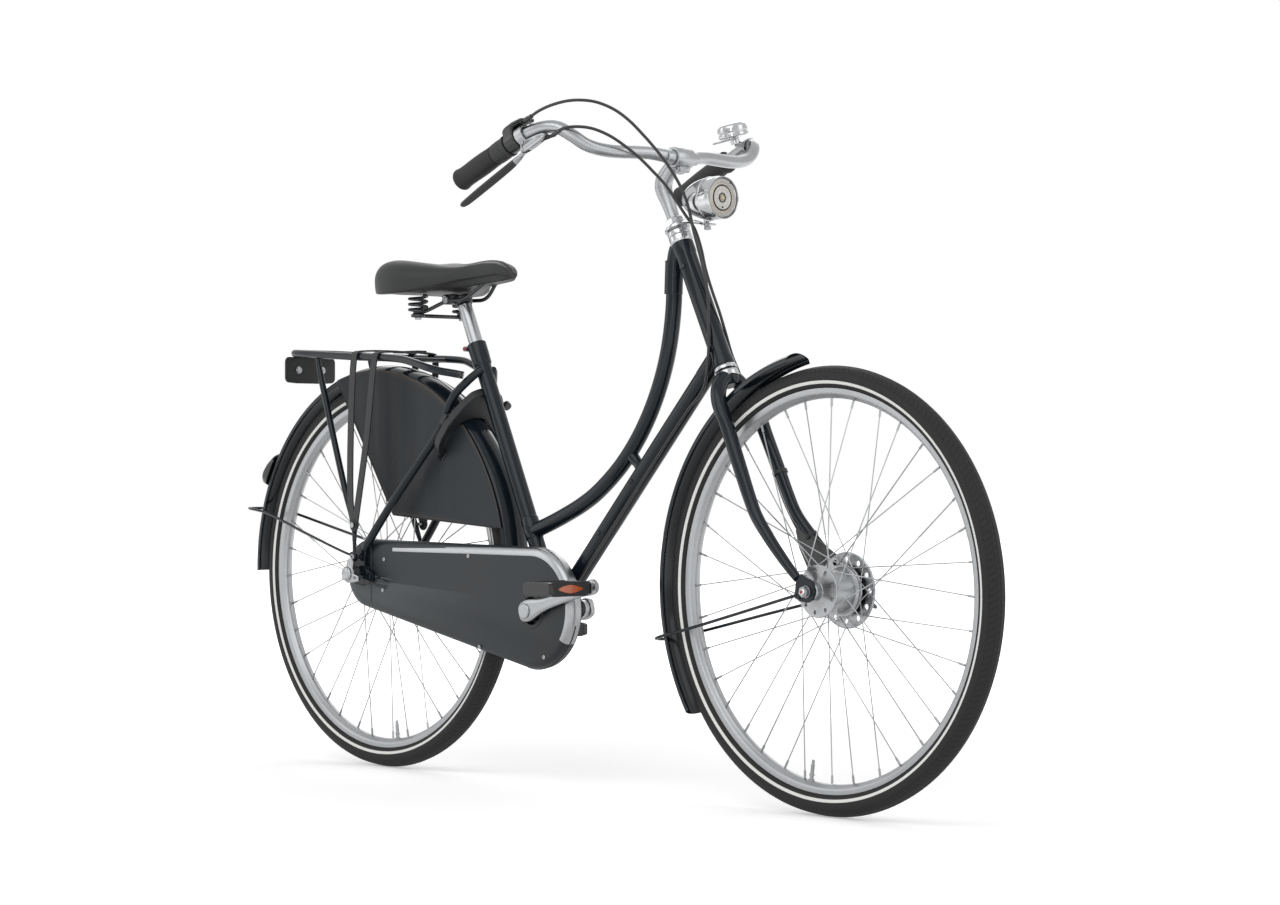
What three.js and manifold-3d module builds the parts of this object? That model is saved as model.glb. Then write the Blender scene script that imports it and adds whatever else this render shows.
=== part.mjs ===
// A city bicycle with a curved step-through frame, full mudguards, coat guards, a closed
// chain case, a luggage rack, a ring lock and a sprung saddle.
// Millimetres, +X forward, +Y to the rider's left, +Z up. The shape is drawn from the rear
// axle and the ground, then the whole bicycle is moved so that its middle is the origin.

import * as THREE from 'three';
import { mergeVertices } from 'three/addons/utils/BufferGeometryUtils.js';
import Module from 'manifold-3d';

const wasm = await Module();
wasm.setup();

// Driving sizes
const GAP = 0.35; // running and seating clearance between separate pieces
const SKIN = 1.4; // sheet thickness of guards and covers

const TYRE_RADIUS = 350;
const WHEELBASE = 1113.9;
const TYRE_SECTION = [[0, 350], [12.5, 345.5], [18.3, 333], [16.5, 322], [10.5, 313.5]];
const RIM_SECTION = [[12.6, 315.2], [12.6, 305.5], [5, 299.5]];
const RIM_BED = [11.2, 313.2];
const WHEEL_STEPS = 32;
const SPOKE_RADIUS = 1.05;
const SPOKE_SEAT = 37.5;
const SPOKE_REACH = 297.9;
const SPOKE_STAGGER = 0.9;
const SPOKE_END_Y = 3.2;
const SPOKE_END_STAGGER = 2.4;
const SPOKES_PER_SIDE = 18;
const SPOKE_TURN_ANGLE = 60;
const SPOKE_PHASE_REAR_ANGLE = 2.5;
const AXLE_RADIUS = 5;

const STEER_FOOT = [881, 0, 696.4];
const STEER_LEAN_ANGLE = 25.95;
const HEAD_LENGTH = 246;
const HEAD_RADIUS = 17;
const HEAD_CUP_RADIUS = 19.6;
const HEAD_CUP_LOW = 7;
const HEAD_CUP_HIGH = 12;
const STEERER_RADIUS = 12.7;
const STEERER_TOP = 264;
const STEERER_WALL = 1.5;

const CRANK_AXIS = [467.5, 0, 298.9];
const SHELL_RADIUS = 20;
const SHELL_HALF = 34;
const SPINDLE_RADIUS = 8.5;
const SEAT_TUBE_TOP = [253, 0, 757];
const SEAT_TUBE_RADIUS = 14.3;
const SEAT_TUBE_BORE_DEPTH = 190;
const SEAT_COLLAR_RADIUS = 17;
const SEAT_COLLAR_LENGTH = 22;
const DOWN_TUBE_HEAD = [862, 0, 719.8];
const DOWN_TUBE_RADIUS = 16;
const TOP_TUBE_RADIUS = 13.4;
const TOP_TUBE_ROUTE = [
  [769, 0, 902], [764.5, 0, 893], [760.5, 0, 876], [759.3, 0, 854.5], [758.7, 0, 815.2],
  [754.4, 0, 776.1], [746.6, 0, 737.1], [734.3, 0, 698], [717.1, 0, 658.9],
  [694.6, 0, 619.7], [665.2, 0, 580.2], [626.5, 0, 540.4], [572.9, 0, 500.1],
  [535.7, 0, 479.7], [486.2, 0, 458.8], [440, 0, 442], [402, 0, 429.5],
];
const TOP_TUBE_SLEEVE = [[757.6, 0, 826], [759.6, 0, 878]];
const TOP_TUBE_SLEEVE_RADIUS = 15.2;
const BRIDGE_TOP = [652, 0, 566];
const BRIDGE_LOW = [690, 0, 532];
const BRIDGE_RADIUS = 9;

const DROPOUT_Y = [61, 66];
const DROPOUT_OUTLINE = [
  [-20, 336], [-8, 330], [16, 331], [42, 337], [42, 349], [20, 362], [18, 378], [25, 398],
  [15, 404], [4, 396], [-6, 390], [-12, 382], [-16, 366],
];
const CHAIN_STAY_ROUTE = [[452, 24.5, 300.5], [440, 25, 302], [250, 42.8, 321.9], [60, 60.6, 341.8], [30, 63.3, 345]];
const CHAIN_STAY_RADII = [9, 9, 8.6, 6.6, 6];
const STAY_BRIDGE_X = 404;
const STAY_BRIDGE_Z = 305.8;
const STAY_BRIDGE_HALF = 27;
const STAY_BRIDGE_RADIUS = 6;
const SEAT_STAY_ROUTE = [
  [284, 12, 713], [279, 17, 708], [262, 30, 690], [240, 42, 664], [209.5, 48, 607],
  [159, 53, 551], [109, 58, 498], [58, 63.6, 440], [24, 65, 402], [17, 65, 394],
];
const SEAT_STAY_RADIUS = 7.4;
const EYELET = [1, 380];

const FORK_ROUTE = [
  [887.5, 5, 688], [889.5, 19, 679], [896, 31.5, 662], [905.5, 38.5, 643], [918.2, 40.2, 620],
  [930.4, 40.6, 595], [960.6, 43, 533], [977, 44, 499], [995, 45.4, 467], [1026, 48.6, 433],
  [1056, 51.2, 404], [1083, 52, 379], [1093, 52, 370],
];
const FORK_RADII = [13, 13, 12.8, 12.4, 12, 12, 11.6, 11.2, 10.6, 9.6, 8.6, 7.4, 6.8];
const FORK_TIP_Y = [49.5, 54.5];
const FORK_TIP_OUTLINE = [
  [-22, 372], [-12, 378], [14, 366], [17, 352], [14, 338], [2, 333], [-14, 335], [-26, 342],
  [-24, 354],
];
const CROWN_RACE_RADIUS = 19;
const CROWN_RACE_FOOT = -13;
const FORK_SHOULDER_RADIUS = 15.5;

const GUARD_SECTION = [[26.8, 0], [25, 7], [14, 13.4], [0, 16]];
const FRONT_GUARD_CENTRE = [1120.9, 351];
const FRONT_GUARD_RADIUS = 379;
const FRONT_GUARD_ANGLES = [102.4, 213.6];
const FRONT_GUARD_STEPS = 13;
const REAR_GUARD_CENTRE = [0, 350];
const REAR_GUARD_RADIUS = 375.5;
const REAR_GUARD_ANGLES = [-3.6, 180.6];
const REAR_GUARD_STEPS = 20;
const REAR_GUARD_TAB = [[369, 326], [372, 342], [398, 317], [397.6, 301.5], [390, 305]];
const REAR_GUARD_TAB_HALF = 8;
const FRONT_STAY_ROUTE = [
  [1099, 58, 345], [1084, 57.8, 341.4], [940, 41, 308], [805, 30.6, 276.5], [765, 29.8, 268],
  [744, 26, 262.5], [736, 13, 260.5], [734.5, 0, 260],
];
const REAR_STAY_ROUTE = [
  [-21, 64, 383], [-36, 63.4, 385.5], [-180, 48, 419], [-330, 30.2, 455.5], [-360, 29.5, 460],
  [-390, 25, 462.5], [-408, 12, 463], [-411.5, 0, 463],
];
const STAY_WIRE_RADIUS = 2.6;

const COAT_GUARD_Y = 29.4;
const COAT_GUARD_FOLD = 2.6;
const COAT_GUARD_THICK = 2;
const COAT_GUARD_RADIUS = 366.5;
const COAT_GUARD_ANGLES = [13.6, 107.4];
const COAT_GUARD_FOOT = [57, 456.4];
const COAT_GUARD_FRONT = [354, 436.6];

const CASE_Y = [-57, -32.2];
const CASE_FRONT = [466, 303, 103];
const CASE_REAR = [12, 351, 61];
const CASE_BACK_RIM = 13;
const CASE_CRANK_HOLE = 28;
const CASE_AXLE_HOLE = 19;
const CASE_ARC_STEPS = 14;
const CHAIN_Y = -43;
const CHAIN_WIDTH = 8;
const CHAIN_DEPTH = 5;
const CHAIN_STEPS = 12;
const RING_RADIUS = 76.8;
const SPROCKET_RADIUS = 38.4;
const RING_THICK = 2.6;
const DRIVER_RADIUS = 17;

const CRANK_LENGTH = 170.5;
const CRANK_ANGLE = 15.2;
const CRANK_ARM_Y = [61, 73];
const CRANK_CAP_Y = 76.5;
const CRANK_BOSS_RADIUS = 19;
const CRANK_EYE_RADIUS = 13;
const CRANK_WAIST = [60, 9.5];
const PEDAL_Y = [95, 188];
const PEDAL_LENGTH = 65;
const PEDAL_HEIGHT = 24.5;
const PEDAL_BAR = 13;
const PEDAL_BARREL_RADIUS = 10.5;
const PEDAL_END = 9;
const PEDAL_SPINDLE_RADIUS = 4.5;
const PEDAL_SPINDLE_END = 168;

const REAR_HUB = { low: -38, high: 44, flange: 41.5, flangeY: 28, barrel: 31, neck: 15 };
const FRONT_HUB = { low: -44, high: 31, flange: 41.5, flangeY: 27, barrel: 34, neck: 13 };
const FLANGE_THICK = 4;
const BRAKE_DISC_Y = [34, 38.6];
const BRAKE_DISC_RADIUS = 60;
const BRAKE_PLATE_Y = [40.4, 42.2];
const BRAKE_PLATE_CIRCLES = [[1006, 441, 8], [1012, 418, 8], [1075, 385, 24], [1113.9, 350, 30], [1046, 358, 7]];
const BRAKE_BODY_Y = 44.2;
const BRAKE_BODY_RADIUS = 26;
const BRAKE_CORE_Y = 48.6;
const BRAKE_CORE_RADIUS = 12.6;
const BRAKE_ARM_Y = [44.7, 48.3];
const BRAKE_TAIL_Y = [46.4, 48.3];
const BRAKE_RING_RADIUS = 19;
const BRAKE_TAIL_REAR = [1076, 324, 5];
const BRAKE_TAIL_FRONT = [1166, 325, 3.6];
const AXLE_NUT_RADIUS = 9;
const FRONT_AXLE_END = 66;
const REAR_AXLE_END = 80;
const SHIFT_BOX_Y = [-97, -72.5];
const SHIFT_BOX_RADIUS = 12.5;
const SHIFT_ARM = [[-17, -11], [15, -14.5], [33, -12], [33, -3], [15, 2], [-8, 12]];
const SHIFT_ARM_Y = [-92, -79];

const RACK_ROUTE = [
  [256, -32, 702], [241.8, -44, 705.6], [215, -55, 710.5], [188.7, -60, 716.9], [150, -60, 726.4],
  [112.9, -60, 733.4], [-35.6, -60, 741.6], [-185, -60, 750.6], [-206, -55, 751.8],
  [-219, -43, 752.5], [-225, -24, 752.8], [-225, 24, 752.8], [-219, 43, 752.5],
  [-206, 55, 751.8], [-185, 60, 750.6], [-35.6, 60, 741.6], [125, 60, 734.2], [152, 58, 731],
  [178, 53, 724], [215, 45, 711.5], [241.8, 38, 704.5], [256, 32, 701],
];
const RACK_RADIUS = 6.8;
const RACK_LEG_ROUTE = [
  [-131, 60, 746], [-120, 61.5, 713.6], [-38.2, 68, 505], [-7, 70.4, 435], [1, 75.6, 403], [0.5, 76, 378],
];
const RACK_LEG_RADII = [4, 5.8, 5.8, 5.2, 3.8, 3.6];
const RACK_BARS = [[-150, 748], [-60, 743], [100, 734]];
const RACK_BAR_RADIUS = 3.6;
const RACK_BOLT_RADIUS = 3.4;
const RACK_BOLT_END = 81;
const STRAP_HOOK = [5, 437.5];
const STRAP_HOOK_RADIUS = 3;
const STRAP_HOOK_END = 85;

const STRAP_WIDTH = 13;
const STRAP_THICK = 3.2;
const STRAP_TOPS = [[-8, 740.2], [52, 736.9]];
const STRAP_EYE = [5, 437.5];
const STRAP_EYE_Y = 79;
const STRAP_EYE_RADIUS = 11.5;
const STRAP_RAIL_Y = 60;
const STRAP_BENDS = [[483, -8], [590, 34.2]];
const STRAP_EYE_SPREAD = 3.5;
const STRAP_PAD = [[-14.5, 22, -1.2], [58.5, 46, 2.4]];

const PLATE_X = [-236.8, -231.4];
const PLATE_OUTLINE = [
  [-57, 704], [-52, 698.5], [-30, 697], [30, 697], [52, 698.5], [57, 704], [57, 740], [52, 746],
  [36, 746], [36, 757], [18, 757], [18, 746], [-18, 746], [-18, 757], [-36, 757], [-36, 746],
  [-52, 746], [-57, 740],
];

const LIGHT_REACH = [372, 382, 392, 397, 398.6, 396, 388, 380, 372];
const LIGHT_ANGLES = [144.6, 145.1, 148.5, 151.5, 153.2, 154.9, 156, 155.8, 155.6];
const LIGHT_CORE_REACH = 372;
const LIGHT_CORE_ANGLE = 151;
const LIGHT_DEPTHS = [0, 16, 25, 29];
const LIGHT_DEPTH_SHARES = [1, 0.93, 0.76, 0.52];
const LIGHT_LENS_X = -351;

const LOCK_ANGLE = 51;
const LOCK_REACH = 330;
const LOCK_INNER = 46;
const LOCK_OUTER = 58;
const LOCK_SIDES = [9.4, 25];
const LOCK_BODY = [
  [-57.4, 12], [-57, 28], [-51, 50], [-42, 74], [-30, 94], [-14, 102], [14, 103], [30, 97], [40, 84],
  [46, 70], [51, 59], [57, 34], [57.4, 12],
];
const LOCK_ARM_ANGLE = 130;
const LOCK_GROOVE = { low: 48.6, high: 55.4, near: 14, far: 21 };
const LOCK_GROOVE_ANGLE = 24;
const LOCK_RECEIVER_ANGLE = 118;
const LOCK_SLOT = { low: 54, high: 92, near: 15.8, far: 19.2 };
const LOCK_SLOT_ANGLE = 35;
const LOCK_PADS = [[42, 18, 1], [57, 40, 10]];
const LOCK_HOLES = [{ reach: 289, offset: 17.5, radius: 11.6 }, { reach: 372, offset: 17.5, radius: 12.5 }];
const SHACKLE_BAND = { low: 49.2, high: 54.8, near: 14.8, far: 20.2 };
const SHACKLE_ANGLES = [28, 140];
const SHACKLE_LEVER_ANGLE = 40;
const SHACKLE_STEM = [[52, -1.5], [87, -1.5], [87, 1.5], [52, 1.5]];
const SHACKLE_STEM_DEPTH = [16.4, 18.6];
const SHACKLE_PAD = [[84.5, -5], [88, -8], [95, -8], [99, -4], [99, 4], [95, 8], [88, 8], [84.5, 5]];
const SHACKLE_PAD_DEPTH = [12.5, 22.5];

const POST_RADIUS = 12.5;
const POST_FOOT = -150;
const POST_NECK = 77.9;
const POST_TOP = 91;
const POST_PIN_RADIUS = 10.8;
const CLAMP_SPAN = [78.4, 92.6];
const CLAMP_RADIUS = 16;
const CLAMP_BLOCK = [[186, -24, 828], [214, 24, 846]];
const RAIL_ROUTE = [
  [322, 9, 868], [300, 10, 866.5], [284, 15, 858], [262, 21, 843], [244, 23, 836], [200, 23, 834],
  [160, 40, 817], [150, 50, 813.5],
];
const RAIL_RADIUS = 3.4;
const SPRING_SEAT = [152, 50, 806];
const SPRING_SEAT_RADIUS = 11;
const SPRING_SEAT_TOP = 813;
const SPRING_BAR_Z = 809;
const SPRING_RADIUS = 15.6;
const SPRING_WIRE = 2.6;
const SPRING_LOW = 816;
const SPRING_HIGH = 844.8;
const SPRING_TURNS = 3;
const SADDLE_STATIONS = [
  [57, 34, 862, 876, 893, 890], [64, 66, 852, 878, 902, 893], [84, 94, 848, 878, 906, 897],
  [112, 106, 847.5, 877, 908, 900], [146, 104, 848, 876, 905, 901], [182, 88, 849, 874, 899, 899],
  [214, 66, 851, 872, 894, 898], [244, 46, 854, 872, 893, 899], [272, 34, 857, 876, 896, 901.5],
  [300, 27.5, 860, 879, 897.5, 902], [325, 23, 862, 880, 895, 898], [343, 17, 864, 878, 887, 889],
  [352.5, 9, 867, 874, 878, 879],
];

const STEM_ROUTE = [
  [790, 0, 883.2], [755, 0, 955], [744, 0, 977.7], [734, 0, 998.4], [735.5, 0, 1012], [748, 0, 1027],
  [764, 0, 1040],
];
const STEM_RADII = [10.3, 10.7, 12.4, 14.4, 14.6, 13.6, 12.6];
const STEM_EYE = [774, 0, 1046.5];
const STEM_EYE_RADIUS = 17.5;
const STEM_EYE_HALF = 19;
const STEM_LUG = [780, 0, 1023];
const STEM_LUG_RADIUS = 9;
const LOCKNUT = { low: 246.4, cone: 19.4, coneTop: 258, waist: 17, waistTop: 266, hex: 18.6, top: 278 };
const BAR_RADIUS = 11;
const BAR_CENTRE_RADIUS = 12.6;
const BAR_CENTRE_HALF = 34;
const BAR_END = [515, 248, 1013];
const BAR_LEG = [0.9155, -0.062, 0.3975];
const BAR_LEG_MARKS = [150, 100, 50, 0];
const BAR_ROUTE = [
  [774, 0, 1046.5], [771, 30, 1048.6], [765.6, 61, 1051.3], [761.5, 92.5, 1050.9],
  [757.3, 124, 1050.1], [752.1, 153, 1051.8], [745.3, 180, 1058.4], [736, 202, 1072.6],
  [720.5, 218.4, 1084.6], [696.5, 230, 1085.8],
];

const GRIP_RADII = [[-5, 12], [-5, 15], [0, 18.6], [8, 17.6], [30, 16.4], [62, 17.6], [84, 16.2], [88, 15.4]];
const GRIP_BORE = -1;
const LEFT_GRIP_RADII = [
  [-5, 12], [-5, 15], [0, 18.6], [8, 17.6], [34, 16.4], [80, 17.4], [124, 16], [126, 19.5], [133, 19.5],
];
const SLEEVE_RADII = [[88.5, 15], [92, 17.4], [116, 16.4], [119, 18.8], [124, 18.8]];
const HOUSING_SPAN = [124.6, 148];
const HOUSING_RADIUS = 17.5;
const HOUSING_TOP = [
  [124.6, 0], [124.6, 21], [131, 25.5], [152, 26.5], [172, 23.5], [180, 19], [178, 14.5],
  [168, 14.5], [166.6, 16.8], [148.6, 16.8], [148, 0],
];
const HOUSING_HALF = 14;
const BRACKET_SPAN = [149, 166];
const BRACKET_RADIUS = 16;
const BRACKET_ARM = [
  [150, -10], [168, -12], [190, -16], [205, -20], [207, -27], [192, -29], [170, -30], [155, -29], [148.6, -27.5],
  [148.6, -18.5],
];
const BRACKET_ARM_Y = [-8, 5];
const LEVER_PIVOT = [152, -23];
const LEVER_PIN_RADIUS = 3.2;
const LEVER_EYE_RADIUS = 6.4;
const LEVER_BLADE = [
  [157, -25, -1.5, 3.2], [140, -29.5, -1.8, 3.8], [112, -33.5, -3, 5.6], [78, -38, -7, 5.6],
  [40, -42, -10, 5.6], [8, -45, -12, 5.2], [-6, -44.5, -13, 3.8],
];
const LEVER_DEPTH_SHARE = 0.62;
const LEVER_BOOT = [[192, -24.5], [215.5, -31]];
const LEVER_BOOT_RADIUS = 4.2;

const CABLE_RADIUS = 2.5;
const BRAKE_CABLE_ROUTE = [
  [727, -234.5, 1070.5], [738, -224, 1081], [750, -208, 1084.5], [759, -180, 1083],
  [769, -152, 1073], [776, -125, 1058], [783, -98, 1039], [789, -75, 1019], [796, -53, 997],
  [803, -37, 973], [813, -25, 949], [824, -16, 928], [832, -9, 897], [838, -5, 864], [847, 1, 828],
  [857, 9, 791], [859, 21.5, 756], [861.5, 33, 722], [867, 43.5, 694], [878, 48, 662],
  [891, 46, 636.5], [904.5, 44.8, 613], [917, 44.8, 588], [947, 47, 525.6], [963, 48, 491],
  [982.6, 49, 459], [1014, 46.8, 420], [1030, 45.3, 391.5], [1044, 44.9, 364],
];
const BRAKE_WIRE_ROUTE = [[1043.5, 44.9, 365], [1068, 44.9, 334.5]];
const BRAKE_WIRE_RADIUS = 0.9;
const SHIFT_CABLE_ROUTE = [
  [674.5, -245.5, 1098.5], [706, -245, 1111], [737, -242, 1118.5], [762, -232, 1123],
  [779, -218, 1123.5], [790, -198, 1121], [800, -170, 1111], [806, -143, 1095], [812, -116, 1072],
  [817, -92, 1049], [822, -72, 1026], [828, -54, 998], [831, -42, 974], [832.5, -34, 950],
  [835, -29, 925], [846, -25, 884], [857, -23, 847], [862, -22, 812], [863, -21.8, 773],
  [863, -21.5, 736], [859, -21, 700], [850, -18, 675], [835, -15, 658], [812, -13, 641],
  [785, -12.3, 614.7], [740, -12.3, 567.4], [670, -12.3, 492.7], [600, -12.3, 418],
  [540, -12.5, 354], [514, -14, 322], [496, -17, 290], [478, -20, 272], [455, -22, 269],
  [430, -22.5, 276], [380, -24.5, 290], [300, -27.2, 303], [200, -37, 313], [120, -45.5, 320.5],
  [72, -55, 326], [58, -68, 331], [46, -79, 336.5], [34.5, -85.5, 340.5],
];
const SHIFT_CABLE_SPLIT = 19;

const LAMP_AXIS_Z = 975.5;
const LAMP_PROFILE = [
  [788, 0], [789, 7], [793, 14], [802, 22], [815, 28.5], [832, 33.2], [850, 35.2], [868, 35.5], [872, 34.6],
];
const LAMP_RECESS = [867, 32.6];
const LAMP_LENS = [867.4, 871, 873.5];
const LAMP_FOOT = [838, 0, 925.5];
const LAMP_FOOT_RADIUS = 3;
const LAMP_NUT_TOP = 931.6;
const LAMP_COLLAR_LOW = 938.2;
const LAMP_NUT_RADIUS = 5.6;
const LAMP_RING_SPAN = [259, 262.4];
const LAMP_RING_RADIUS = 21.4;
const LAMP_STRIP = [
  [783.4, 938.9], [785, 942.4], [793, 944.6], [804, 943.8], [816, 940.8], [836, 936.8], [850, 935.6],
  [851, 933.4], [848, 932], [836, 932.6], [815, 935.8], [800, 938.6], [787, 938.6],
];
const LAMP_STRIP_HALF = 8.5;
const BELL_SEAT = [704, 226.6, 1085.7];
const BELL_FOOT = [692, 204.5, 1094];
const BELL_AXIS = [-0.12, -0.2, 0.97];
const BELL_ARM_RADIUS = 5.4;
const BELL_PROFILE = [
  [0, -5], [8.5, -5], [8.5, 2.6], [2.6, 2.6], [2.6, 6.8], [12, 6.8], [24.6, 7.4], [25.9, 9],
  [25.9, 22.5], [24.6, 26.4], [21.5, 29.2], [16, 31], [8, 31.7], [0, 32],
];
const BELL_CLAMP = [[698, 229.2, 1085.9], [710, 223.8, 1085.5]];
const BELL_CLAMP_RADIUS = 14;
const BELL_LEVER_RING = [3, 7.5];
const BELL_LEVER_SPAN = [3.1, 6.3];
const BELL_LEVER_SHAPE = [[5, -4], [26, -6], [36, -8], [43, -4], [43, 4], [36, 8], [26, 6], [5, 4]];
const BELL_LEVER_ANGLE = 195;

const HEAD_CUP_EASE = 2;
const COAT_GUARD_STEPS = 12;
const COAT_GUARD_ROWS = 3;
const COAT_GUARD_FOOT_SHARE = 0.4;
const COAT_GUARD_TIP_SHARE = 0.03;
const COAT_GUARD_PERIOD = 62;
const COAT_GUARD_FADE = 150;
const COAT_GUARD_SPREAD_SHARE = 0.97;
const CHAIN_CLEAR = 0.5;
const CRANK_CAP_RADIUS = 13;
const PEDAL_EDGE_SHARE = 0.7;
const PEDAL_BEVEL = 6;
const DRIVER_NOSE = 7;
const FRONT_HUB_STOP = 44.4;
const BRAKE_TAIL_ROOT = 9;
const TORQUE_ARM_CIRCLES = [[0, 350, 15], [148, 315, 6.5]];
const TORQUE_ARM_Y = [46, 48.6];
const TORQUE_CLIP = [[140, 310], [156, 310], [156, 331], [140, 331]];
const TORQUE_CLIP_Y = 59;
const RACK_HOOK_ROOT = [-7, 71, 436];
const SPRING_GUIDE = 3;
const SPRING_GUIDE_RADIUS = 9;
const SPRING_STEPS = 8;
const LEVER_GAP_SHAPE = [
  [136, -20], [146, -16.5], [160, -16.5], [164, -22], [162, -34], [136, -44],
];
const LEVER_GAP_Y = [-5.4, 2.4];
const LEVER_RAKE_SHARE = 0.2;
const BELL_ARM_DEPTH = 4;
const SMALLEST = 0.12;

// Colours read from the photograph
const LOOKS = {
  paint: ['#252c32', 0.22, 0.1],
  satinPaint: ['#2c3136', 0.5, 0.05],
  vinyl: ['#242a2f', 0.75, 0],
  plastic: ['#2e2f31', 0.55, 0],
  rubber: ['#232425', 0.85, 0],
  seat: ['#38393b', 0.7, 0],
  chrome: ['#d8d9da', 0.12, 1],
  alloy: ['#b9bbbd', 0.35, 1],
  steel: ['#9fa1a3', 0.4, 1],
  redLens: ['#8c1416', 0.2, 0],
  clearLens: ['#cfcac2', 0.2, 0],
  tyre: ['#262626', 0.9, 0],
};

// Shape helpers
const point = (p) => new THREE.Vector3(p[0], p[1], p[2]);
const rad = THREE.MathUtils.degToRad;

/** A manifold solid from any closed three.js geometry, turned so that it faces out. */
function solidOf(geometry) {
  const bare = geometry.clone();
  bare.deleteAttribute('normal');
  bare.deleteAttribute('uv');
  const merged = mergeVertices(bare);
  const corners = merged.index.array;
  const spots = merged.attributes.position;
  const kept = [];
  let volume = 0;
  const a = new THREE.Vector3();
  const b = new THREE.Vector3();
  const c = new THREE.Vector3();
  for (let i = 0; i < corners.length; i += 3) {
    const [p, q, r] = [corners[i], corners[i + 1], corners[i + 2]];
    if (p === q || q === r || r === p) continue;
    kept.push(p, q, r);
    a.fromBufferAttribute(spots, p);
    b.fromBufferAttribute(spots, q);
    c.fromBufferAttribute(spots, r);
    volume += a.dot(b.cross(c));
  }
  if (volume < 0) {
    for (let i = 0; i < kept.length; i += 3) [kept[i], kept[i + 1]] = [kept[i + 1], kept[i]];
  }
  return new wasm.Manifold(new wasm.Mesh({
    numProp: 3,
    vertProperties: Float32Array.from(spots.array),
    triVerts: Uint32Array.from(kept),
  }));
}

/** A three.js geometry from a manifold solid. */
function geometryOf(solid) {
  const [body] = solid.simplify(SMALLEST).decompose().sort((a, b) => b.volume() - a.volume());
  const mesh = body.getMesh();
  const geometry = new THREE.BufferGeometry();
  geometry.setAttribute('position', new THREE.BufferAttribute(Float32Array.from(mesh.vertProperties), 3));
  geometry.setIndex(new THREE.BufferAttribute(Uint32Array.from(mesh.triVerts), 1));
  geometry.computeVertexNormals();
  return geometry;
}

const union = (...solids) => solids.reduce((whole, next) => whole.add(next));
const cut = (solid, ...tools) => tools.reduce((rest, tool) => rest.subtract(tool), solid);
const mirrored = (solid) => solid.mirror([0, 1, 0]);
const bothSides = (solid) => union(solid, mirrored(solid));
const flip = (route) => route.map(([x, y, z]) => [x, -y, z]);

/** Rings of points, joined into one closed skin with a flat lid on each end. */
function loft(rings, looped = false) {
  const count = rings[0].length;
  const spots = rings.flat().flatMap((p) => [p.x, p.y, p.z]);
  const corners = [];
  const last = looped ? rings.length : rings.length - 1;
  for (let i = 0; i < last; i += 1) {
    const low = i * count;
    const high = ((i + 1) % rings.length) * count;
    for (let j = 0; j < count; j += 1) {
      const k = (j + 1) % count;
      corners.push(low + j, low + k, high + k, low + j, high + k, high + j);
    }
  }
  if (!looped) {
    corners.push(...lid(rings[0], 0, true), ...lid(rings[rings.length - 1], (rings.length - 1) * count, false));
  }
  const geometry = new THREE.BufferGeometry();
  geometry.setAttribute('position', new THREE.BufferAttribute(Float32Array.from(spots), 3));
  geometry.setIndex(corners);
  return solidOf(geometry);
}

/** Triangles over one flat ring, wound to close the start or the end of a loft. */
function lid(ring, offset, start) {
  const normal = new THREE.Vector3();
  ring.forEach((p, i) => {
    const q = ring[(i + 1) % ring.length];
    normal.add(new THREE.Vector3().crossVectors(p, q));
  });
  normal.normalize();
  const side = Math.abs(normal.x) > 0.7 ? new THREE.Vector3(0, 1, 0) : new THREE.Vector3(1, 0, 0);
  const across = new THREE.Vector3().crossVectors(normal, side).normalize();
  const along = new THREE.Vector3().crossVectors(across, normal);
  const flat = ring.map((p) => new THREE.Vector2(p.dot(along), p.dot(across)));
  return THREE.ShapeUtils.triangulateShape(flat, []).flatMap(([a, b, c]) => (
    start ? [offset + a, offset + c, offset + b] : [offset + a, offset + b, offset + c]
  ));
}

/** Points on a smooth curve through a route, with so many steps between each two of its points. */
function smooth(route, perSpan) {
  const curve = new THREE.CatmullRomCurve3(route.map(point), false, 'centripetal');
  return curve.getPoints((route.length - 1) * perSpan);
}

/** Frames that travel along a line of points without twisting about it. */
function framesAlong(line) {
  const frames = [];
  let across = null;
  line.forEach((p, i) => {
    const ahead = line[Math.min(i + 1, line.length - 1)];
    const behind = line[Math.max(i - 1, 0)];
    const along = new THREE.Vector3().subVectors(ahead, behind).normalize();
    if (!across) {
      const seed = Math.abs(along.y) < 0.9 ? new THREE.Vector3(0, 1, 0) : new THREE.Vector3(1, 0, 0);
      across = seed;
    }
    across = across.clone().addScaledVector(along, -across.dot(along)).normalize();
    frames.push({ at: p, across, up: new THREE.Vector3().crossVectors(along, across) });
  });
  return frames;
}

/** A round bar along a route; the radius is one number or one for each point of the route. */
function pipe(route, radius, sides, perSpan = 1) {
  const line = perSpan > 1 ? smooth(route, perSpan) : route.map(point);
  const frames = framesAlong(line);
  return loft(frames.map(({ at, across, up }, i) => {
    const spot = i / perSpan;
    const low = Math.floor(spot);
    const size = Array.isArray(radius)
      ? THREE.MathUtils.lerp(radius[low], radius[Math.min(low + 1, radius.length - 1)], spot - low)
      : radius;
    return circle(sides).map(([c, s]) => at.clone().addScaledVector(across, size * c).addScaledVector(up, size * s));
  }));
}

/** Cosines and sines of so many directions, the first half a step round. */
function circle(sides) {
  return Array.from({ length: sides }, (_, i) => {
    const turn = ((i + 0.5) / sides) * 2 * Math.PI;
    return [Math.cos(turn), Math.sin(turn)];
  });
}

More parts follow.
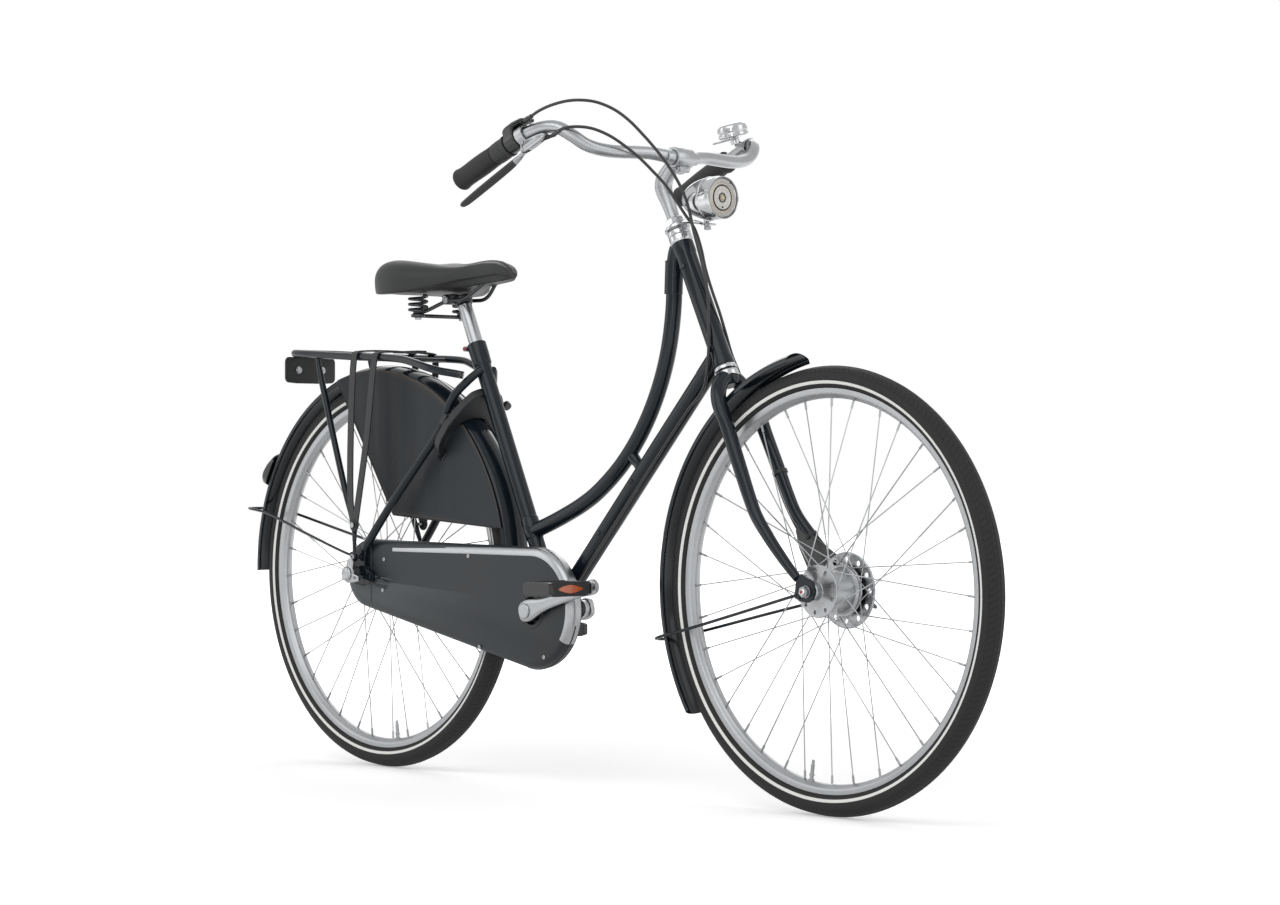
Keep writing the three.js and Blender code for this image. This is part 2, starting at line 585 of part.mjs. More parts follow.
/** A solid turned about an axis from foot along a direction; the profile is [radius, height] pairs. */
function turned(profile, foot, direction, sides) {
  const closed = profile[0][0] === 0 && profile[profile.length - 1][0] === 0;
  const outline = closed ? profile : [...profile, profile[0]];
  const lathe = new THREE.LatheGeometry(outline.map(([r, h]) => new THREE.Vector2(r, h)), sides);
  lathe.rotateY(Math.PI / sides);
  const turn = new THREE.Quaternion().setFromUnitVectors(new THREE.Vector3(0, 1, 0), direction.clone().normalize());
  lathe.applyQuaternion(turn);
  lathe.translate(foot.x, foot.y, foot.z);
  return solidOf(lathe);
}

/** The radius of a bore of so many sides that clears a round part turning in it. */
const roomy = (radius, sides) => (radius + GAP) / Math.cos(Math.PI / sides);

/** A round rod between two points. */
function rod(from, to, radius, sides, endRadius = radius) {
  const start = point(from);
  const way = new THREE.Vector3().subVectors(point(to), start);
  return turned([[0, 0], [radius, 0], [endRadius, way.length()], [0, way.length()]], start, way, sides);
}

/** A ring or disc about the Y axis: profile of [radius, y] pairs about the point [x, z]. */
function wheelTurned(profile, x, z, sides) {
  return turned(profile, new THREE.Vector3(x, 0, z), new THREE.Vector3(0, 1, 0), sides);
}

/** A flat plate with its outline in the XZ plane, from one Y to another. */
function plateY(outline, yRange, holes = []) {
  const shape = new THREE.Shape(outline.map(([x, z]) => new THREE.Vector2(x, z)));
  holes.forEach((hole) => shape.holes.push(new THREE.Path(hole.map(([x, z]) => new THREE.Vector2(x, z)))));
  const low = Math.min(...yRange);
  const high = Math.max(...yRange);
  const slab = new THREE.ExtrudeGeometry(shape, { depth: high - low, bevelEnabled: false });
  slab.rotateX(Math.PI / 2);
  slab.translate(0, high, 0);
  return solidOf(slab);
}

/** A flat plate in any frame: outline along two axes, thickness along the third. */
function plateIn(outline, range, frame) {
  const shape = new THREE.Shape(outline.map(([u, w]) => new THREE.Vector2(u, w)));
  const slab = new THREE.ExtrudeGeometry(shape, { depth: range[1] - range[0], bevelEnabled: false });
  slab.translate(0, 0, range[0]);
  slab.applyMatrix4(frame);
  return solidOf(slab);
}

/** A box between two corners. */
function block(low, high) {
  const size = high.map((value, i) => value - low[i]);
  const box = new THREE.BoxGeometry(...size);
  box.translate(...low.map((value, i) => value + size[i] / 2));
  return solidOf(box);
}

/** Points on an arc about [x, z], by its radius and its first and last angle in degrees. */
function arc(x, z, radius, from, to, steps) {
  return Array.from({ length: steps + 1 }, (_, i) => {
    const turn = rad(from + ((to - from) * i) / steps);
    return [x + radius * Math.cos(turn), z + radius * Math.sin(turn)];
  });
}

/** The points of a whole circle in the plane of the frame. */
const ringOf = (x, z, radius, count) => arc(x, z, radius, 0, 360 - 360 / count, count - 1);

/** The outline of the convex shape around some circles, each [x, z, radius]. */
function aroundCircles(circles, steps) {
  const spots = circles.flatMap(([x, z, r]) => arc(x, z, r, 0, 360 - 360 / steps, steps - 1));
  return convex(spots);
}

/** The convex outline of some points, anticlockwise. */
function convex(spots) {
  const sorted = [...spots].sort((a, b) => a[0] - b[0] || a[1] - b[1]);
  const turnOf = (o, a, b) => (a[0] - o[0]) * (b[1] - o[1]) - (a[1] - o[1]) * (b[0] - o[0]);
  const half = (list) => {
    const chain = [];
    list.forEach((p) => {
      while (chain.length > 1 && turnOf(chain[chain.length - 2], chain[chain.length - 1], p) <= 0) chain.pop();
      chain.push(p);
    });
    chain.pop();
    return chain;
  };
  return [...half(sorted), ...half(sorted.reverse())];
}

// Places and directions
const LEFT = new THREE.Vector3(0, 1, 0);
const STEER_UP = new THREE.Vector3(-Math.sin(rad(STEER_LEAN_ANGLE)), 0, Math.cos(rad(STEER_LEAN_ANGLE)));
const steerAt = (height) => point(STEER_FOOT).addScaledVector(STEER_UP, height);
const onSteer = (profile, sides) => turned(profile, point(STEER_FOOT), STEER_UP, sides);

const LEG = new THREE.Vector3(BAR_LEG[0], -BAR_LEG[1], BAR_LEG[2]).normalize();
const LEG_UP = new THREE.Vector3(0, 0, 1).addScaledVector(LEG, -LEG.z).normalize();
const LEG_IN = new THREE.Vector3().crossVectors(LEG_UP, LEG);
const BAR_TIP = new THREE.Vector3(BAR_END[0], -BAR_END[1], BAR_END[2]);
const legAt = (along, up, inward = 0) => BAR_TIP.clone()
  .addScaledVector(LEG, along).addScaledVector(LEG_UP, up).addScaledVector(LEG_IN, inward);
const LEG_FRAME = new THREE.Matrix4().makeBasis(LEG, LEG_UP, LEG_IN).setPosition(BAR_TIP);

const LOCK_OUT = new THREE.Vector3(Math.cos(rad(LOCK_ANGLE)), 0, Math.sin(rad(LOCK_ANGLE)));
const LOCK_AXIS = new THREE.Vector3(Math.sin(rad(LOCK_ANGLE)), 0, -Math.cos(rad(LOCK_ANGLE)));
const LOCK_FRAME = new THREE.Matrix4().makeBasis(LEFT, LOCK_OUT, LOCK_AXIS)
  .setPosition(new THREE.Vector3(0, 0, TYRE_RADIUS).addScaledVector(LOCK_OUT, LOCK_REACH));

// Frame tubes
const headBody = (extra) => onSteer([
  [0, -extra], [HEAD_CUP_RADIUS + extra, -extra], [HEAD_CUP_RADIUS + extra, HEAD_CUP_LOW + extra],
  [HEAD_RADIUS + extra, HEAD_CUP_LOW + HEAD_CUP_EASE + extra],
  [HEAD_RADIUS + extra, HEAD_LENGTH - HEAD_CUP_HIGH - HEAD_CUP_EASE - extra],
  [HEAD_CUP_RADIUS + extra, HEAD_LENGTH - HEAD_CUP_HIGH - extra],
  [HEAD_CUP_RADIUS + extra, HEAD_LENGTH + extra], [0, HEAD_LENGTH + extra],
], 12);
const SEAT_UP = new THREE.Vector3().subVectors(point(SEAT_TUBE_TOP), point(CRANK_AXIS)).normalize();
const seatAt = (height) => point(SEAT_TUBE_TOP).addScaledVector(SEAT_UP, height).toArray();
const seatTubeBody = (extra) => rod(CRANK_AXIS, SEAT_TUBE_TOP, SEAT_TUBE_RADIUS + extra, 12);
const downTubeBody = (extra) => rod(CRANK_AXIS, DOWN_TUBE_HEAD, DOWN_TUBE_RADIUS + extra, 12);
const shellBody = (extra) => wheelTurned([
  [0, -SHELL_HALF - extra], [SHELL_RADIUS + extra, -SHELL_HALF - extra],
  [SHELL_RADIUS + extra, SHELL_HALF + extra], [0, SHELL_HALF + extra],
], CRANK_AXIS[0], CRANK_AXIS[2], 16);
const chainStayBody = (extra) => pipe(CHAIN_STAY_ROUTE, CHAIN_STAY_RADII.map((r) => r + extra), 7);
const seatStayBody = (extra) => pipe(SEAT_STAY_ROUTE, SEAT_STAY_RADIUS + extra, 6);
const dropoutBody = (extra) => plateY(DROPOUT_OUTLINE, [DROPOUT_Y[0] - extra, DROPOUT_Y[1] + extra]);

function headTube() {
  return cut(headBody(0), rod(
    steerAt(-HEAD_CUP_EASE).toArray(), steerAt(HEAD_LENGTH + HEAD_CUP_EASE).toArray(), roomy(STEERER_RADIUS, 12), 12,
  ));
}

function topTube() {
  const tube = union(
    pipe(TOP_TUBE_ROUTE, TOP_TUBE_RADIUS, 8),
    rod(TOP_TUBE_SLEEVE[0], TOP_TUBE_SLEEVE[1], TOP_TUBE_SLEEVE_RADIUS, 8),
    rod(BRIDGE_TOP, BRIDGE_LOW, BRIDGE_RADIUS, 8),
  );
  return cut(tube, headBody(GAP), seatTubeBody(GAP), downTubeBody(GAP));
}

function downTube() {
  return cut(downTubeBody(0), headBody(GAP), shellBody(GAP), seatTubeBody(GAP));
}

function seatTube() {
  const tube = union(seatTubeBody(0), rod(seatAt(-SEAT_COLLAR_LENGTH), seatAt(0), SEAT_COLLAR_RADIUS, 12));
  return cut(tube, shellBody(GAP), rod(seatAt(-SEAT_TUBE_BORE_DEPTH), seatAt(GAP), POST_RADIUS + GAP, 12));
}

function chainStays() {
  const half = union(chainStayBody(0), dropoutBody(0));
  const bridge = rod(
    [STAY_BRIDGE_X, -STAY_BRIDGE_HALF, STAY_BRIDGE_Z], [STAY_BRIDGE_X, STAY_BRIDGE_HALF, STAY_BRIDGE_Z],
    STAY_BRIDGE_RADIUS, 8,
  );
  const bore = rod(
    [CRANK_AXIS[0], -2 * SHELL_HALF, CRANK_AXIS[2]], [CRANK_AXIS[0], 2 * SHELL_HALF, CRANK_AXIS[2]],
    SPINDLE_RADIUS + GAP, 12,
  );
  const axle = rod([0, -2 * SHELL_HALF, TYRE_RADIUS], [0, 2 * SHELL_HALF, TYRE_RADIUS], AXLE_RADIUS + GAP, 10);
  return cut(union(shellBody(0), bothSides(half), bridge), bore, axle);
}

function seatStay(side) {
  const stay = cut(seatStayBody(0), dropoutBody(GAP));
  return cut(side > 0 ? stay : mirrored(stay), seatTubeBody(GAP));
}

// Fork and mudguards
function forkBlade(extra) {
  return pipe(FORK_ROUTE, FORK_RADII.map((r) => r + extra), 8);
}

function fork() {
  const tip = cut(
    plateY(FORK_TIP_OUTLINE.map(([x, z]) => [x + WHEELBASE, z]), FORK_TIP_Y),
    rod([WHEELBASE, 0, TYRE_RADIUS], [WHEELBASE, 2 * FORK_TIP_Y[1], TYRE_RADIUS], AXLE_RADIUS + GAP, 10),
  );
  const steerer = onSteer([
    [0, CROWN_RACE_FOOT], [CROWN_RACE_RADIUS, CROWN_RACE_FOOT], [CROWN_RACE_RADIUS, -GAP],
    [STEERER_RADIUS, -GAP], [STEERER_RADIUS, STEERER_TOP], [0, STEERER_TOP],
  ], 12);
  const shoulder = rod(
    steerAt(CROWN_RACE_FOOT - FORK_SHOULDER_RADIUS).toArray(), steerAt(CROWN_RACE_FOOT).toArray(),
    FORK_SHOULDER_RADIUS, 12, CROWN_RACE_RADIUS,
  );
  const quill = rod(
    STEM_ROUTE[0].map((value, i) => value - STEER_UP.getComponent(i)), steerAt(STEERER_TOP + GAP).toArray(),
    STEERER_RADIUS - STEERER_WALL, 12,
  );
  const body = union(bothSides(union(forkBlade(0), tip)), steerer, shoulder);
  return cut(body, quill, guardEnvelope(FRONT_GUARD_CENTRE, FRONT_GUARD_RADIUS));
}

/** A disc a little wider than a mudguard, for clearing the parts that it passes through. */
function guardEnvelope([x, z], radius) {
  const half = GUARD_SECTION[0][0] + GAP;
  const reach = (radius + GAP) / Math.cos(Math.PI / WHEEL_STEPS);
  return wheelTurned([[0, -half], [reach, -half], [reach, half], [0, half]], x, z, WHEEL_STEPS);
}

function guard([x, z], radius, [from, to], steps) {
  const crown = GUARD_SECTION[GUARD_SECTION.length - 1][1];
  const half = [...GUARD_SECTION, ...GUARD_SECTION.slice(0, -1).reverse().map(([y, h]) => [-y, h])];
  const inner = half.map(([y, h], i) => {
    const edge = i === 0 || i === half.length - 1;
    return [y * (1 - SKIN / GUARD_SECTION[0][0]), edge ? h : h - SKIN];
  }).reverse();
  const section = [...half, ...inner];
  const rings = Array.from({ length: steps + 1 }, (_, i) => {
    const turn = rad(from + ((to - from) * i) / steps);
    return section.map(([y, h]) => {
      const reach = radius - crown + h;
      return new THREE.Vector3(x + reach * Math.cos(turn), y, z + reach * Math.sin(turn));
    });
  });
  return loft(rings);
}

const frontGuard = () => guard(FRONT_GUARD_CENTRE, FRONT_GUARD_RADIUS, FRONT_GUARD_ANGLES, FRONT_GUARD_STEPS);
const rearGuard = () => union(
  guard(REAR_GUARD_CENTRE, REAR_GUARD_RADIUS, REAR_GUARD_ANGLES, REAR_GUARD_STEPS),
  plateY(REAR_GUARD_TAB, [-REAR_GUARD_TAB_HALF, REAR_GUARD_TAB_HALF]),
);

function wireLoop(route) {
  return pipe([...route, ...flip(route.slice(0, -1)).reverse()], STAY_WIRE_RADIUS, 6);
}

const frontStay = () => cut(wireLoop(FRONT_STAY_ROUTE), forkBlade(GAP), mirrored(forkBlade(GAP)));
const rearStay = () => cut(wireLoop(REAR_STAY_ROUTE), dropoutBody(GAP), mirrored(dropoutBody(GAP)));

/** One coat guard: a thin sheet from the mudguard edge down to two straight hems, with soft folds. */
function coatGuard() {
  const [from, to] = COAT_GUARD_ANGLES;
  const hub = [0, TYRE_RADIUS];
  const edge = arc(...hub, COAT_GUARD_RADIUS, to, from, COAT_GUARD_STEPS);
  const rear = edge[0];
  const foot = (share) => {
    const split = COAT_GUARD_FOOT_SHARE;
    const [a, b, t] = share < split
      ? [rear, COAT_GUARD_FOOT, Math.max(share / split, COAT_GUARD_TIP_SHARE)]
      : [COAT_GUARD_FOOT, COAT_GUARD_FRONT, Math.min((share - split) / (1 - split), 1 - COAT_GUARD_TIP_SHARE)];
    return [a[0] + (b[0] - a[0]) * t, a[1] + (b[1] - a[1]) * t];
  };
  const rings = edge.map((top, i) => {
    const low = foot(i / COAT_GUARD_STEPS);
    const rows = Array.from({ length: COAT_GUARD_ROWS + 1 }, (_, j) => {
      const t = j / COAT_GUARD_ROWS;
      const x = top[0] + (low[0] - top[0]) * t;
      const z = top[1] + (low[1] - top[1]) * t;
      const wave = (1 - Math.cos((2 * Math.PI * (x - COAT_GUARD_FOOT[0])) / COAT_GUARD_PERIOD)) / 2;
      const fade = Math.exp(-(((x - COAT_GUARD_FOOT[0]) / COAT_GUARD_FADE) ** 2));
      const swell = COAT_GUARD_FOLD * wave * fade * Math.sin(Math.PI * Math.min(t + COAT_GUARD_TIP_SHARE, 1) * COAT_GUARD_SPREAD_SHARE);
      return [x, COAT_GUARD_Y + Math.max(swell, 0), z];
    });
    const inner = rows.map(([x, y, z]) => new THREE.Vector3(x, y, z));
    const outer = rows.map(([x, y, z]) => new THREE.Vector3(x, y + COAT_GUARD_THICK, z)).reverse();
    return [...inner, ...outer];
  });
  const holes = LOCK_HOLES.map(({ reach, offset, radius }) => {
    const spot = point([0, 0, TYRE_RADIUS]).addScaledVector(LOCK_OUT, reach).addScaledVector(LOCK_AXIS, offset);
    return rod([spot.x, 0, spot.z], [spot.x, 2 * COAT_GUARD_Y, spot.z], radius, 12);
  });
  return cut(loft(rings), ...holes);
}

// Chain case and drive
function caseOutline(inset) {
  return aroundCircles([CASE_FRONT, CASE_REAR].map(([x, z, r]) => [x, z, r - inset]), CASE_ARC_STEPS);
}

function chainCase() {
  const [outer, back] = CASE_Y;
  const through = [outer - CASE_BACK_RIM, outer + CASE_BACK_RIM];
  return cut(
    plateY(caseOutline(0), CASE_Y),
    plateY(caseOutline(SKIN), [outer + SKIN, back - SKIN]),
    plateY(caseOutline(CASE_BACK_RIM), [back - 2 * SKIN, back + SKIN]),
    plateY(ringOf(CRANK_AXIS[0], CRANK_AXIS[2], CASE_CRANK_HOLE, 16), through),
    plateY(ringOf(0, TYRE_RADIUS, CASE_AXLE_HOLE, 12), through),
    mirrored(chainStayBody(GAP)),
    pipe(SHIFT_CABLE_ROUTE.slice(-8), CABLE_RADIUS + GAP, 8),
  );
}

function chain() {
  const run = (extra) => aroundCircles([
    [CRANK_AXIS[0], CRANK_AXIS[2], RING_RADIUS + CHAIN_CLEAR + extra],
    [0, TYRE_RADIUS, SPROCKET_RADIUS + CHAIN_CLEAR + extra],
  ].map(([x, z, r]) => [x, z, r / Math.cos(Math.PI / CHAIN_STEPS)]), CHAIN_STEPS);
  const range = [CHAIN_Y - CHAIN_WIDTH / 2, CHAIN_Y + CHAIN_WIDTH / 2];
  const beyond = [range[0] - CHAIN_WIDTH, range[1] + CHAIN_WIDTH];
  return cut(plateY(run(CHAIN_DEPTH), range), plateY(run(0), beyond));
}

/** A crank arm in the plane of the drive, from the spindle to the pedal spindle. */
function crankArm(angle, side) {
  const [x, , z] = CRANK_AXIS;
  const way = [Math.cos(rad(angle)), Math.sin(rad(angle))];
  const at = (reach) => [x + reach * way[0], z + reach * way[1]];
  const range = CRANK_ARM_Y.map((y) => y * side);
  const far = at(CRANK_LENGTH);
  const root = aroundCircles([[...at(0), CRANK_BOSS_RADIUS], [...at(CRANK_WAIST[0]), CRANK_WAIST[1]]], 14);
  const blade = aroundCircles([[...at(CRANK_WAIST[0]), CRANK_WAIST[1]], [...far, CRANK_EYE_RADIUS]], 12);
  const cap = rod([x, CRANK_ARM_Y[1] * side, z], [x, CRANK_CAP_Y * side, z], CRANK_CAP_RADIUS, 10);
  const spindle = rod(
    [far[0], CRANK_ARM_Y[0] * side, far[1]], [far[0], PEDAL_SPINDLE_END * side, far[1]], PEDAL_SPINDLE_RADIUS, 8,
  );
  return union(plateY(root, range), plateY(blade, range), spindle, cap);
}

function crankRight() {
  const [x, , z] = CRANK_AXIS;
  const ring = wheelTurned([
    [0, CHAIN_Y - RING_THICK / 2], [RING_RADIUS, CHAIN_Y - RING_THICK / 2],
    [RING_RADIUS, CHAIN_Y + RING_THICK / 2], [0, CHAIN_Y + RING_THICK / 2],
  ], x, z, 20);
  const boss = rod([x, -CRANK_ARM_Y[1], z], [x, CHAIN_Y + RING_THICK, z], CRANK_BOSS_RADIUS, 12);
  const spindle = rod([x, -CRANK_ARM_Y[1], z], [x, CRANK_ARM_Y[0] - GAP, z], SPINDLE_RADIUS, 12);
  return union(crankArm(CRANK_ANGLE, -1), boss, ring, spindle);
}

const crankLeft = () => crankArm(CRANK_ANGLE + 180, 1);

function pedal(angle, side) {
  const [x, , z] = CRANK_AXIS;
  const at = [x + CRANK_LENGTH * Math.cos(rad(angle)), z + CRANK_LENGTH * Math.sin(rad(angle))];
  const [near, far] = PEDAL_Y;
  const half = PEDAL_LENGTH / 2;
  const high = PEDAL_HEIGHT / 2;
  const rim = [
    [-half, -high * PEDAL_EDGE_SHARE], [-half + PEDAL_BEVEL, -high], [half - PEDAL_BEVEL, -high],
    [half, -high * PEDAL_EDGE_SHARE], [half, high * PEDAL_EDGE_SHARE], [half - PEDAL_BEVEL, high],
    [-half + PEDAL_BEVEL, high], [-half, high * PEDAL_EDGE_SHARE],
  ].map(([u, w]) => [at[0] + u, at[1] + w]);
  const window = (low, up) => block(
    [at[0] + low, near + PEDAL_END, at[1] - PEDAL_HEIGHT], [at[0] + up, far - PEDAL_END, at[1] + PEDAL_HEIGHT],
  );
  const inner = PEDAL_BARREL_RADIUS * PEDAL_EDGE_SHARE;
  const body = cut(plateY(rim, PEDAL_Y), window(-half + PEDAL_BAR, -inner), window(inner, half - PEDAL_BAR));
  const barrel = rod([at[0], near, at[1]], [at[0], far - PEDAL_END / 2, at[1]], PEDAL_BARREL_RADIUS, 10);
  const bore = rod(
    [at[0], near - PEDAL_END, at[1]], [at[0], PEDAL_SPINDLE_END + 2 * GAP, at[1]], roomy(PEDAL_SPINDLE_RADIUS, 8), 8,
  );
  const solid = cut(union(body, barrel), bore);
  return side > 0 ? solid : mirrored(solid);
}

// Wheels
function tyre(x) {
  const section = [...TYRE_SECTION, ...TYRE_SECTION.slice(1).reverse().map(([y, r]) => [-y, r])];
  return wheelTurned(section.map(([y, r]) => [r, y]), x, TYRE_RADIUS, WHEEL_STEPS);
}

function rim(x) {
  const low = RIM_SECTION.map(([y, r]) => [r, y]);
  const back = [...RIM_SECTION].reverse().map(([y, r]) => [r, -y]);
  const bed = [[RIM_BED[1], -RIM_BED[0]], [RIM_BED[1], RIM_BED[0]]];
  return wheelTurned([...low, ...back, ...bed], x, TYRE_RADIUS, WHEEL_STEPS);
}

/** A hub shell with its two flanges and all its spokes. */
function hub(x, sizes, extra, phase) {
  const half = FLANGE_THICK / 2;
  const bore = AXLE_RADIUS + GAP;
  const profile = [
    [bore, sizes.low], [sizes.neck, sizes.low], [sizes.neck + half, -sizes.flangeY - half],
    [sizes.flange, -sizes.flangeY - half], [sizes.flange, -sizes.flangeY + half],
    [sizes.barrel, -sizes.flangeY + 2 * half], [sizes.barrel, sizes.flangeY - 2 * half],
    [sizes.flange, sizes.flangeY - half], [sizes.flange, sizes.flangeY + half],
    [sizes.neck + half, sizes.flangeY + half], ...extra, [sizes.neck, sizes.high], [bore, sizes.high],
  ];
  const shell = wheelTurned(profile, x, TYRE_RADIUS, 10);
  const place = (reach, turn, y) => [
    x + reach * Math.cos(rad(turn)), y, TYRE_RADIUS + reach * Math.sin(rad(turn)),
  ];
  const step = 360 / SPOKES_PER_SIDE;
  const spokes = [-1, 1].flatMap((side) => Array.from({ length: SPOKES_PER_SIDE }, (_, i) => {
    const lean = i % 2 === 0 ? 1 : -1;
    const seat = phase + step * i + (side > 0 ? step / 2 : 0);
    const out = lean * side;
    return rod(
      place(SPOKE_SEAT, seat, side * sizes.flangeY + out * SPOKE_STAGGER),
      place(SPOKE_REACH, seat + lean * SPOKE_TURN_ANGLE, side * SPOKE_END_Y + out * SPOKE_END_STAGGER),
      SPOKE_RADIUS, 3,
    );
  }));
  return wasm.Manifold.union([shell, ...spokes]);
}

function frontHub() {
  const disc = [
    [FRONT_HUB.neck, BRAKE_DISC_Y[0]], [BRAKE_DISC_RADIUS, BRAKE_DISC_Y[0] + GAP],
    [BRAKE_DISC_RADIUS, BRAKE_DISC_Y[1]], [FRONT_HUB.neck, BRAKE_DISC_Y[1]],
  ];
  return hub(WHEELBASE, { ...FRONT_HUB, high: BRAKE_DISC_Y[1] + GAP }, disc, 0);
}

const rearHub = () => hub(0, REAR_HUB, [], SPOKE_PHASE_REAR_ANGLE);

function sprocket() {
  const bore = AXLE_RADIUS + GAP;
  const [near, far] = [CHAIN_Y - RING_THICK / 2, CHAIN_Y + RING_THICK / 2];
  return wheelTurned([
    [bore, near - DRIVER_NOSE], [DRIVER_RADIUS, near - DRIVER_NOSE], [DRIVER_RADIUS, near], [SPROCKET_RADIUS, near],
    [SPROCKET_RADIUS, far], [DRIVER_RADIUS, far], [DRIVER_RADIUS, REAR_HUB.low - GAP], [bore, REAR_HUB.low - GAP],
  ], 0, TYRE_RADIUS, 12);
}

function frontAxle() {
  const stop = rod(
    [WHEELBASE, FRONT_HUB_STOP, TYRE_RADIUS], [WHEELBASE, FORK_TIP_Y[0] - GAP, TYRE_RADIUS], AXLE_NUT_RADIUS, 8,
  );
  const bar = rod([WHEELBASE, -FRONT_AXLE_END, TYRE_RADIUS], [WHEELBASE, FRONT_AXLE_END, TYRE_RADIUS], AXLE_RADIUS, 10);
  const nut = rod(
    [WHEELBASE, FORK_TIP_Y[1] + GAP, TYRE_RADIUS], [WHEELBASE, FRONT_AXLE_END, TYRE_RADIUS], AXLE_NUT_RADIUS, 6,
  );
  return union(bar, mirrored(stop), bothSides(nut));
}

function rollerBrake() {
  const outline = aroundCircles(BRAKE_PLATE_CIRCLES, 16);
  const plate = plateY(outline, BRAKE_PLATE_Y);
  const body = wheelTurned([
    [0, BRAKE_PLATE_Y[0]], [BRAKE_BODY_RADIUS, BRAKE_PLATE_Y[0]], [BRAKE_BODY_RADIUS, BRAKE_BODY_Y],
    [BRAKE_CORE_RADIUS, BRAKE_BODY_Y], [BRAKE_CORE_RADIUS, BRAKE_CORE_Y], [0, BRAKE_CORE_Y],
  ], WHEELBASE, TYRE_RADIUS, 14);
  const bore = rod([WHEELBASE, 0, TYRE_RADIUS], [WHEELBASE, FRONT_AXLE_END, TYRE_RADIUS], AXLE_RADIUS + GAP, 10);
  return cut(union(plate, body), bore, forkBlade(GAP));
}

function brakeArm() {
  const ringOutline = ringOf(WHEELBASE, TYRE_RADIUS, BRAKE_RING_RADIUS, 16);
  const tail = (end) => plateY(
    aroundCircles([[WHEELBASE, TYRE_RADIUS, BRAKE_TAIL_ROOT], end], 12), BRAKE_TAIL_Y,
  );
  const bore = rod([WHEELBASE, 0, TYRE_RADIUS], [WHEELBASE, FRONT_AXLE_END, TYRE_RADIUS], BRAKE_CORE_RADIUS + GAP, 14);
  return cut(union(plateY(ringOutline, BRAKE_ARM_Y), tail(BRAKE_TAIL_REAR), tail(BRAKE_TAIL_FRONT)), bore);
}

/** Rear axle with its nuts, the gear selector box and the torque arm of the back-pedal brake. */
function rearAxle() {
  const spot = (y) => [0, y, TYRE_RADIUS];
  const bar = rod(spot(-REAR_AXLE_END), spot(FRONT_AXLE_END + AXLE_RADIUS), AXLE_RADIUS, 10);
  const nuts = [
    rod(spot(-DROPOUT_Y[1] - GAP), spot(SHIFT_BOX_Y[1]), AXLE_NUT_RADIUS, 6),
    rod(spot(DROPOUT_Y[1] + GAP), spot(FRONT_AXLE_END + AXLE_RADIUS + GAP), AXLE_NUT_RADIUS, 6),
    rod(spot(-DROPOUT_Y[0] + GAP), spot(CHAIN_Y - RING_THICK / 2 - DRIVER_NOSE - GAP), AXLE_NUT_RADIUS, 8),
    rod(spot(REAR_HUB.high + GAP), spot(DROPOUT_Y[0] - GAP), AXLE_NUT_RADIUS, 8),
  ];
  const box = rod(spot(SHIFT_BOX_Y[0]), spot(SHIFT_BOX_Y[1]), SHIFT_BOX_RADIUS, 12);
  const arm = plateY(SHIFT_ARM.map(([x, z]) => [x, z + TYRE_RADIUS]), SHIFT_ARM_Y);
  const torque = cut(
    union(
      plateY(aroundCircles(TORQUE_ARM_CIRCLES, 12), TORQUE_ARM_Y),
      plateY(TORQUE_CLIP, [TORQUE_ARM_Y[0], TORQUE_CLIP_Y]),
    ),
    chainStayBody(GAP),
  );
  return union(bar, ...nuts, box, arm, torque);
}

// Rack, straps, reflector plate, light
function rack() {
  const leg = union(
    pipe(RACK_LEG_ROUTE, RACK_LEG_RADII, 6),
    rod([EYELET[0], DROPOUT_Y[1] + GAP, EYELET[1]], [EYELET[0], RACK_BOLT_END, EYELET[1]], RACK_BOLT_RADIUS, 6),
    rod(RACK_HOOK_ROOT, [STRAP_HOOK[0], RACK_HOOK_ROOT[1], STRAP_HOOK[1]], STRAP_HOOK_RADIUS, 6),
    rod(
      [STRAP_HOOK[0], RACK_HOOK_ROOT[1] - STRAP_HOOK_RADIUS / 2, STRAP_HOOK[1]],
      [STRAP_HOOK[0], STRAP_HOOK_END, STRAP_HOOK[1]], STRAP_HOOK_RADIUS, 6,
    ),
  );
  const bars = RACK_BARS.map(([x, z]) => rod([x, -STRAP_RAIL_Y, z], [x, STRAP_RAIL_Y, z], RACK_BAR_RADIUS, 6));
  const body = union(pipe(RACK_ROUTE, RACK_RADIUS, 6), bothSides(leg), ...bars);
  return cut(body, seatStayBody(GAP), mirrored(seatStayBody(GAP)), seatTubeBody(GAP));
}

/** A flat band along a path of [x, y, z] points, its width lying along X. */
function band(route) {
  const line = route.map(point);
  const wide = new THREE.Vector3(STRAP_WIDTH / 2, 0, 0);
  return loft(line.map((p, i) => {
    const along = new THREE.Vector3()
      .subVectors(line[Math.min(i + 1, line.length - 1)], line[Math.max(i - 1, 0)]).normalize();
    const thick = new THREE.Vector3().crossVectors(along, new THREE.Vector3(1, 0, 0))
      .normalize().multiplyScalar(STRAP_THICK / 2);
    return [
      p.clone().add(wide).add(thick), p.clone().sub(wide).add(thick),
      p.clone().sub(wide).sub(thick), p.clone().add(wide).sub(thick),
    ];
  }));
}

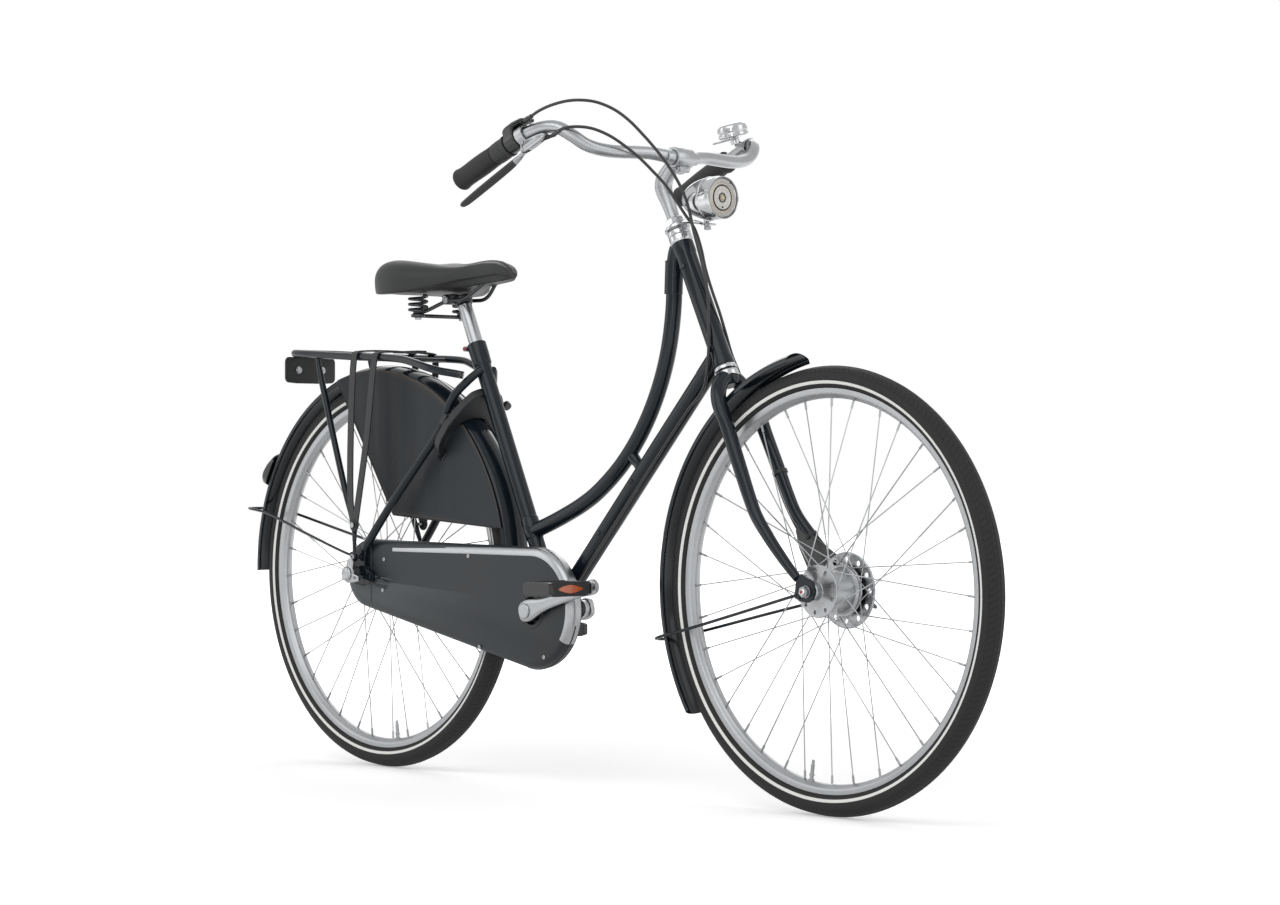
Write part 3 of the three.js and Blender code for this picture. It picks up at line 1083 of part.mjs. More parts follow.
function straps() {
  const ring = (RACK_RADIUS + GAP + STRAP_THICK / 2) / Math.cos(Math.PI / 8);
  const side = (y) => y * Math.SQRT1_2;
  const bands = STRAP_TOPS.map(([x, z], i) => {
    const [bendZ, bendX] = STRAP_BENDS[i];
    const share = (bendZ - STRAP_EYE[1]) / (z - STRAP_EYE[1]);
    const bendY = STRAP_EYE_Y + (STRAP_RAIL_Y + ring - STRAP_EYE_Y) * share;
    const half = [
      [STRAP_EYE[0] + (i === 0 ? -STRAP_EYE_SPREAD : STRAP_EYE_SPREAD), STRAP_EYE_Y, STRAP_EYE[1] + STRAP_EYE_RADIUS / 2],
      [bendX, bendY, bendZ], [x, STRAP_RAIL_Y + ring, z],
      [x, STRAP_RAIL_Y + side(ring), z + side(ring)], [x, STRAP_RAIL_Y, z + ring],
    ];
    return band([...half, ...flip(half).reverse()]);
  });
  const eye = cut(
    rod(
      [STRAP_EYE[0], STRAP_EYE_Y - STRAP_THICK / 2, STRAP_EYE[1]], [STRAP_EYE[0], STRAP_EYE_Y + STRAP_THICK / 2, STRAP_EYE[1]],
      STRAP_EYE_RADIUS, 14,
    ),
  );
  const pin = rod(
    [STRAP_EYE[0], STRAP_EYE_Y - STRAP_EYE_RADIUS, STRAP_EYE[1]], [STRAP_EYE[0], STRAP_EYE_Y + STRAP_EYE_RADIUS, STRAP_EYE[1]],
    STRAP_HOOK_RADIUS + GAP, 8,
  );
  const top = STRAP_TOPS[0][1] + ring;
  const pad = block(...STRAP_PAD.map(([x, y, z]) => [x, y, top + z]));
  return cut(union(...bands, pad, bothSides(eye)), bothSides(pin));
}

const reflectorPlate = () => {
  const frame = new THREE.Matrix4().makeBasis(
    new THREE.Vector3(0, 1, 0), new THREE.Vector3(0, 0, 1), new THREE.Vector3(1, 0, 0),
  );
  return plateIn(PLATE_OUTLINE, PLATE_X, frame);
};

/** The rear light, from its outline in the wheel plane narrowed towards each side. */
function rearLight() {
  const [cx, cz] = REAR_GUARD_CENTRE;
  const spot = (reach, angle) => [cx + reach * Math.cos(rad(angle)), cz + reach * Math.sin(rad(angle))];
  const core = spot(LIGHT_CORE_REACH, LIGHT_CORE_ANGLE);
  const outline = LIGHT_REACH.map((reach, i) => spot(reach, LIGHT_ANGLES[i]));
  const halves = LIGHT_DEPTHS.map((y, i) => [y, LIGHT_DEPTH_SHARES[i]]);
  const rings = [...halves.slice(1).reverse().map(([y, share]) => [-y, share]), ...halves]
    .map(([y, share]) => outline.map(([x, z]) => (
      new THREE.Vector3(core[0] + (x - core[0]) * share, y, core[1] + (z - core[1]) * share)
    )));
  const body = cut(loft(rings), guardEnvelope(REAR_GUARD_CENTRE, REAR_GUARD_RADIUS));
  const far = 2 * TYRE_RADIUS;
  const lens = cut(body, block([LIGHT_LENS_X - GAP, -far, 0], [far, far, far]));
  const shell = cut(body, block([-far, -far, 0], [LIGHT_LENS_X, far, far]));
  return [shell, lens];
}

// Ring lock
/** A band of a ring in the plane of the lock, from one angle to another, measured from outward. */
function lockBand({ low, high, near, far }, from, to, steps) {
  const spot = (radius, turn) => [radius * Math.sin(rad(turn)), radius * Math.cos(rad(turn))];
  const turns = Array.from({ length: steps + 1 }, (_, i) => from + ((to - from) * i) / steps);
  const outline = [...turns.map((turn) => spot(low, turn)), ...turns.reverse().map((turn) => spot(high, turn))];
  return plateIn(outline, [near, far], LOCK_FRAME);
}

function ringLock() {
  const spot = (radius, turn) => [radius * Math.sin(rad(turn)), radius * Math.cos(rad(turn))];
  const sweep = (radius, from, to, steps) => Array.from(
    { length: steps + 1 }, (_, i) => spot(radius, from + ((to - from) * i) / steps),
  );
  const outline = [
    ...sweep(LOCK_OUTER, -LOCK_ARM_ANGLE, -82, 4), ...LOCK_BODY, ...sweep(LOCK_OUTER, 82, LOCK_ARM_ANGLE, 4),
    ...sweep(LOCK_INNER, LOCK_ARM_ANGLE, -LOCK_ARM_ANGLE, 14),
  ];
  const pad = plateIn([
    [LOCK_PADS[0][0], LOCK_PADS[0][1]], [LOCK_PADS[1][0], LOCK_PADS[0][1]],
    [LOCK_PADS[1][0], LOCK_PADS[1][1]], [LOCK_PADS[0][0], LOCK_PADS[1][1]],
  ], [LOCK_PADS[0][2], LOCK_PADS[1][2]], LOCK_FRAME);
  const body = union(plateIn(outline, LOCK_SIDES, LOCK_FRAME), bothSides(pad));
  const beyond = LOCK_ARM_ANGLE + 8;
  const groove = lockBand(LOCK_GROOVE, LOCK_GROOVE_ANGLE, beyond, 10);
  const receiver = lockBand(LOCK_GROOVE, -beyond, -LOCK_RECEIVER_ANGLE, 2);
  const slot = lockBand(LOCK_SLOT, LOCK_SLOT_ANGLE, beyond, 9);
  return cut(body, groove, receiver, slot, seatStayBody(GAP), mirrored(seatStayBody(GAP)), seatTubeBody(GAP));
}

function shackle() {
  const turn = rad(90 - SHACKLE_LEVER_ANGLE);
  const lean = ([u, w]) => [u * Math.cos(turn) - w * Math.sin(turn), u * Math.sin(turn) + w * Math.cos(turn)];
  return union(
    lockBand(SHACKLE_BAND, SHACKLE_ANGLES[0], SHACKLE_ANGLES[1], 12),
    plateIn(SHACKLE_STEM.map(lean), SHACKLE_STEM_DEPTH, LOCK_FRAME),
    plateIn(SHACKLE_PAD.map(lean), SHACKLE_PAD_DEPTH, LOCK_FRAME),
  );
}

// Saddle
const railBody = (extra) => bothSides(pipe(RAIL_ROUTE, RAIL_RADIUS + extra, 6));

function seatPost() {
  return union(
    rod(seatAt(POST_FOOT), seatAt(POST_NECK), POST_RADIUS, 12),
    rod(seatAt(POST_FOOT), seatAt(POST_TOP), POST_PIN_RADIUS, 12),
  );
}

function saddleFrame() {
  const [x, y, z] = SPRING_SEAT;
  const seat = rod([x, y, z], [x, y, SPRING_SEAT_TOP], SPRING_SEAT_RADIUS, 8);
  const guide = rod([x, y, SPRING_SEAT_TOP], [x, y, SPRING_SEAT_TOP + SPRING_GUIDE], SPRING_GUIDE_RADIUS, 8);
  const bar = rod([x, -y, SPRING_BAR_Z], [x, y, SPRING_BAR_Z], RAIL_RADIUS, 6);
  const clamp = union(rod(...CLAMP_SPAN.map(seatAt), CLAMP_RADIUS, 10), block(...CLAMP_BLOCK));
  const pin = rod(seatAt(POST_FOOT), seatAt(POST_TOP), POST_PIN_RADIUS + GAP, 12);
  const neck = rod(seatAt(POST_FOOT), seatAt(POST_NECK), POST_RADIUS + GAP, 12);
  const body = cut(clamp, pin, neck);
  return union(body, railBody(0), bothSides(union(seat, guide)), bar).subtract(union(pin, neck));
}

/** A coil spring of round wire about an upright axis. */
function coilSpring(side) {
  const [x, y] = SPRING_SEAT;
  const steps = SPRING_TURNS * SPRING_STEPS;
  const route = Array.from({ length: steps + 1 }, (_, i) => {
    const turn = (2 * Math.PI * i) / SPRING_STEPS;
    return [
      x + SPRING_RADIUS * Math.cos(turn), side * (y + SPRING_RADIUS * Math.sin(turn)),
      SPRING_LOW + ((SPRING_HIGH - SPRING_LOW) * i) / steps,
    ];
  });
  return pipe(route, SPRING_WIRE, 5);
}

function saddleCover() {
  const rings = SADDLE_STATIONS.map(([x, half, bottom, side, cheek, middle]) => {
    const right = [
      [0.93 * half, bottom], [half, (bottom + side) / 2], [0.98 * half, side],
      [0.87 * half, side + 0.75 * (cheek - side)], [0.6 * half, cheek], [0.27 * half, (cheek + middle) / 2],
    ];
    const left = right.map(([y, z]) => [-y, z]).reverse();
    return [[0, bottom], ...right, [0, middle], ...left].map(([y, z]) => new THREE.Vector3(x, y, z));
  });
  return cut(loft(rings), railBody(GAP));
}

// Stem, bar and its fittings
const barHalf = [...BAR_ROUTE, ...BAR_LEG_MARKS.map((mark) => {
  const spot = legAt(mark, 0).toArray();
  return [spot[0], -spot[1], spot[2]];
})];
const barRoute = [...[...barHalf].reverse(), ...flip(barHalf.slice(1))];
const barBody = (extra) => union(
  pipe(barRoute, BAR_RADIUS + extra, 8),
  rod(
    [STEM_EYE[0], -BAR_CENTRE_HALF, STEM_EYE[2]], [STEM_EYE[0], BAR_CENTRE_HALF, STEM_EYE[2]],
    BAR_CENTRE_RADIUS + extra, 12,
  ),
);

function stem() {
  const eye = rod([STEM_EYE[0], -STEM_EYE_HALF, STEM_EYE[2]], [STEM_EYE[0], STEM_EYE_HALF, STEM_EYE[2]], STEM_EYE_RADIUS, 12);
  return cut(union(pipe(STEM_ROUTE, STEM_RADII, 8), eye, rod(STEM_EYE, STEM_LUG, STEM_LUG_RADIUS, 10)), barBody(GAP));
}

function headsetLocknut() {
  const low = onSteer([
    [0, LOCKNUT.low], [LOCKNUT.cone, LOCKNUT.low], [LOCKNUT.cone, LOCKNUT.coneTop],
    [LOCKNUT.waist, LOCKNUT.coneTop], [LOCKNUT.waist, LOCKNUT.waistTop], [0, LOCKNUT.waistTop],
  ], 12);
  const hex = rod(
    steerAt(LOCKNUT.waistTop - GAP).toArray(), steerAt(LOCKNUT.top).toArray(), LOCKNUT.hex, 6,
  );
  const round = rod(
    steerAt(LOCKNUT.low - SKIN).toArray(), steerAt(LOCKNUT.top + SKIN).toArray(), STEERER_RADIUS + GAP, 12,
  );
  return cut(union(low, hex), round);
}

/** A grip or sleeve turned about the straight leg of the bar, from [place, radius] pairs. */
function onLeg(pairs, sides) {
  const [first] = pairs[0];
  const [last] = pairs[pairs.length - 1];
  return turned([[0, first], ...pairs.map(([s, r]) => [r, s]), [0, last]], BAR_TIP, LEG, sides);
}

/** A bore along the straight leg, wide enough for the bar to turn in it. */
const legBore = (from, sides) => rod(
  legAt(from, 0).toArray(), legAt(HOUSING_SPAN[1], 0).toArray(), roomy(BAR_RADIUS, sides), sides,
);

const gripRight = () => cut(onLeg(GRIP_RADII, 12), legBore(GRIP_BORE, 12));
const gripLeft = () => mirrored(cut(onLeg(LEFT_GRIP_RADII, 12), legBore(GRIP_BORE, 12)));
const shifterSleeve = () => cut(onLeg(SLEEVE_RADII, 14), legBore(0, 14));

function shifterHousing() {
  const collar = onLeg(HOUSING_SPAN.map((s) => [s, HOUSING_RADIUS]), 12);
  const top = plateIn(HOUSING_TOP, [-HOUSING_HALF, HOUSING_HALF], LEG_FRAME);
  return cut(union(collar, top), barBody(GAP));
}

const leverPin = (radius, from, to) => rod(
  legAt(LEVER_PIVOT[0], LEVER_PIVOT[1], from).toArray(), legAt(LEVER_PIVOT[0], LEVER_PIVOT[1], to).toArray(), radius, 10,
);

function leverBracket() {
  const clamp = onLeg(BRACKET_SPAN.map((s) => [s, BRACKET_RADIUS]), 12);
  const arm = plateIn(BRACKET_ARM, BRACKET_ARM_Y, LEG_FRAME);
  const boot = rod(legAt(...LEVER_BOOT[0]).toArray(), legAt(...LEVER_BOOT[1]).toArray(), LEVER_BOOT_RADIUS, 8);
  const slot = plateIn(LEVER_GAP_SHAPE, LEVER_GAP_Y, LEG_FRAME);
  const pin = leverPin(LEVER_PIN_RADIUS, BRACKET_ARM_Y[0], BRACKET_ARM_Y[1]);
  return union(cut(union(clamp, arm, boot), slot, barBody(GAP)), pin);
}

function brakeLever() {
  const rings = LEVER_BLADE.map(([along, up, inward, half]) => circle(8).map(([c, s]) => (
    legAt(along + half * s * LEVER_RAKE_SHARE, up + half * LEVER_DEPTH_SHARE * s, inward + half * c)
  )));
  const eye = leverPin(LEVER_EYE_RADIUS, LEVER_GAP_Y[0] + GAP, LEVER_GAP_Y[1] - GAP);
  const bore = leverPin(LEVER_PIN_RADIUS + GAP, BRACKET_ARM_Y[0], BRACKET_ARM_Y[1]);
  return cut(union(loft(rings), eye), bore);
}

function brakeCable() {
  return union(pipe(BRAKE_CABLE_ROUTE, CABLE_RADIUS, 5), pipe(BRAKE_WIRE_ROUTE, BRAKE_WIRE_RADIUS, 5));
}

/** The gear cable in two lengths: the loop that turns with the bar, and the rest along the frame. */
function shiftCable() {
  const last = point(SHIFT_CABLE_ROUTE[SHIFT_CABLE_SPLIT]);
  const next = point(SHIFT_CABLE_ROUTE[SHIFT_CABLE_SPLIT + 1]);
  const start = last.clone().addScaledVector(next.clone().sub(last).normalize(), GAP);
  const loop = SHIFT_CABLE_ROUTE.slice(0, SHIFT_CABLE_SPLIT + 1);
  const rest = [start.toArray(), ...SHIFT_CABLE_ROUTE.slice(SHIFT_CABLE_SPLIT + 1)];
  return [pipe(loop, CABLE_RADIUS, 5), pipe(rest, CABLE_RADIUS, 5)];
}

// Lamp and bell
function lampTurned(profile, sides) {
  return turned(profile.map(([x, r]) => [r, x]), new THREE.Vector3(0, 0, LAMP_AXIS_Z), new THREE.Vector3(1, 0, 0), sides);
}

function lampShell() {
  const [depth, radius] = LAMP_RECESS;
  const face = LAMP_PROFILE[LAMP_PROFILE.length - 1][0];
  const body = lampTurned([...LAMP_PROFILE, [face, radius], [depth, radius], [depth, 0]], 16);
  const [x, y] = LAMP_FOOT;
  const bolt = rod(LAMP_FOOT, [x, y, LAMP_AXIS_Z - radius], LAMP_FOOT_RADIUS, 8);
  const nut = rod(LAMP_FOOT, [x, y, LAMP_NUT_TOP], LAMP_NUT_RADIUS, 6);
  const collar = rod([x, y, LAMP_COLLAR_LOW], [x, y, LAMP_AXIS_Z - radius], LAMP_NUT_RADIUS, 10);
  return union(body, bolt, nut, collar);
}

function lampLens() {
  const [low, edge, crown] = LAMP_LENS;
  const radius = LAMP_RECESS[1] - GAP;
  return lampTurned([[low, 0], [low, radius], [edge, radius], [crown, radius / 2], [crown, 0]], 16);
}

function lampBracket() {
  const [low, high] = LAMP_RING_SPAN;
  const ring = rod(steerAt(low).toArray(), steerAt(high).toArray(), LAMP_RING_RADIUS, 16);
  const strip = plateY(LAMP_STRIP, [-LAMP_STRIP_HALF, LAMP_STRIP_HALF]);
  const hole = rod(
    steerAt(low - SKIN).toArray(), steerAt(high + SKIN).toArray(), LOCKNUT.waist + GAP, 16,
  );
  const [x, y, z] = LAMP_FOOT;
  const bore = rod([x, y, z], [x, y, LAMP_AXIS_Z], LAMP_FOOT_RADIUS + GAP, 8);
  return cut(union(ring, strip), hole, bore);
}

function bell() {
  const up = point(BELL_AXIS).normalize();
  const dome = turned(BELL_PROFILE, point(BELL_FOOT), up, 10);
  const arm = rod(BELL_SEAT, point(BELL_FOOT).addScaledVector(up, -BELL_ARM_DEPTH).toArray(), BELL_ARM_RADIUS, 6);
  return cut(union(dome, arm, rod(...BELL_CLAMP, BELL_CLAMP_RADIUS, 12)), barBody(GAP));
}

function bellLever() {
  const up = point(BELL_AXIS).normalize();
  const start = new THREE.Vector3(Math.cos(rad(BELL_LEVER_ANGLE)), Math.sin(rad(BELL_LEVER_ANGLE)), 0);
  const along = start.addScaledVector(up, -start.dot(up)).normalize();
  const frame = new THREE.Matrix4().makeBasis(along, new THREE.Vector3().crossVectors(up, along), up)
    .setPosition(point(BELL_FOOT));
  const ring = turned([
    [0, BELL_LEVER_SPAN[0]], [BELL_LEVER_RING[1], BELL_LEVER_SPAN[0]], [BELL_LEVER_RING[1], BELL_LEVER_SPAN[1]],
    [0, BELL_LEVER_SPAN[1]],
  ], point(BELL_FOOT), up, 12);
  const bore = turned([
    [0, 0], [BELL_LEVER_RING[0], 0], [BELL_LEVER_RING[0], 2 * BELL_LEVER_SPAN[1]], [0, 2 * BELL_LEVER_SPAN[1]],
  ], point(BELL_FOOT), up, 10);
  return cut(union(ring, plateIn(BELL_LEVER_SHAPE, BELL_LEVER_SPAN, frame)), bore);
}

// Assembly
const [cableLoop, cableRest] = shiftCable();
const [lightShell, lightLens] = rearLight();

const PARTS = [
  ['head_tube', headTube(), 'paint'],
  ['top_tube', topTube(), 'paint'],
  ['down_tube', downTube(), 'paint'],
  ['seat_tube', seatTube(), 'paint'],
  ['chain_stays', chainStays(), 'paint'],
  ['seat_stay_left', seatStay(1), 'paint'],
  ['seat_stay_right', seatStay(-1), 'paint'],
  ['rear_mudguard', rearGuard(), 'paint'],
  ['rear_mudguard_stay', rearStay(), 'paint'],
  ['coat_guard_left', coatGuard(), 'vinyl'],
  ['coat_guard_right', mirrored(coatGuard()), 'vinyl'],
  ['chain_case', chainCase(), 'satinPaint'],
  ['chain', chain(), 'steel'],
  ['rack', rack(), 'paint'],
  ['luggage_straps', straps(), 'rubber'],
  ['reflector_plate', reflectorPlate(), 'plastic'],
  ['rear_light', lightShell, 'plastic'],
  ['rear_light_lens', lightLens, 'redLens'],
  ['ring_lock', ringLock(), 'plastic'],
  ['lock_shackle', shackle(), 'steel'],
  ['seat_post', seatPost(), 'chrome'],
  ['saddle_frame', saddleFrame(), 'steel'],
  ['saddle_spring_left', coilSpring(1), 'steel'],
  ['saddle_spring_right', coilSpring(-1), 'steel'],
  ['saddle_cover', saddleCover(), 'seat'],
  ['shift_cable', cableRest, 'rubber'],
  ['rear_axle', rearAxle(), 'steel'],
  ['fork', fork(), 'paint'],
  ['headset_locknut', headsetLocknut(), 'chrome'],
  ['stem', stem(), 'alloy'],
  ['handlebar', barBody(0), 'alloy'],
  ['grip_right', gripRight(), 'rubber'],
  ['grip_left', gripLeft(), 'rubber'],
  ['shifter_sleeve', shifterSleeve(), 'rubber'],
  ['shifter_housing', shifterHousing(), 'plastic'],
  ['lever_bracket', leverBracket(), 'alloy'],
  ['brake_lever', brakeLever(), 'plastic'],
  ['shift_cable_loop', cableLoop, 'rubber'],
  ['brake_cable', brakeCable(), 'rubber'],
  ['lamp_bracket', lampBracket(), 'chrome'],
  ['lamp_shell', lampShell(), 'chrome'],
  ['lamp_lens', lampLens(), 'clearLens'],
  ['bell', bell(), 'chrome'],
  ['bell_lever', bellLever(), 'alloy'],
  ['front_mudguard', frontGuard(), 'paint'],
  ['front_mudguard_stay', frontStay(), 'paint'],
  ['front_axle', frontAxle(), 'steel'],
  ['roller_brake', rollerBrake(), 'steel'],
  ['brake_arm', brakeArm(), 'steel'],
  ['front_tyre', tyre(WHEELBASE), 'tyre'],
  ['front_rim', rim(WHEELBASE), 'alloy'],
  ['front_hub', frontHub(), 'alloy'],
  ['rear_tyre', tyre(0), 'tyre'],
  ['rear_rim', rim(0), 'alloy'],
  ['rear_hub', rearHub(), 'alloy'],
  ['rear_sprocket', sprocket(), 'steel'],
  ['crank_right', crankRight(), 'alloy'],
  ['crank_left', crankLeft(), 'alloy'],
  ['pedal_right', pedal(CRANK_ANGLE, -1), 'rubber'],
  ['pedal_left', pedal(CRANK_ANGLE + 180, 1), 'rubber'],
];

const bicycle = new THREE.Group();
bicycle.name = 'dutch_city_bike';
PARTS.forEach(([name, solid, look]) => {
  const [color, roughness, metalness] = LOOKS[look];
  const mesh = new THREE.Mesh(geometryOf(solid), new THREE.MeshStandardMaterial({ color, roughness, metalness }));
  mesh.name = name;
  bicycle.add(mesh);
});

// The middle of the whole length, at the ground, is the origin.
const bounds = new THREE.Box3().setFromObject(bicycle);
const middle = (bounds.min.x + bounds.max.x) / 2;
bicycle.children.forEach((mesh) => mesh.geometry.translate(-middle, 0, -bounds.min.z));

export default bicycle;
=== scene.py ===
"""The looks of a city bicycle with a curved step-through frame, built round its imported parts.

Sizes are millimetres as they are measured on the bicycle, from the rear axle and the ground;
`at` turns them into metres in the row frame. Every finish is a procedural node material.
"""
import math

import bmesh
import bpy
import numpy as np
from mathutils import Matrix, Vector


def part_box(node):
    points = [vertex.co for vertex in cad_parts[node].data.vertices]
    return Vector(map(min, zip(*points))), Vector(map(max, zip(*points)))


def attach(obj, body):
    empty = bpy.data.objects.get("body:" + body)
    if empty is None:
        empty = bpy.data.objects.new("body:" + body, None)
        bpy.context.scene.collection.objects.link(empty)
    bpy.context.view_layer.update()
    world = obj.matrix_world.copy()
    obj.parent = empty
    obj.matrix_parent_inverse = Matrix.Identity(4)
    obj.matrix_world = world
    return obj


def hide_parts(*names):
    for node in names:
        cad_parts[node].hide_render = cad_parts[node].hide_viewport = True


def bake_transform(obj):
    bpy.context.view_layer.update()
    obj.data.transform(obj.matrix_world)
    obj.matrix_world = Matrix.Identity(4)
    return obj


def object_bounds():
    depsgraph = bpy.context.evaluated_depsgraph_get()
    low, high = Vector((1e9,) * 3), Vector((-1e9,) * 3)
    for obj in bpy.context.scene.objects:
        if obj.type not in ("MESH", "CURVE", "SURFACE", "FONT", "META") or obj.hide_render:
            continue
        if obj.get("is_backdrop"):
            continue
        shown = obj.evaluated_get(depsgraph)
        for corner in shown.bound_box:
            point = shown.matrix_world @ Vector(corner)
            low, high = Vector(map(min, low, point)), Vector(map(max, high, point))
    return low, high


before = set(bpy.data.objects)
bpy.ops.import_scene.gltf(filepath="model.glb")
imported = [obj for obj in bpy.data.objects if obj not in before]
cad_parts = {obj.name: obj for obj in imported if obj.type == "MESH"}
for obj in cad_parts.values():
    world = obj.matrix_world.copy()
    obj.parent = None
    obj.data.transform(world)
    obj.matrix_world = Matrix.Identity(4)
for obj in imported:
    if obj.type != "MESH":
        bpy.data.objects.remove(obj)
low_before, high_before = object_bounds()

TYRE_RADIUS = 350.0
WHEELBASE = 1113.9
_low, _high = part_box("rear_rim")
HUB_X = (_low.x + _high.x) / 2
GROUND = (_low.z + _high.z) / 2 - TYRE_RADIUS / 1000
MM = 0.001


def at(point):
    """A measured point in millimetres as a place in the row frame, in metres."""
    return Vector((HUB_X + point[0] * MM, point[1] * MM, GROUND + point[2] * MM))


def flip(route):
    return [(x, -y, z) for x, y, z in route]


def oblong(left, right, low, high):
    """The four corners of an oblong."""
    return [[left, low], [right, low], [right, high], [left, high]]


# Materials


class Nodes:
    """A short way to write a node tree."""

    def __init__(self, tree):
        self.tree = tree

    def add(self, kind, inputs=(), **settings):
        node = self.tree.nodes.new(kind)
        for key, value in settings.items():
            setattr(node, key, value)
        for key, value in dict(inputs).items():
            self.set(node.inputs[key], value)
        return node

    def set(self, socket, value):
        if isinstance(value, bpy.types.NodeSocket):
            self.tree.links.new(value, socket)
        else:
            socket.default_value = value

    def math(self, operation, a, b=0.0, clamp=False):
        node = self.add("ShaderNodeMath", {0: a, 1: b}, operation=operation, use_clamp=clamp)
        return node.outputs[0]

    def mix(self, share, a, b):
        node = self.add("ShaderNodeMix", data_type="RGBA")
        self.set(node.inputs["Factor"], share)
        self.set(node.inputs[6], a)
        self.set(node.inputs[7], b)
        return node.outputs[2]

    def ramp(self, value, low, high, to_low=0.0, to_high=1.0):
        node = self.add("ShaderNodeMapRange", {"Value": value, "From Min": low, "From Max": high})
        node.inputs["To Min"].default_value = to_low
        node.inputs["To Max"].default_value = to_high
        return node.outputs[0]

    def noise(self, scale, detail=2.0, vector=None, rough=0.5):
        inputs = {"Scale": scale, "Detail": detail, "Roughness": rough}
        if vector is not None:
            inputs["Vector"] = vector
        return self.add("ShaderNodeTexNoise", inputs).outputs["Fac"]


def shared_group(name, inputs, build):
    group = bpy.data.node_groups.new(name, "ShaderNodeTree")
    for label, kind, default in inputs:
        socket = group.interface.new_socket(label, in_out="INPUT", socket_type=kind)
        socket.default_value = default
    nodes = Nodes(group)
    source = nodes.add("NodeGroupInput")
    outputs = build(nodes, source)
    sink = nodes.add("NodeGroupOutput")
    for label, (kind, value) in outputs.items():
        group.interface.new_socket(label, in_out="OUTPUT", socket_type=kind)
        nodes.tree.links.new(value, sink.inputs[label])
    return group


def build_wear(nodes, source):
    """Slow changes of tone and gloss, with a few fine specks of dust, in object space."""
    spot = nodes.add("ShaderNodeTexCoord").outputs["Object"]
    broad = nodes.noise(nodes.math("MULTIPLY", source.outputs["Scale"], 6.0), 2.0, spot)
    fine = nodes.noise(nodes.math("MULTIPLY", source.outputs["Scale"], 160.0), 3.0, spot)
    tone = nodes.math("ADD", nodes.math("MULTIPLY", broad, 0.7), nodes.math("MULTIPLY", fine, 0.3))
    tone = nodes.ramp(tone, 0.3, 0.7)
    dust = nodes.ramp(nodes.noise(900.0, 2.0, spot), 0.66, 0.8)
    return {"Tone": ("NodeSocketFloat", tone), "Dust": ("NodeSocketFloat", dust)}


def build_grain(nodes, source):
    """A fine leathery or moulded grain as a height, in object space."""
    spot = nodes.add("ShaderNodeTexCoord").outputs["Object"]
    cells = nodes.add(
        "ShaderNodeTexVoronoi", {"Vector": spot, "Scale": source.outputs["Scale"]}, feature="F1"
    )
    rough = nodes.noise(nodes.math("MULTIPLY", source.outputs["Scale"], 2.2), 3.0, spot)
    height = nodes.math(
        "ADD", nodes.math("MULTIPLY", cells.outputs["Distance"], 0.7), nodes.math("MULTIPLY", rough, 0.5)
    )
    return {"Height": ("NodeSocketFloat", height)}


WEAR = shared_group("wear", [("Scale", "NodeSocketFloat", 1.0)], build_wear)
GRAIN = shared_group("grain", [("Scale", "NodeSocketFloat", 900.0)], build_grain)


def use_group(nodes, group, **inputs):
    node = nodes.add("ShaderNodeGroup")
    node.node_tree = group
    for key, value in inputs.items():
        nodes.set(node.inputs[key], value)
    return node


def linear(code):
    """A hex colour as linear light."""
    parts = [int(code[i:i + 2], 16) / 255 for i in (1, 3, 5)]
    return tuple(c / 12.92 if c <= 0.04045 else ((c + 0.055) / 1.055) ** 2.4 for c in parts) + (1.0,)


def finish_of(
    name, dark, light, rough=(0.3, 0.4), metal=0.0, grain=0.0, grain_scale=900.0, coat=0.0, scale=1.0,
    specular=0.5, extra=None
):
    """A surface between two tones, with its gloss between two values and, if asked, a grain."""
    material = bpy.data.materials.new(name)
    material.use_nodes = True
    nodes = Nodes(material.node_tree)
    surface = material.node_tree.nodes["Principled BSDF"]
    wear = use_group(nodes, WEAR, Scale=scale)
    colour = nodes.mix(wear.outputs["Tone"], linear(dark), linear(light))
    gloss = nodes.ramp(wear.outputs["Tone"], 0.0, 1.0, rough[0], rough[1])
    height = None
    if grain:
        height = use_group(nodes, GRAIN, Scale=grain_scale).outputs["Height"]
    if extra:
        colour, gloss, height = extra(nodes, colour, gloss, height)
    nodes.set(surface.inputs["Base Color"], colour)
    nodes.set(
        surface.inputs["Roughness"],
        nodes.math("ADD", gloss, nodes.math("MULTIPLY", wear.outputs["Dust"], 0.06))
    )
    surface.inputs["Metallic"].default_value = metal
    surface.inputs["Specular IOR Level"].default_value = specular
    surface.inputs["Coat Weight"].default_value = coat
    surface.inputs["Coat Roughness"].default_value = 0.08
    if height is not None:
        bump = nodes.add("ShaderNodeBump", {"Height": height, "Strength": grain or 0.3, "Distance": 0.0004})
        nodes.set(surface.inputs["Normal"], bump.outputs["Normal"])
    return material


def attribute(nodes, name):
    return nodes.add("ShaderNodeAttribute", attribute_name=name).outputs["Fac"]


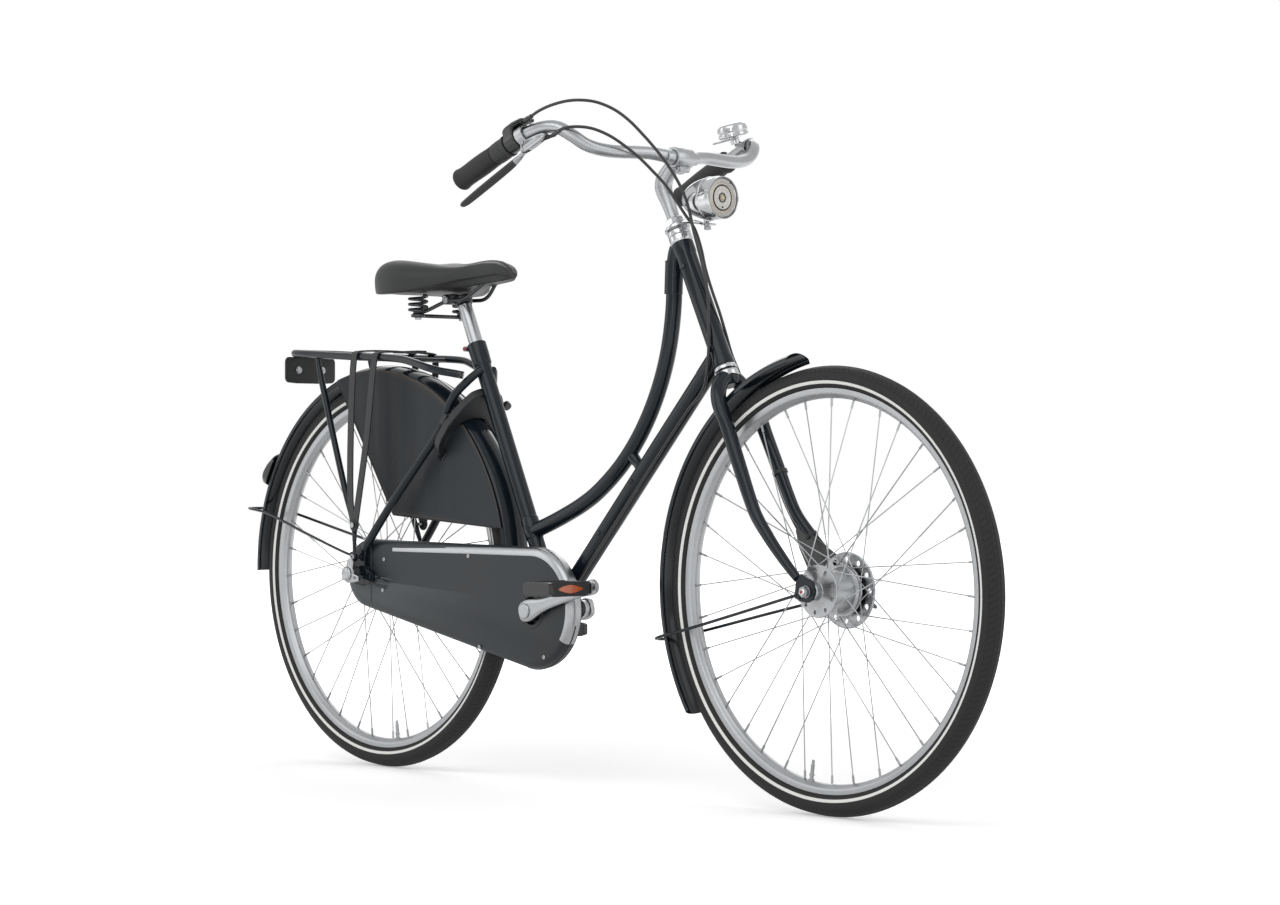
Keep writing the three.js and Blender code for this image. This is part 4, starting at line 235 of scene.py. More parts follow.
def tyre_look(nodes, colour, gloss, height):
    """Black rubber with a white stripe round each side, a fine tread on the crown with painted shade in its
    grooves, and a band of painted shade just above the rim.
    """
    radius = attribute(nodes, "radius")
    stripe = nodes.math(
        "MULTIPLY", nodes.ramp(radius, 321.6, 322.0), nodes.ramp(radius, 326.4, 326.8, 1.0, 0.0),
    )
    # painted shade: a darker band on the rubber just above the rim, where the tyre meets it
    rim_shade_line = nodes.math(
        "MULTIPLY", nodes.ramp(radius, 314.5, 314.9), nodes.ramp(radius, 317.5, 318.0, 1.0, 0.0),
    )
    around, across = attribute(nodes, "around"), attribute(nodes, "across")
    zig = nodes.math(
        "ABSOLUTE", nodes.math("SUBTRACT", nodes.math("FRACT", nodes.math("MULTIPLY", across, 2.0)), 0.5)
    )
    lean = nodes.math("ADD", nodes.math("MULTIPLY", around, 210.0), nodes.math("MULTIPLY", zig, 3.4))
    blocks = nodes.math("ABSOLUTE", nodes.math("SUBTRACT", nodes.math("FRACT", lean), 0.5))
    rows = nodes.math(
        "ABSOLUTE", nodes.math("SUBTRACT", nodes.math("FRACT", nodes.math("MULTIPLY", across, 9.0)), 0.5)
    )
    crown = nodes.ramp(radius, 337.5, 339.5)
    cut = nodes.math(
        "MULTIPLY", crown,
        nodes.math(
            "MAXIMUM", nodes.ramp(blocks, 0.1, 0.16, 1.0, 0.0), nodes.ramp(rows, 0.07, 0.12, 1.0, 0.0)
        )
    )
    # painted shade: the tread's grooves are darkened as if in shade
    colour = nodes.mix(nodes.math("MULTIPLY", cut, 0.6), colour, linear("#0b0b0b"))
    colour = nodes.mix(nodes.math("MULTIPLY", rim_shade_line, 0.35), colour, linear("#0c0c0c"))
    colour = nodes.mix(stripe, colour, linear("#e9e9e6"))
    side = nodes.math(
        "MULTIPLY", nodes.ramp(radius, 328.0, 331.0), nodes.ramp(radius, 336.0, 337.5, 1.0, 0.0)
    )
    ribs = nodes.math("MULTIPLY", side, nodes.math("FRACT", nodes.math("MULTIPLY", around, 900.0)))
    height = nodes.math(
        "ADD", height,
        nodes.math("SUBTRACT", nodes.math("MULTIPLY", ribs, 0.5), nodes.math("MULTIPLY", cut, 2.5))
    )
    return colour, gloss, height


def case_with_painted_highlight(nodes, colour, gloss, height):
    """Satin enamel with a painted highlight: a paler wedge that starts at the rear and fades forward,
    standing for light on the case's embossed panel.
    """
    spot = nodes.add("ShaderNodeTexCoord").outputs["Object"]
    parts = nodes.add("ShaderNodeSeparateXYZ", {0: spot})
    along = nodes.ramp(parts.outputs["X"], at((60, 0, 0)).x, at((330, 0, 0)).x)
    middle = at((0, 0, 341)).z
    slope = nodes.math("MULTIPLY", nodes.math("SUBTRACT", parts.outputs["X"], HUB_X), 0.06)
    below = nodes.math("SUBTRACT", nodes.math("SUBTRACT", middle, slope), parts.outputs["Z"])
    edge = nodes.ramp(below, -0.0004, 0.0004)
    band = nodes.math("MULTIPLY", edge, nodes.ramp(below, 0.008, 0.06, 1.0, 0.0))
    # painted highlight: the enamel is made paler below the sloping line, fading downward and forward
    share = nodes.math("MULTIPLY", band, nodes.ramp(along, 0.0, 1.0, 0.42, 0.0))
    return nodes.mix(share, colour, linear("#5d6468")), gloss, height


def cloth_look(nodes, colour, gloss, height):
    """Coated cloth: a fine weave, painted shade in the hollows of the folds, and a pale worn line along its
    edge.
    """
    spot = nodes.add("ShaderNodeTexCoord").outputs["Object"]
    parts = nodes.add("ShaderNodeSeparateXYZ", {0: spot})
    warp = nodes.math("SINE", nodes.math("MULTIPLY", parts.outputs["X"], 5200.0))
    weft = nodes.math("SINE", nodes.math("MULTIPLY", parts.outputs["Z"], 5200.0))
    weave = nodes.math("MULTIPLY", warp, weft)
    edge = attribute(nodes, "edge")
    # painted shade: the cloth is darkened in the hollows between the folds
    fold = nodes.math("SUBTRACT", 1.0, attribute(nodes, "fold"))
    colour = nodes.mix(nodes.math("MULTIPLY", fold, 0.6), colour, linear("#0e1215"))
    colour = nodes.mix(nodes.math("MULTIPLY", edge, 0.6), colour, linear("#54493f"))
    return colour, gloss, nodes.math("ADD", height, nodes.math("MULTIPLY", weave, 0.25))


def diamond_look(nodes, colour, gloss, height):
    """Moulded rubber with a diamond pattern, drawn from the angle and the place along the grip, with painted
    shade in its grooves.
    """
    around, along = attribute(nodes, "around"), attribute(nodes, "along")
    a = nodes.math("ADD", nodes.math("MULTIPLY", around, 22.0), nodes.math("MULTIPLY", along, 0.2))
    b = nodes.math("SUBTRACT", nodes.math("MULTIPLY", around, 22.0), nodes.math("MULTIPLY", along, 0.2))
    first = nodes.math("ABSOLUTE", nodes.math("SUBTRACT", nodes.math("FRACT", a), 0.5))
    second = nodes.math("ABSOLUTE", nodes.math("SUBTRACT", nodes.math("FRACT", b), 0.5))
    lines = nodes.math("MINIMUM", nodes.ramp(first, 0.03, 0.16), nodes.ramp(second, 0.03, 0.16))
    # painted shade: the grooves between the diamonds are darkened
    colour = nodes.mix(nodes.math("SUBTRACT", 1.0, lines), colour, linear("#131313"))
    return colour, gloss, nodes.math("ADD", height, nodes.math("MULTIPLY", lines, 1.2))


def rib_look(nodes, colour, gloss, height):
    """Rubber band with ribs along its length, drawn from its own across value, with painted shade in the
    grooves between the ribs.
    """
    across = attribute(nodes, "across")
    ribs = nodes.math(
        "ABSOLUTE", nodes.math("SUBTRACT", nodes.math("FRACT", nodes.math("MULTIPLY", across, 4.0)), 0.5)
    )
    # painted shade: the grooves between the ribs are darkened
    colour = nodes.mix(
        nodes.math("MULTIPLY", nodes.ramp(ribs, 0.0, 0.14, 1.0, 0.0), 0.5), colour, linear("#0e0e0e")
    )
    return colour, gloss, nodes.math("ADD", height, nodes.math("MULTIPLY", nodes.ramp(ribs, 0.02, 0.2), 3.0))


def brushed_look(nodes, colour, gloss, height):
    """Fine scratches round the rim of a wheel."""
    radius = attribute(nodes, "radius")
    lines = nodes.add(
        "ShaderNodeTexNoise", {"W": nodes.math("MULTIPLY", radius, 4.0), "Scale": 3.0, "Detail": 3.0},
        noise_dimensions="1D"
    )
    tone = nodes.ramp(lines.outputs["Fac"], 0.3, 0.7)
    return nodes.mix(
        nodes.math("MULTIPLY", tone, 0.35), colour, linear("#8f9193")
    ), nodes.math("ADD", gloss, nodes.math("MULTIPLY", tone, 0.08)), height


LOOK = {
    "paint": finish_of("frame_enamel", "#12191f", "#182027", (0.12, 0.16), specular=0.26),
    "case": finish_of(
        "case_enamel", "#161c21", "#1c2328", (0.36, 0.44), grain=0.05, grain_scale=1500, extra=case_with_painted_highlight,
        specular=0.36
    ),
    "cloth": finish_of(
        "coat_guard_cloth", "#151b20", "#1d242a", (0.5, 0.62), grain=0.25, grain_scale=1200,
        extra=cloth_look, specular=0.34
    ),
    "plastic": finish_of(
        "black_plastic", "#18191b", "#212224", (0.42, 0.55), grain=0.08, grain_scale=1400, specular=0.4
    ),
    "gloss_plastic": finish_of("gloss_plastic", "#161718", "#1f2021", (0.18, 0.28)),
    "rubber": finish_of(
        "rubber", "#1c1c1d", "#252526", (0.55, 0.66), grain=0.06, grain_scale=1500, specular=0.35
    ),
    "grip": finish_of(
        "grip_rubber", "#242526", "#2f3031", (0.58, 0.7), grain=0.4, grain_scale=1600, extra=diamond_look
    ),
    "strap": finish_of(
        "strap_rubber", "#222325", "#2d2e30", (0.55, 0.68), grain=0.4, grain_scale=1600, extra=rib_look
    ),
    "seat": finish_of(
        "saddle_skin", "#1d1e1f", "#262728", (0.46, 0.56), grain=0.2, grain_scale=1100, specular=0.42
    ),
    "seat_base": finish_of("saddle_base", "#161617", "#1e1e1f", (0.5, 0.6), grain=0.1),
    "chrome": finish_of("chrome", "#a6a7a9", "#bbbcbe", (0.12, 0.2), metal=1.0),
    "alloy": finish_of("satin_alloy", "#939597", "#a6a8aa", (0.26, 0.34), metal=1.0),
    "rim": finish_of("rim_alloy", "#9b9d9f", "#adafb1", (0.34, 0.42), metal=1.0, extra=brushed_look),
    "steel": finish_of("zinc_steel", "#8b8d8f", "#a4a6a8", (0.28, 0.42), metal=1.0, scale=4.0),
    "dark_steel": finish_of("dark_steel", "#3a3b3d", "#4c4e50", (0.34, 0.46), metal=0.9, scale=4.0),
    "spoke": finish_of("spoke_steel", "#8f9193", "#a6a8aa", (0.24, 0.34), metal=1.0, scale=3.0),
    "tyre": finish_of(
        "tyre_rubber", "#1c1c1c", "#262626", (0.68, 0.8), grain=0.5, grain_scale=1300, extra=tyre_look,
        specular=0.35
    ),
    "cable": finish_of("cable_cover", "#17181a", "#222325", (0.34, 0.44)),
    "red": finish_of("red_lens", "#6d0d10", "#8e1518", (0.1, 0.16), coat=0.8),
    "red_dot": finish_of("red_cap", "#8c1216", "#a81a1e", (0.3, 0.4)),
    "amber": finish_of("amber_reflector", "#a8430c", "#c65a15", (0.12, 0.2), coat=0.7),
    "lens": finish_of("lamp_lens", "#a9a39a", "#c9c3b9", (0.14, 0.24), coat=0.7),
    "bowl": finish_of("lamp_bowl", "#bdbab3", "#d9d6d0", (0.1, 0.2), coat=0.5),
    "led": finish_of("lamp_led", "#b9ad86", "#d3c9a4", (0.2, 0.3))
}


# Sizes

TYRE_SECTION = [[0, 350], [12.5, 345.5], [18.3, 333], [16.5, 322], [10.5, 313.5]]
SPOKE_SEAT = 37.5
SPOKE_REACH = 297.9
SPOKE_STAGGER = 0.9
SPOKE_END_Y = 3.2
SPOKES_PER_SIDE = 18
SPOKE_TURN_ANGLE = 60
SPOKE_PHASE_REAR_ANGLE = 2.5
AXLE_RADIUS = 5
STEER_FOOT = [881, 0, 696.4]
STEER_LEAN_ANGLE = 25.95
HEAD_LENGTH = 246
HEAD_RADIUS = 17
HEAD_CUP_RADIUS = 19.6
HEAD_CUP_LOW = 7
HEAD_CUP_HIGH = 12
STEERER_RADIUS = 12.7
STEERER_TOP = 264
CRANK_AXIS = [467.5, 0, 298.9]
SHELL_RADIUS = 20
SHELL_HALF = 34
SPINDLE_RADIUS = 8.5
SEAT_TUBE_TOP = [253, 0, 757]
SEAT_TUBE_RADIUS = 14.3
SEAT_COLLAR_RADIUS = 17
SEAT_COLLAR_LENGTH = 22
DOWN_TUBE_HEAD = [862, 0, 719.8]
DOWN_TUBE_RADIUS = 16
TOP_TUBE_RADIUS = 13.4
TOP_TUBE_ROUTE = [
    [769, 0, 902], [764.5, 0, 893], [760.5, 0, 876], [759.3, 0, 854.5], [758.7, 0, 815.2],
    [754.4, 0, 776.1], [746.6, 0, 737.1], [734.3, 0, 698], [717.1, 0, 658.9], [694.6, 0, 619.7],
    [665.2, 0, 580.2], [626.5, 0, 540.4], [572.9, 0, 500.1], [535.7, 0, 479.7], [486.2, 0, 458.8],
    [440, 0, 442], [402, 0, 429.5]
]
TOP_TUBE_SLEEVE = [[757.6, 0, 826], [759.6, 0, 878]]
TOP_TUBE_SLEEVE_RADIUS = 15.2
BRIDGE_TOP = [652, 0, 566]
BRIDGE_LOW = [690, 0, 532]
DROPOUT_Y = [61, 66]
DROPOUT_OUTLINE = [
    [-20, 336], [-8, 330], [16, 331], [42, 337], [42, 349], [20, 362], [18, 378], [25, 398], [15, 404],
    [4, 396], [-6, 390], [-12, 382], [-16, 366],
]
CHAIN_STAY_ROUTE = [
    [452, 24.5, 300.5], [440, 25, 302], [250, 42.8, 321.9], [60, 60.6, 341.8], [30, 63.3, 345]
]
CHAIN_STAY_RADII = [9, 9, 8.6, 6.6, 6]
STAY_BRIDGE_X = 404
STAY_BRIDGE_Z = 305.8
STAY_BRIDGE_HALF = 27
STAY_BRIDGE_RADIUS = 6
SEAT_STAY_ROUTE = [
    [284, 12, 713], [279, 17, 708], [262, 30, 690], [240, 42, 664], [209.5, 48, 607], [159, 53, 551],
    [109, 58, 498], [58, 63.6, 440], [24, 65, 402], [17, 65, 394],
]
SEAT_STAY_RADIUS = 7.4
EYELET = [1, 380]
FORK_ROUTE = [
    [887.5, 5, 688], [889.5, 19, 679], [896, 31.5, 662], [905.5, 38.5, 643], [918.2, 40.2, 620],
    [930.4, 40.6, 595], [960.6, 43, 533], [977, 44, 499], [995, 45.4, 467], [1026, 48.6, 433],
    [1056, 51.2, 404], [1083, 52, 379], [1093, 52, 370],
]
FORK_RADII = [13, 13, 12.8, 12.4, 12, 12, 11.6, 11.2, 10.6, 9.6, 8.6, 7.4, 6.8]
FORK_TIP_Y = [49.5, 54.5]
FORK_TIP_OUTLINE = [
    [-22, 372], [-12, 378], [14, 366], [17, 352], [14, 338], [2, 333], [-14, 335], [-26, 342], [-24, 354],
]
CROWN_RACE_RADIUS = 19
CROWN_RACE_FOOT = -13
FORK_SHOULDER_RADIUS = 15.5
GUARD_SECTION = [[26.8, 0], [25, 7], [14, 13.4], [0, 16]]
FRONT_GUARD_CENTRE = [1120.9, 351]
FRONT_GUARD_RADIUS = 379
FRONT_GUARD_ANGLES = [102.4, 213.6]
REAR_GUARD_CENTRE = [0, 350]
REAR_GUARD_RADIUS = 375.5
REAR_GUARD_ANGLES = [-3.6, 180.6]
REAR_GUARD_TAB = [[369, 326], [372, 342], [398, 317], [397.6, 301.5], [390, 305]]
REAR_GUARD_TAB_HALF = 8
FRONT_STAY_ROUTE = [
    [1099, 58, 345], [1084, 57.8, 341.4], [940, 41, 308], [805, 30.6, 276.5], [765, 29.8, 268],
    [744, 26, 262.5], [736, 13, 260.5], [734.5, 0, 260],
]
REAR_STAY_ROUTE = [
    [-21, 64, 383], [-36, 63.4, 385.5], [-180, 48, 419], [-330, 30.2, 455.5], [-360, 29.5, 460],
    [-390, 25, 462.5], [-408, 12, 463], [-411.5, 0, 463],
]
STAY_WIRE_RADIUS = 2.6
COAT_GUARD_Y = 29.4
COAT_GUARD_FOLD = 2.6
COAT_GUARD_RADIUS = 366.5
COAT_GUARD_ANGLES = [13.6, 107.4]
COAT_GUARD_FOOT = [57, 456.4]
COAT_GUARD_FRONT = [354, 436.6]
CASE_Y = [-57, -32.2]
CASE_FRONT = [466, 303, 103]
CASE_REAR = [12, 351, 61]
CASE_BACK_RIM = 13
CASE_CRANK_HOLE = 28
CASE_AXLE_HOLE = 19
RING_RADIUS = 76.8
CRANK_LENGTH = 170.5
CRANK_ANGLE = 15.2
CRANK_CAP_Y = 76.5
CRANK_BOSS_RADIUS = 19
PEDAL_Y = [95, 188]
PEDAL_LENGTH = 65
PEDAL_HEIGHT = 24.5
PEDAL_BAR = 13
PEDAL_BARREL_RADIUS = 10.5
PEDAL_END = 9
PEDAL_SPINDLE_RADIUS = 4.5
PEDAL_SPINDLE_END = 168
REAR_HUB = {"low": -38, "high": 44, "flange": 41.5, "flangeY": 28, "barrel": 31, "neck": 15}
FRONT_HUB = {"low": -44, "high": 31, "flange": 41.5, "flangeY": 27, "barrel": 34, "neck": 13}
FLANGE_THICK = 4
BRAKE_DISC_Y = [34, 38.6]
BRAKE_DISC_RADIUS = 60
BRAKE_PLATE_Y = [40.4, 42.2]
BRAKE_PLATE_CIRCLES = [[1006, 441, 8], [1012, 418, 8], [1075, 385, 24], [1113.9, 350, 30], [1046, 358, 7]]
BRAKE_BODY_Y = 44.2
BRAKE_BODY_RADIUS = 26
BRAKE_CORE_Y = 48.6
BRAKE_CORE_RADIUS = 12.6
BRAKE_ARM_Y = [44.7, 48.3]
BRAKE_TAIL_Y = [46.4, 48.3]
BRAKE_RING_RADIUS = 19
BRAKE_TAIL_REAR = [1076, 324, 5]
BRAKE_TAIL_FRONT = [1166, 325, 3.6]
AXLE_NUT_RADIUS = 9
FRONT_AXLE_END = 66
REAR_AXLE_END = 80
SHIFT_BOX_Y = [-97, -72.5]
SHIFT_BOX_RADIUS = 12.5
SHIFT_ARM = [[-17, -11], [15, -14.5], [33, -12], [33, -3], [15, 2], [-8, 12]]
SHIFT_ARM_Y = [-92, -79]
RACK_ROUTE = [
    [256, -32, 702], [241.8, -44, 705.6], [215, -55, 710.5], [188.7, -60, 716.9], [150, -60, 726.4],
    [112.9, -60, 733.4], [-35.6, -60, 741.6], [-185, -60, 750.6], [-206, -55, 751.8], [-219, -43, 752.5],
    [-225, -24, 752.8], [-225, 24, 752.8], [-219, 43, 752.5], [-206, 55, 751.8], [-185, 60, 750.6],
    [-35.6, 60, 741.6], [125, 60, 734.2], [152, 58, 731], [178, 53, 724], [215, 45, 711.5],
    [241.8, 38, 704.5], [256, 32, 701]
]
RACK_RADIUS = 6.8
RACK_LEG_ROUTE = [
    [-131, 60, 746], [-120, 61.5, 713.6], [-38.2, 68, 505], [-7, 70.4, 435], [1, 75.6, 403], [0.5, 76, 378],
]
RACK_BARS = [[-150, 748], [-60, 743], [100, 734]]
RACK_BAR_RADIUS = 3.6
RACK_BOLT_RADIUS = 3.4
STRAP_HOOK = [5, 437.5]
STRAP_HOOK_RADIUS = 3
STRAP_HOOK_END = 85
STRAP_WIDTH = 13
STRAP_THICK = 3.2
STRAP_TOPS = [[-8, 740.2], [52, 736.9]]
STRAP_EYE = [5, 437.5]
STRAP_EYE_Y = 79
STRAP_EYE_RADIUS = 11.5
STRAP_RAIL_Y = 60
STRAP_BENDS = [[483, -8], [590, 34.2]]
STRAP_EYE_SPREAD = 3.5
STRAP_PAD = [[-14.5, 22, -1.2], [58.5, 46, 2.4]]
PLATE_X = [-236.8, -231.4]
PLATE_OUTLINE = [
    [-57, 704], [-52, 698.5], [-30, 697], [30, 697], [52, 698.5], [57, 704], [57, 740], [52, 746], [36, 746],
    [36, 757], [18, 757], [18, 746], [-18, 746], [-18, 757], [-36, 757], [-36, 746], [-52, 746], [-57, 740],
]
LIGHT_REACH = [372, 382, 392, 397, 398.6, 396, 388, 380, 372]
LIGHT_ANGLES = [144.6, 145.1, 148.5, 151.5, 153.2, 154.9, 156, 155.8, 155.6]
LIGHT_CORE_REACH = 372
LIGHT_CORE_ANGLE = 151
LIGHT_DEPTHS = [0, 16, 25, 29]
LIGHT_DEPTH_SHARES = [1, 0.93, 0.76, 0.52]
LIGHT_LENS_X = -351
LOCK_ANGLE = 51
LOCK_REACH = 330
LOCK_INNER = 46
LOCK_OUTER = 58
LOCK_SIDES = [9.4, 25]
LOCK_BODY = [
    [-57.4, 12], [-57, 28], [-51, 50], [-42, 74], [-30, 94], [-14, 102], [14, 103], [30, 97], [40, 84],
    [46, 70], [51, 59], [57, 34], [57.4, 12],
]
LOCK_ARM_ANGLE = 130
LOCK_GROOVE = {"low": 48.6, "high": 55.4, "near": 14, "far": 21}
LOCK_GROOVE_ANGLE = 24
LOCK_RECEIVER_ANGLE = 118
LOCK_SLOT = {"low": 54, "high": 92, "near": 15.8, "far": 19.2}
LOCK_SLOT_ANGLE = 35
LOCK_PADS = [[42, 18, 1], [57, 40, 10]]
LOCK_HOLES = [{"reach": 289, "offset": 17.5, "radius": 11.6}, {"reach": 372, "offset": 17.5, "radius": 12.5}]
SHACKLE_BAND = {"low": 49.2, "high": 54.8, "near": 14.8, "far": 20.2}
SHACKLE_ANGLES = [28, 140]
SHACKLE_LEVER_ANGLE = 40
SHACKLE_STEM = oblong(52, 87, -1.5, 1.5)
SHACKLE_STEM_DEPTH = [16.4, 18.6]
SHACKLE_PAD = [[84.5, -5], [88, -8], [95, -8], [99, -4], [99, 4], [95, 8], [88, 8], [84.5, 5]]
SHACKLE_PAD_DEPTH = [12.5, 22.5]
POST_RADIUS = 12.5
POST_FOOT = -150
POST_NECK = 77.9
POST_TOP = 91
POST_PIN_RADIUS = 10.8
CLAMP_SPAN = [78.4, 92.6]
CLAMP_RADIUS = 16
CLAMP_BLOCK = [[186, -24, 828], [214, 24, 846]]
RAIL_ROUTE = [
    [322, 9, 868], [300, 10, 866.5], [284, 15, 858], [262, 21, 843], [244, 23, 836], [200, 23, 834],
    [160, 40, 817], [150, 50, 813.5],
]
RAIL_RADIUS = 3.4
SPRING_SEAT = [152, 50, 806]
SPRING_SEAT_RADIUS = 11
SPRING_SEAT_TOP = 813
SPRING_BAR_Z = 809
SPRING_RADIUS = 15.6
SPRING_WIRE = 2.6
SPRING_LOW = 816
SPRING_HIGH = 844.8
SADDLE_STATIONS = [
    [57, 34, 862, 876, 893, 890], [64, 66, 852, 878, 902, 893], [84, 94, 848, 878, 906, 897],
    [112, 106, 847.5, 877, 908, 900], [146, 104, 848, 876, 905, 901], [182, 88, 849, 874, 899, 899],
    [214, 66, 851, 872, 894, 898], [244, 46, 854, 872, 893, 899], [272, 34, 857, 876, 896, 901.5],
    [300, 27.5, 860, 879, 897.5, 902], [325, 23, 862, 880, 895, 898], [343, 17, 864, 878, 887, 889],
    [352.5, 9, 867, 874, 878, 879],
]
STEM_ROUTE = [
    [790, 0, 883.2], [755, 0, 955], [744, 0, 977.7], [734, 0, 998.4], [735.5, 0, 1012], [748, 0, 1027],
    [764, 0, 1040],
]
STEM_RADII = [10.3, 10.7, 12.4, 14.4, 14.6, 13.6, 12.6]
STEM_EYE = [774, 0, 1046.5]
STEM_EYE_RADIUS = 17.5
STEM_EYE_HALF = 19
STEM_LUG = [780, 0, 1023]
STEM_LUG_RADIUS = 9
LOCKNUT = {"low": 246.4, "cone": 19.4, "coneTop": 258, "waist": 17, "waistTop": 266, "hex": 18.6, "top": 278}
BAR_RADIUS = 11
BAR_CENTRE_RADIUS = 12.6
BAR_CENTRE_HALF = 34
BAR_END = [515, 248, 1013]
BAR_LEG = [0.9155, -0.062, 0.3975]
BAR_LEG_MARKS = [150, 100, 50, 0]
BAR_ROUTE = [
    [774, 0, 1046.5], [771, 30, 1048.6], [765.6, 61, 1051.3], [761.5, 92.5, 1050.9], [757.3, 124, 1050.1],
    [752.1, 153, 1051.8], [745.3, 180, 1058.4], [736, 202, 1072.6], [720.5, 218.4, 1084.6],
    [696.5, 230, 1085.8],
]
HOUSING_SPAN = [124.6, 148]
HOUSING_RADIUS = 17.5
HOUSING_TOP = [
    [124.6, 0], [124.6, 21], [131, 25.5], [152, 26.5], [172, 23.5], [180, 19], [178, 14.5], [168, 14.5],
    [166.6, 16.8], [148.6, 16.8], [148, 0],
]
HOUSING_HALF = 14
BRACKET_SPAN = [149, 166]
BRACKET_RADIUS = 16
BRACKET_ARM_Y = [-8, 5]
LEVER_PIVOT = [152, -23]
LEVER_PIN_RADIUS = 3.2
LEVER_EYE_RADIUS = 6.4
LEVER_BOOT = [[192, -24.5], [215.5, -31]]
CABLE_RADIUS = 2.5
BRAKE_CABLE_ROUTE = [
    [727, -234.5, 1070.5], [738, -224, 1081], [750, -208, 1084.5], [759, -180, 1083], [769, -152, 1073],
    [776, -125, 1058], [783, -98, 1039], [789, -75, 1019], [796, -53, 997], [803, -37, 973],
    [813, -25, 949], [824, -16, 928], [832, -9, 897], [838, -5, 864], [847, 1, 828], [857, 9, 791],
    [859, 21.5, 756], [861.5, 33, 722], [867, 43.5, 694], [878, 48, 662], [891, 46, 636.5],
    [904.5, 44.8, 613], [917, 44.8, 588], [947, 47, 525.6], [963, 48, 491], [982.6, 49, 459],
    [1014, 46.8, 420], [1030, 45.3, 391.5], [1044, 44.9, 364]
]
BRAKE_WIRE_ROUTE = [[1043.5, 44.9, 365], [1068, 44.9, 334.5]]
BRAKE_WIRE_RADIUS = 0.9
SHIFT_CABLE_ROUTE = [
    [674.5, -245.5, 1098.5], [706, -245, 1111], [737, -242, 1118.5], [762, -232, 1123], [779, -218, 1123.5],
    [790, -198, 1121], [800, -170, 1111], [806, -143, 1095], [812, -116, 1072], [817, -92, 1049],
    [822, -72, 1026], [828, -54, 998], [831, -42, 974], [832.5, -34, 950], [835, -29, 925], [846, -25, 884],
    [857, -23, 847], [862, -22, 812], [863, -21.8, 773], [863, -21.5, 736], [859, -21, 700], [850, -18, 675],
    [835, -15, 658], [812, -13, 641], [785, -12.3, 614.7], [740, -12.3, 567.4], [670, -12.3, 492.7],
    [600, -12.3, 418], [540, -12.5, 354], [514, -14, 322], [496, -17, 290], [478, -20, 272], [455, -22, 269],
    [430, -22.5, 276], [380, -24.5, 290], [300, -27.2, 303], [200, -37, 313], [120, -45.5, 320.5],
    [72, -55, 326], [58, -68, 331], [46, -79, 336.5], [34.5, -85.5, 340.5],
]
LAMP_AXIS_Z = 975.5
LAMP_PROFILE = [
    [788, 0], [789, 7], [793, 14], [802, 22], [815, 28.5], [832, 33.2], [850, 35.2], [868, 35.5], [872, 34.6],
]
LAMP_FOOT = [838, 0, 925.5]
LAMP_FOOT_RADIUS = 3
LAMP_NUT_TOP = 931.6
LAMP_COLLAR_LOW = 938.2
LAMP_NUT_RADIUS = 5.6
LAMP_RING_SPAN = [259, 262.4]
LAMP_RING_RADIUS = 21.4
LAMP_STRIP = [
    [783.4, 938.9], [785, 942.4], [793, 944.6], [804, 943.8], [816, 940.8], [836, 936.8], [850, 935.6],
    [851, 933.4], [848, 932], [836, 932.6], [815, 935.8], [800, 938.6], [787, 938.6],
]
LAMP_STRIP_HALF = 8.5
BELL_SEAT = [704, 226.6, 1085.7]
BELL_FOOT = [692, 204.5, 1094]
BELL_AXIS = [-0.12, -0.2, 0.97]
BELL_ARM_RADIUS = 5.4
BELL_CLAMP = [[698, 229.2, 1085.9], [710, 223.8, 1085.5]]
BELL_CLAMP_RADIUS = 14
BELL_LEVER_RING = [3, 7.5]
BELL_LEVER_SPAN = [3.1, 6.3]
BELL_LEVER_SHAPE = [[5, -4], [26, -6], [36, -8], [43, -4], [43, 4], [36, 8], [26, 6], [5, 4]]
BELL_LEVER_ANGLE = 195
COAT_GUARD_FOOT_SHARE = 0.4
COAT_GUARD_TIP_SHARE = 0.03
COAT_GUARD_PERIOD = 62
COAT_GUARD_FADE = 150
COAT_GUARD_SPREAD_SHARE = 0.97
CRANK_CAP_RADIUS = 13
FRONT_HUB_STOP = 44.4
TORQUE_ARM_CIRCLES = [[0, 350, 15], [148, 315, 6.5]]
TORQUE_ARM_Y = [46, 48.6]
TORQUE_CLIP_Y = 59
RACK_HOOK_ROOT = [-7, 71, 436]
SPRING_GUIDE_RADIUS = 9
LEVER_GAP_SHAPE = [[136, -20], [146, -16.5], [160, -16.5], [164, -22], [162, -34], [136, -44]]
LEVER_GAP_Y = [-5.4, 2.4]
LEVER_RAKE_SHARE = 0.2
BELL_ARM_DEPTH = 4


# Shapes

HOLD = 0.12  # how far from a rounded corner its flat side is held


def catmull(route, per):
    """Points on a smooth curve through a route."""
    knots = np.array(route, float)
    ends = np.vstack([2 * knots[0] - knots[1], knots, 2 * knots[-1] - knots[-2]])
    line = []
    for i in range(len(knots) - 1):
        before, start, stop, after = ends[i:i + 4]
        spans = [
            max(np.linalg.norm(b - a), 1e-6) ** 0.5 for a,
            b in ((before, start), (start, stop), (stop, after))
        ]
        lead = (start - before) / spans[0] - (stop - before) / (
            spans[0] + spans[1]
        ) + (stop - start) / spans[1]
        trail = (stop - start) / spans[1] - (after - start) / (
            spans[1] + spans[2]
        ) + (after - stop) / spans[2]
        lead, trail = lead * spans[1], trail * spans[1]
        for step in range(per):
            t = step / per
            line.append(
                (2 * t ** 3 - 3 * t ** 2 + 1) * start + (t ** 3 - 2 * t ** 2 + t) * lead
                + (3 * t ** 2 - 2 * t ** 3) * stop + (t ** 3 - t ** 2) * trail
            )
    line.append(knots[-1])
    return np.array(line)


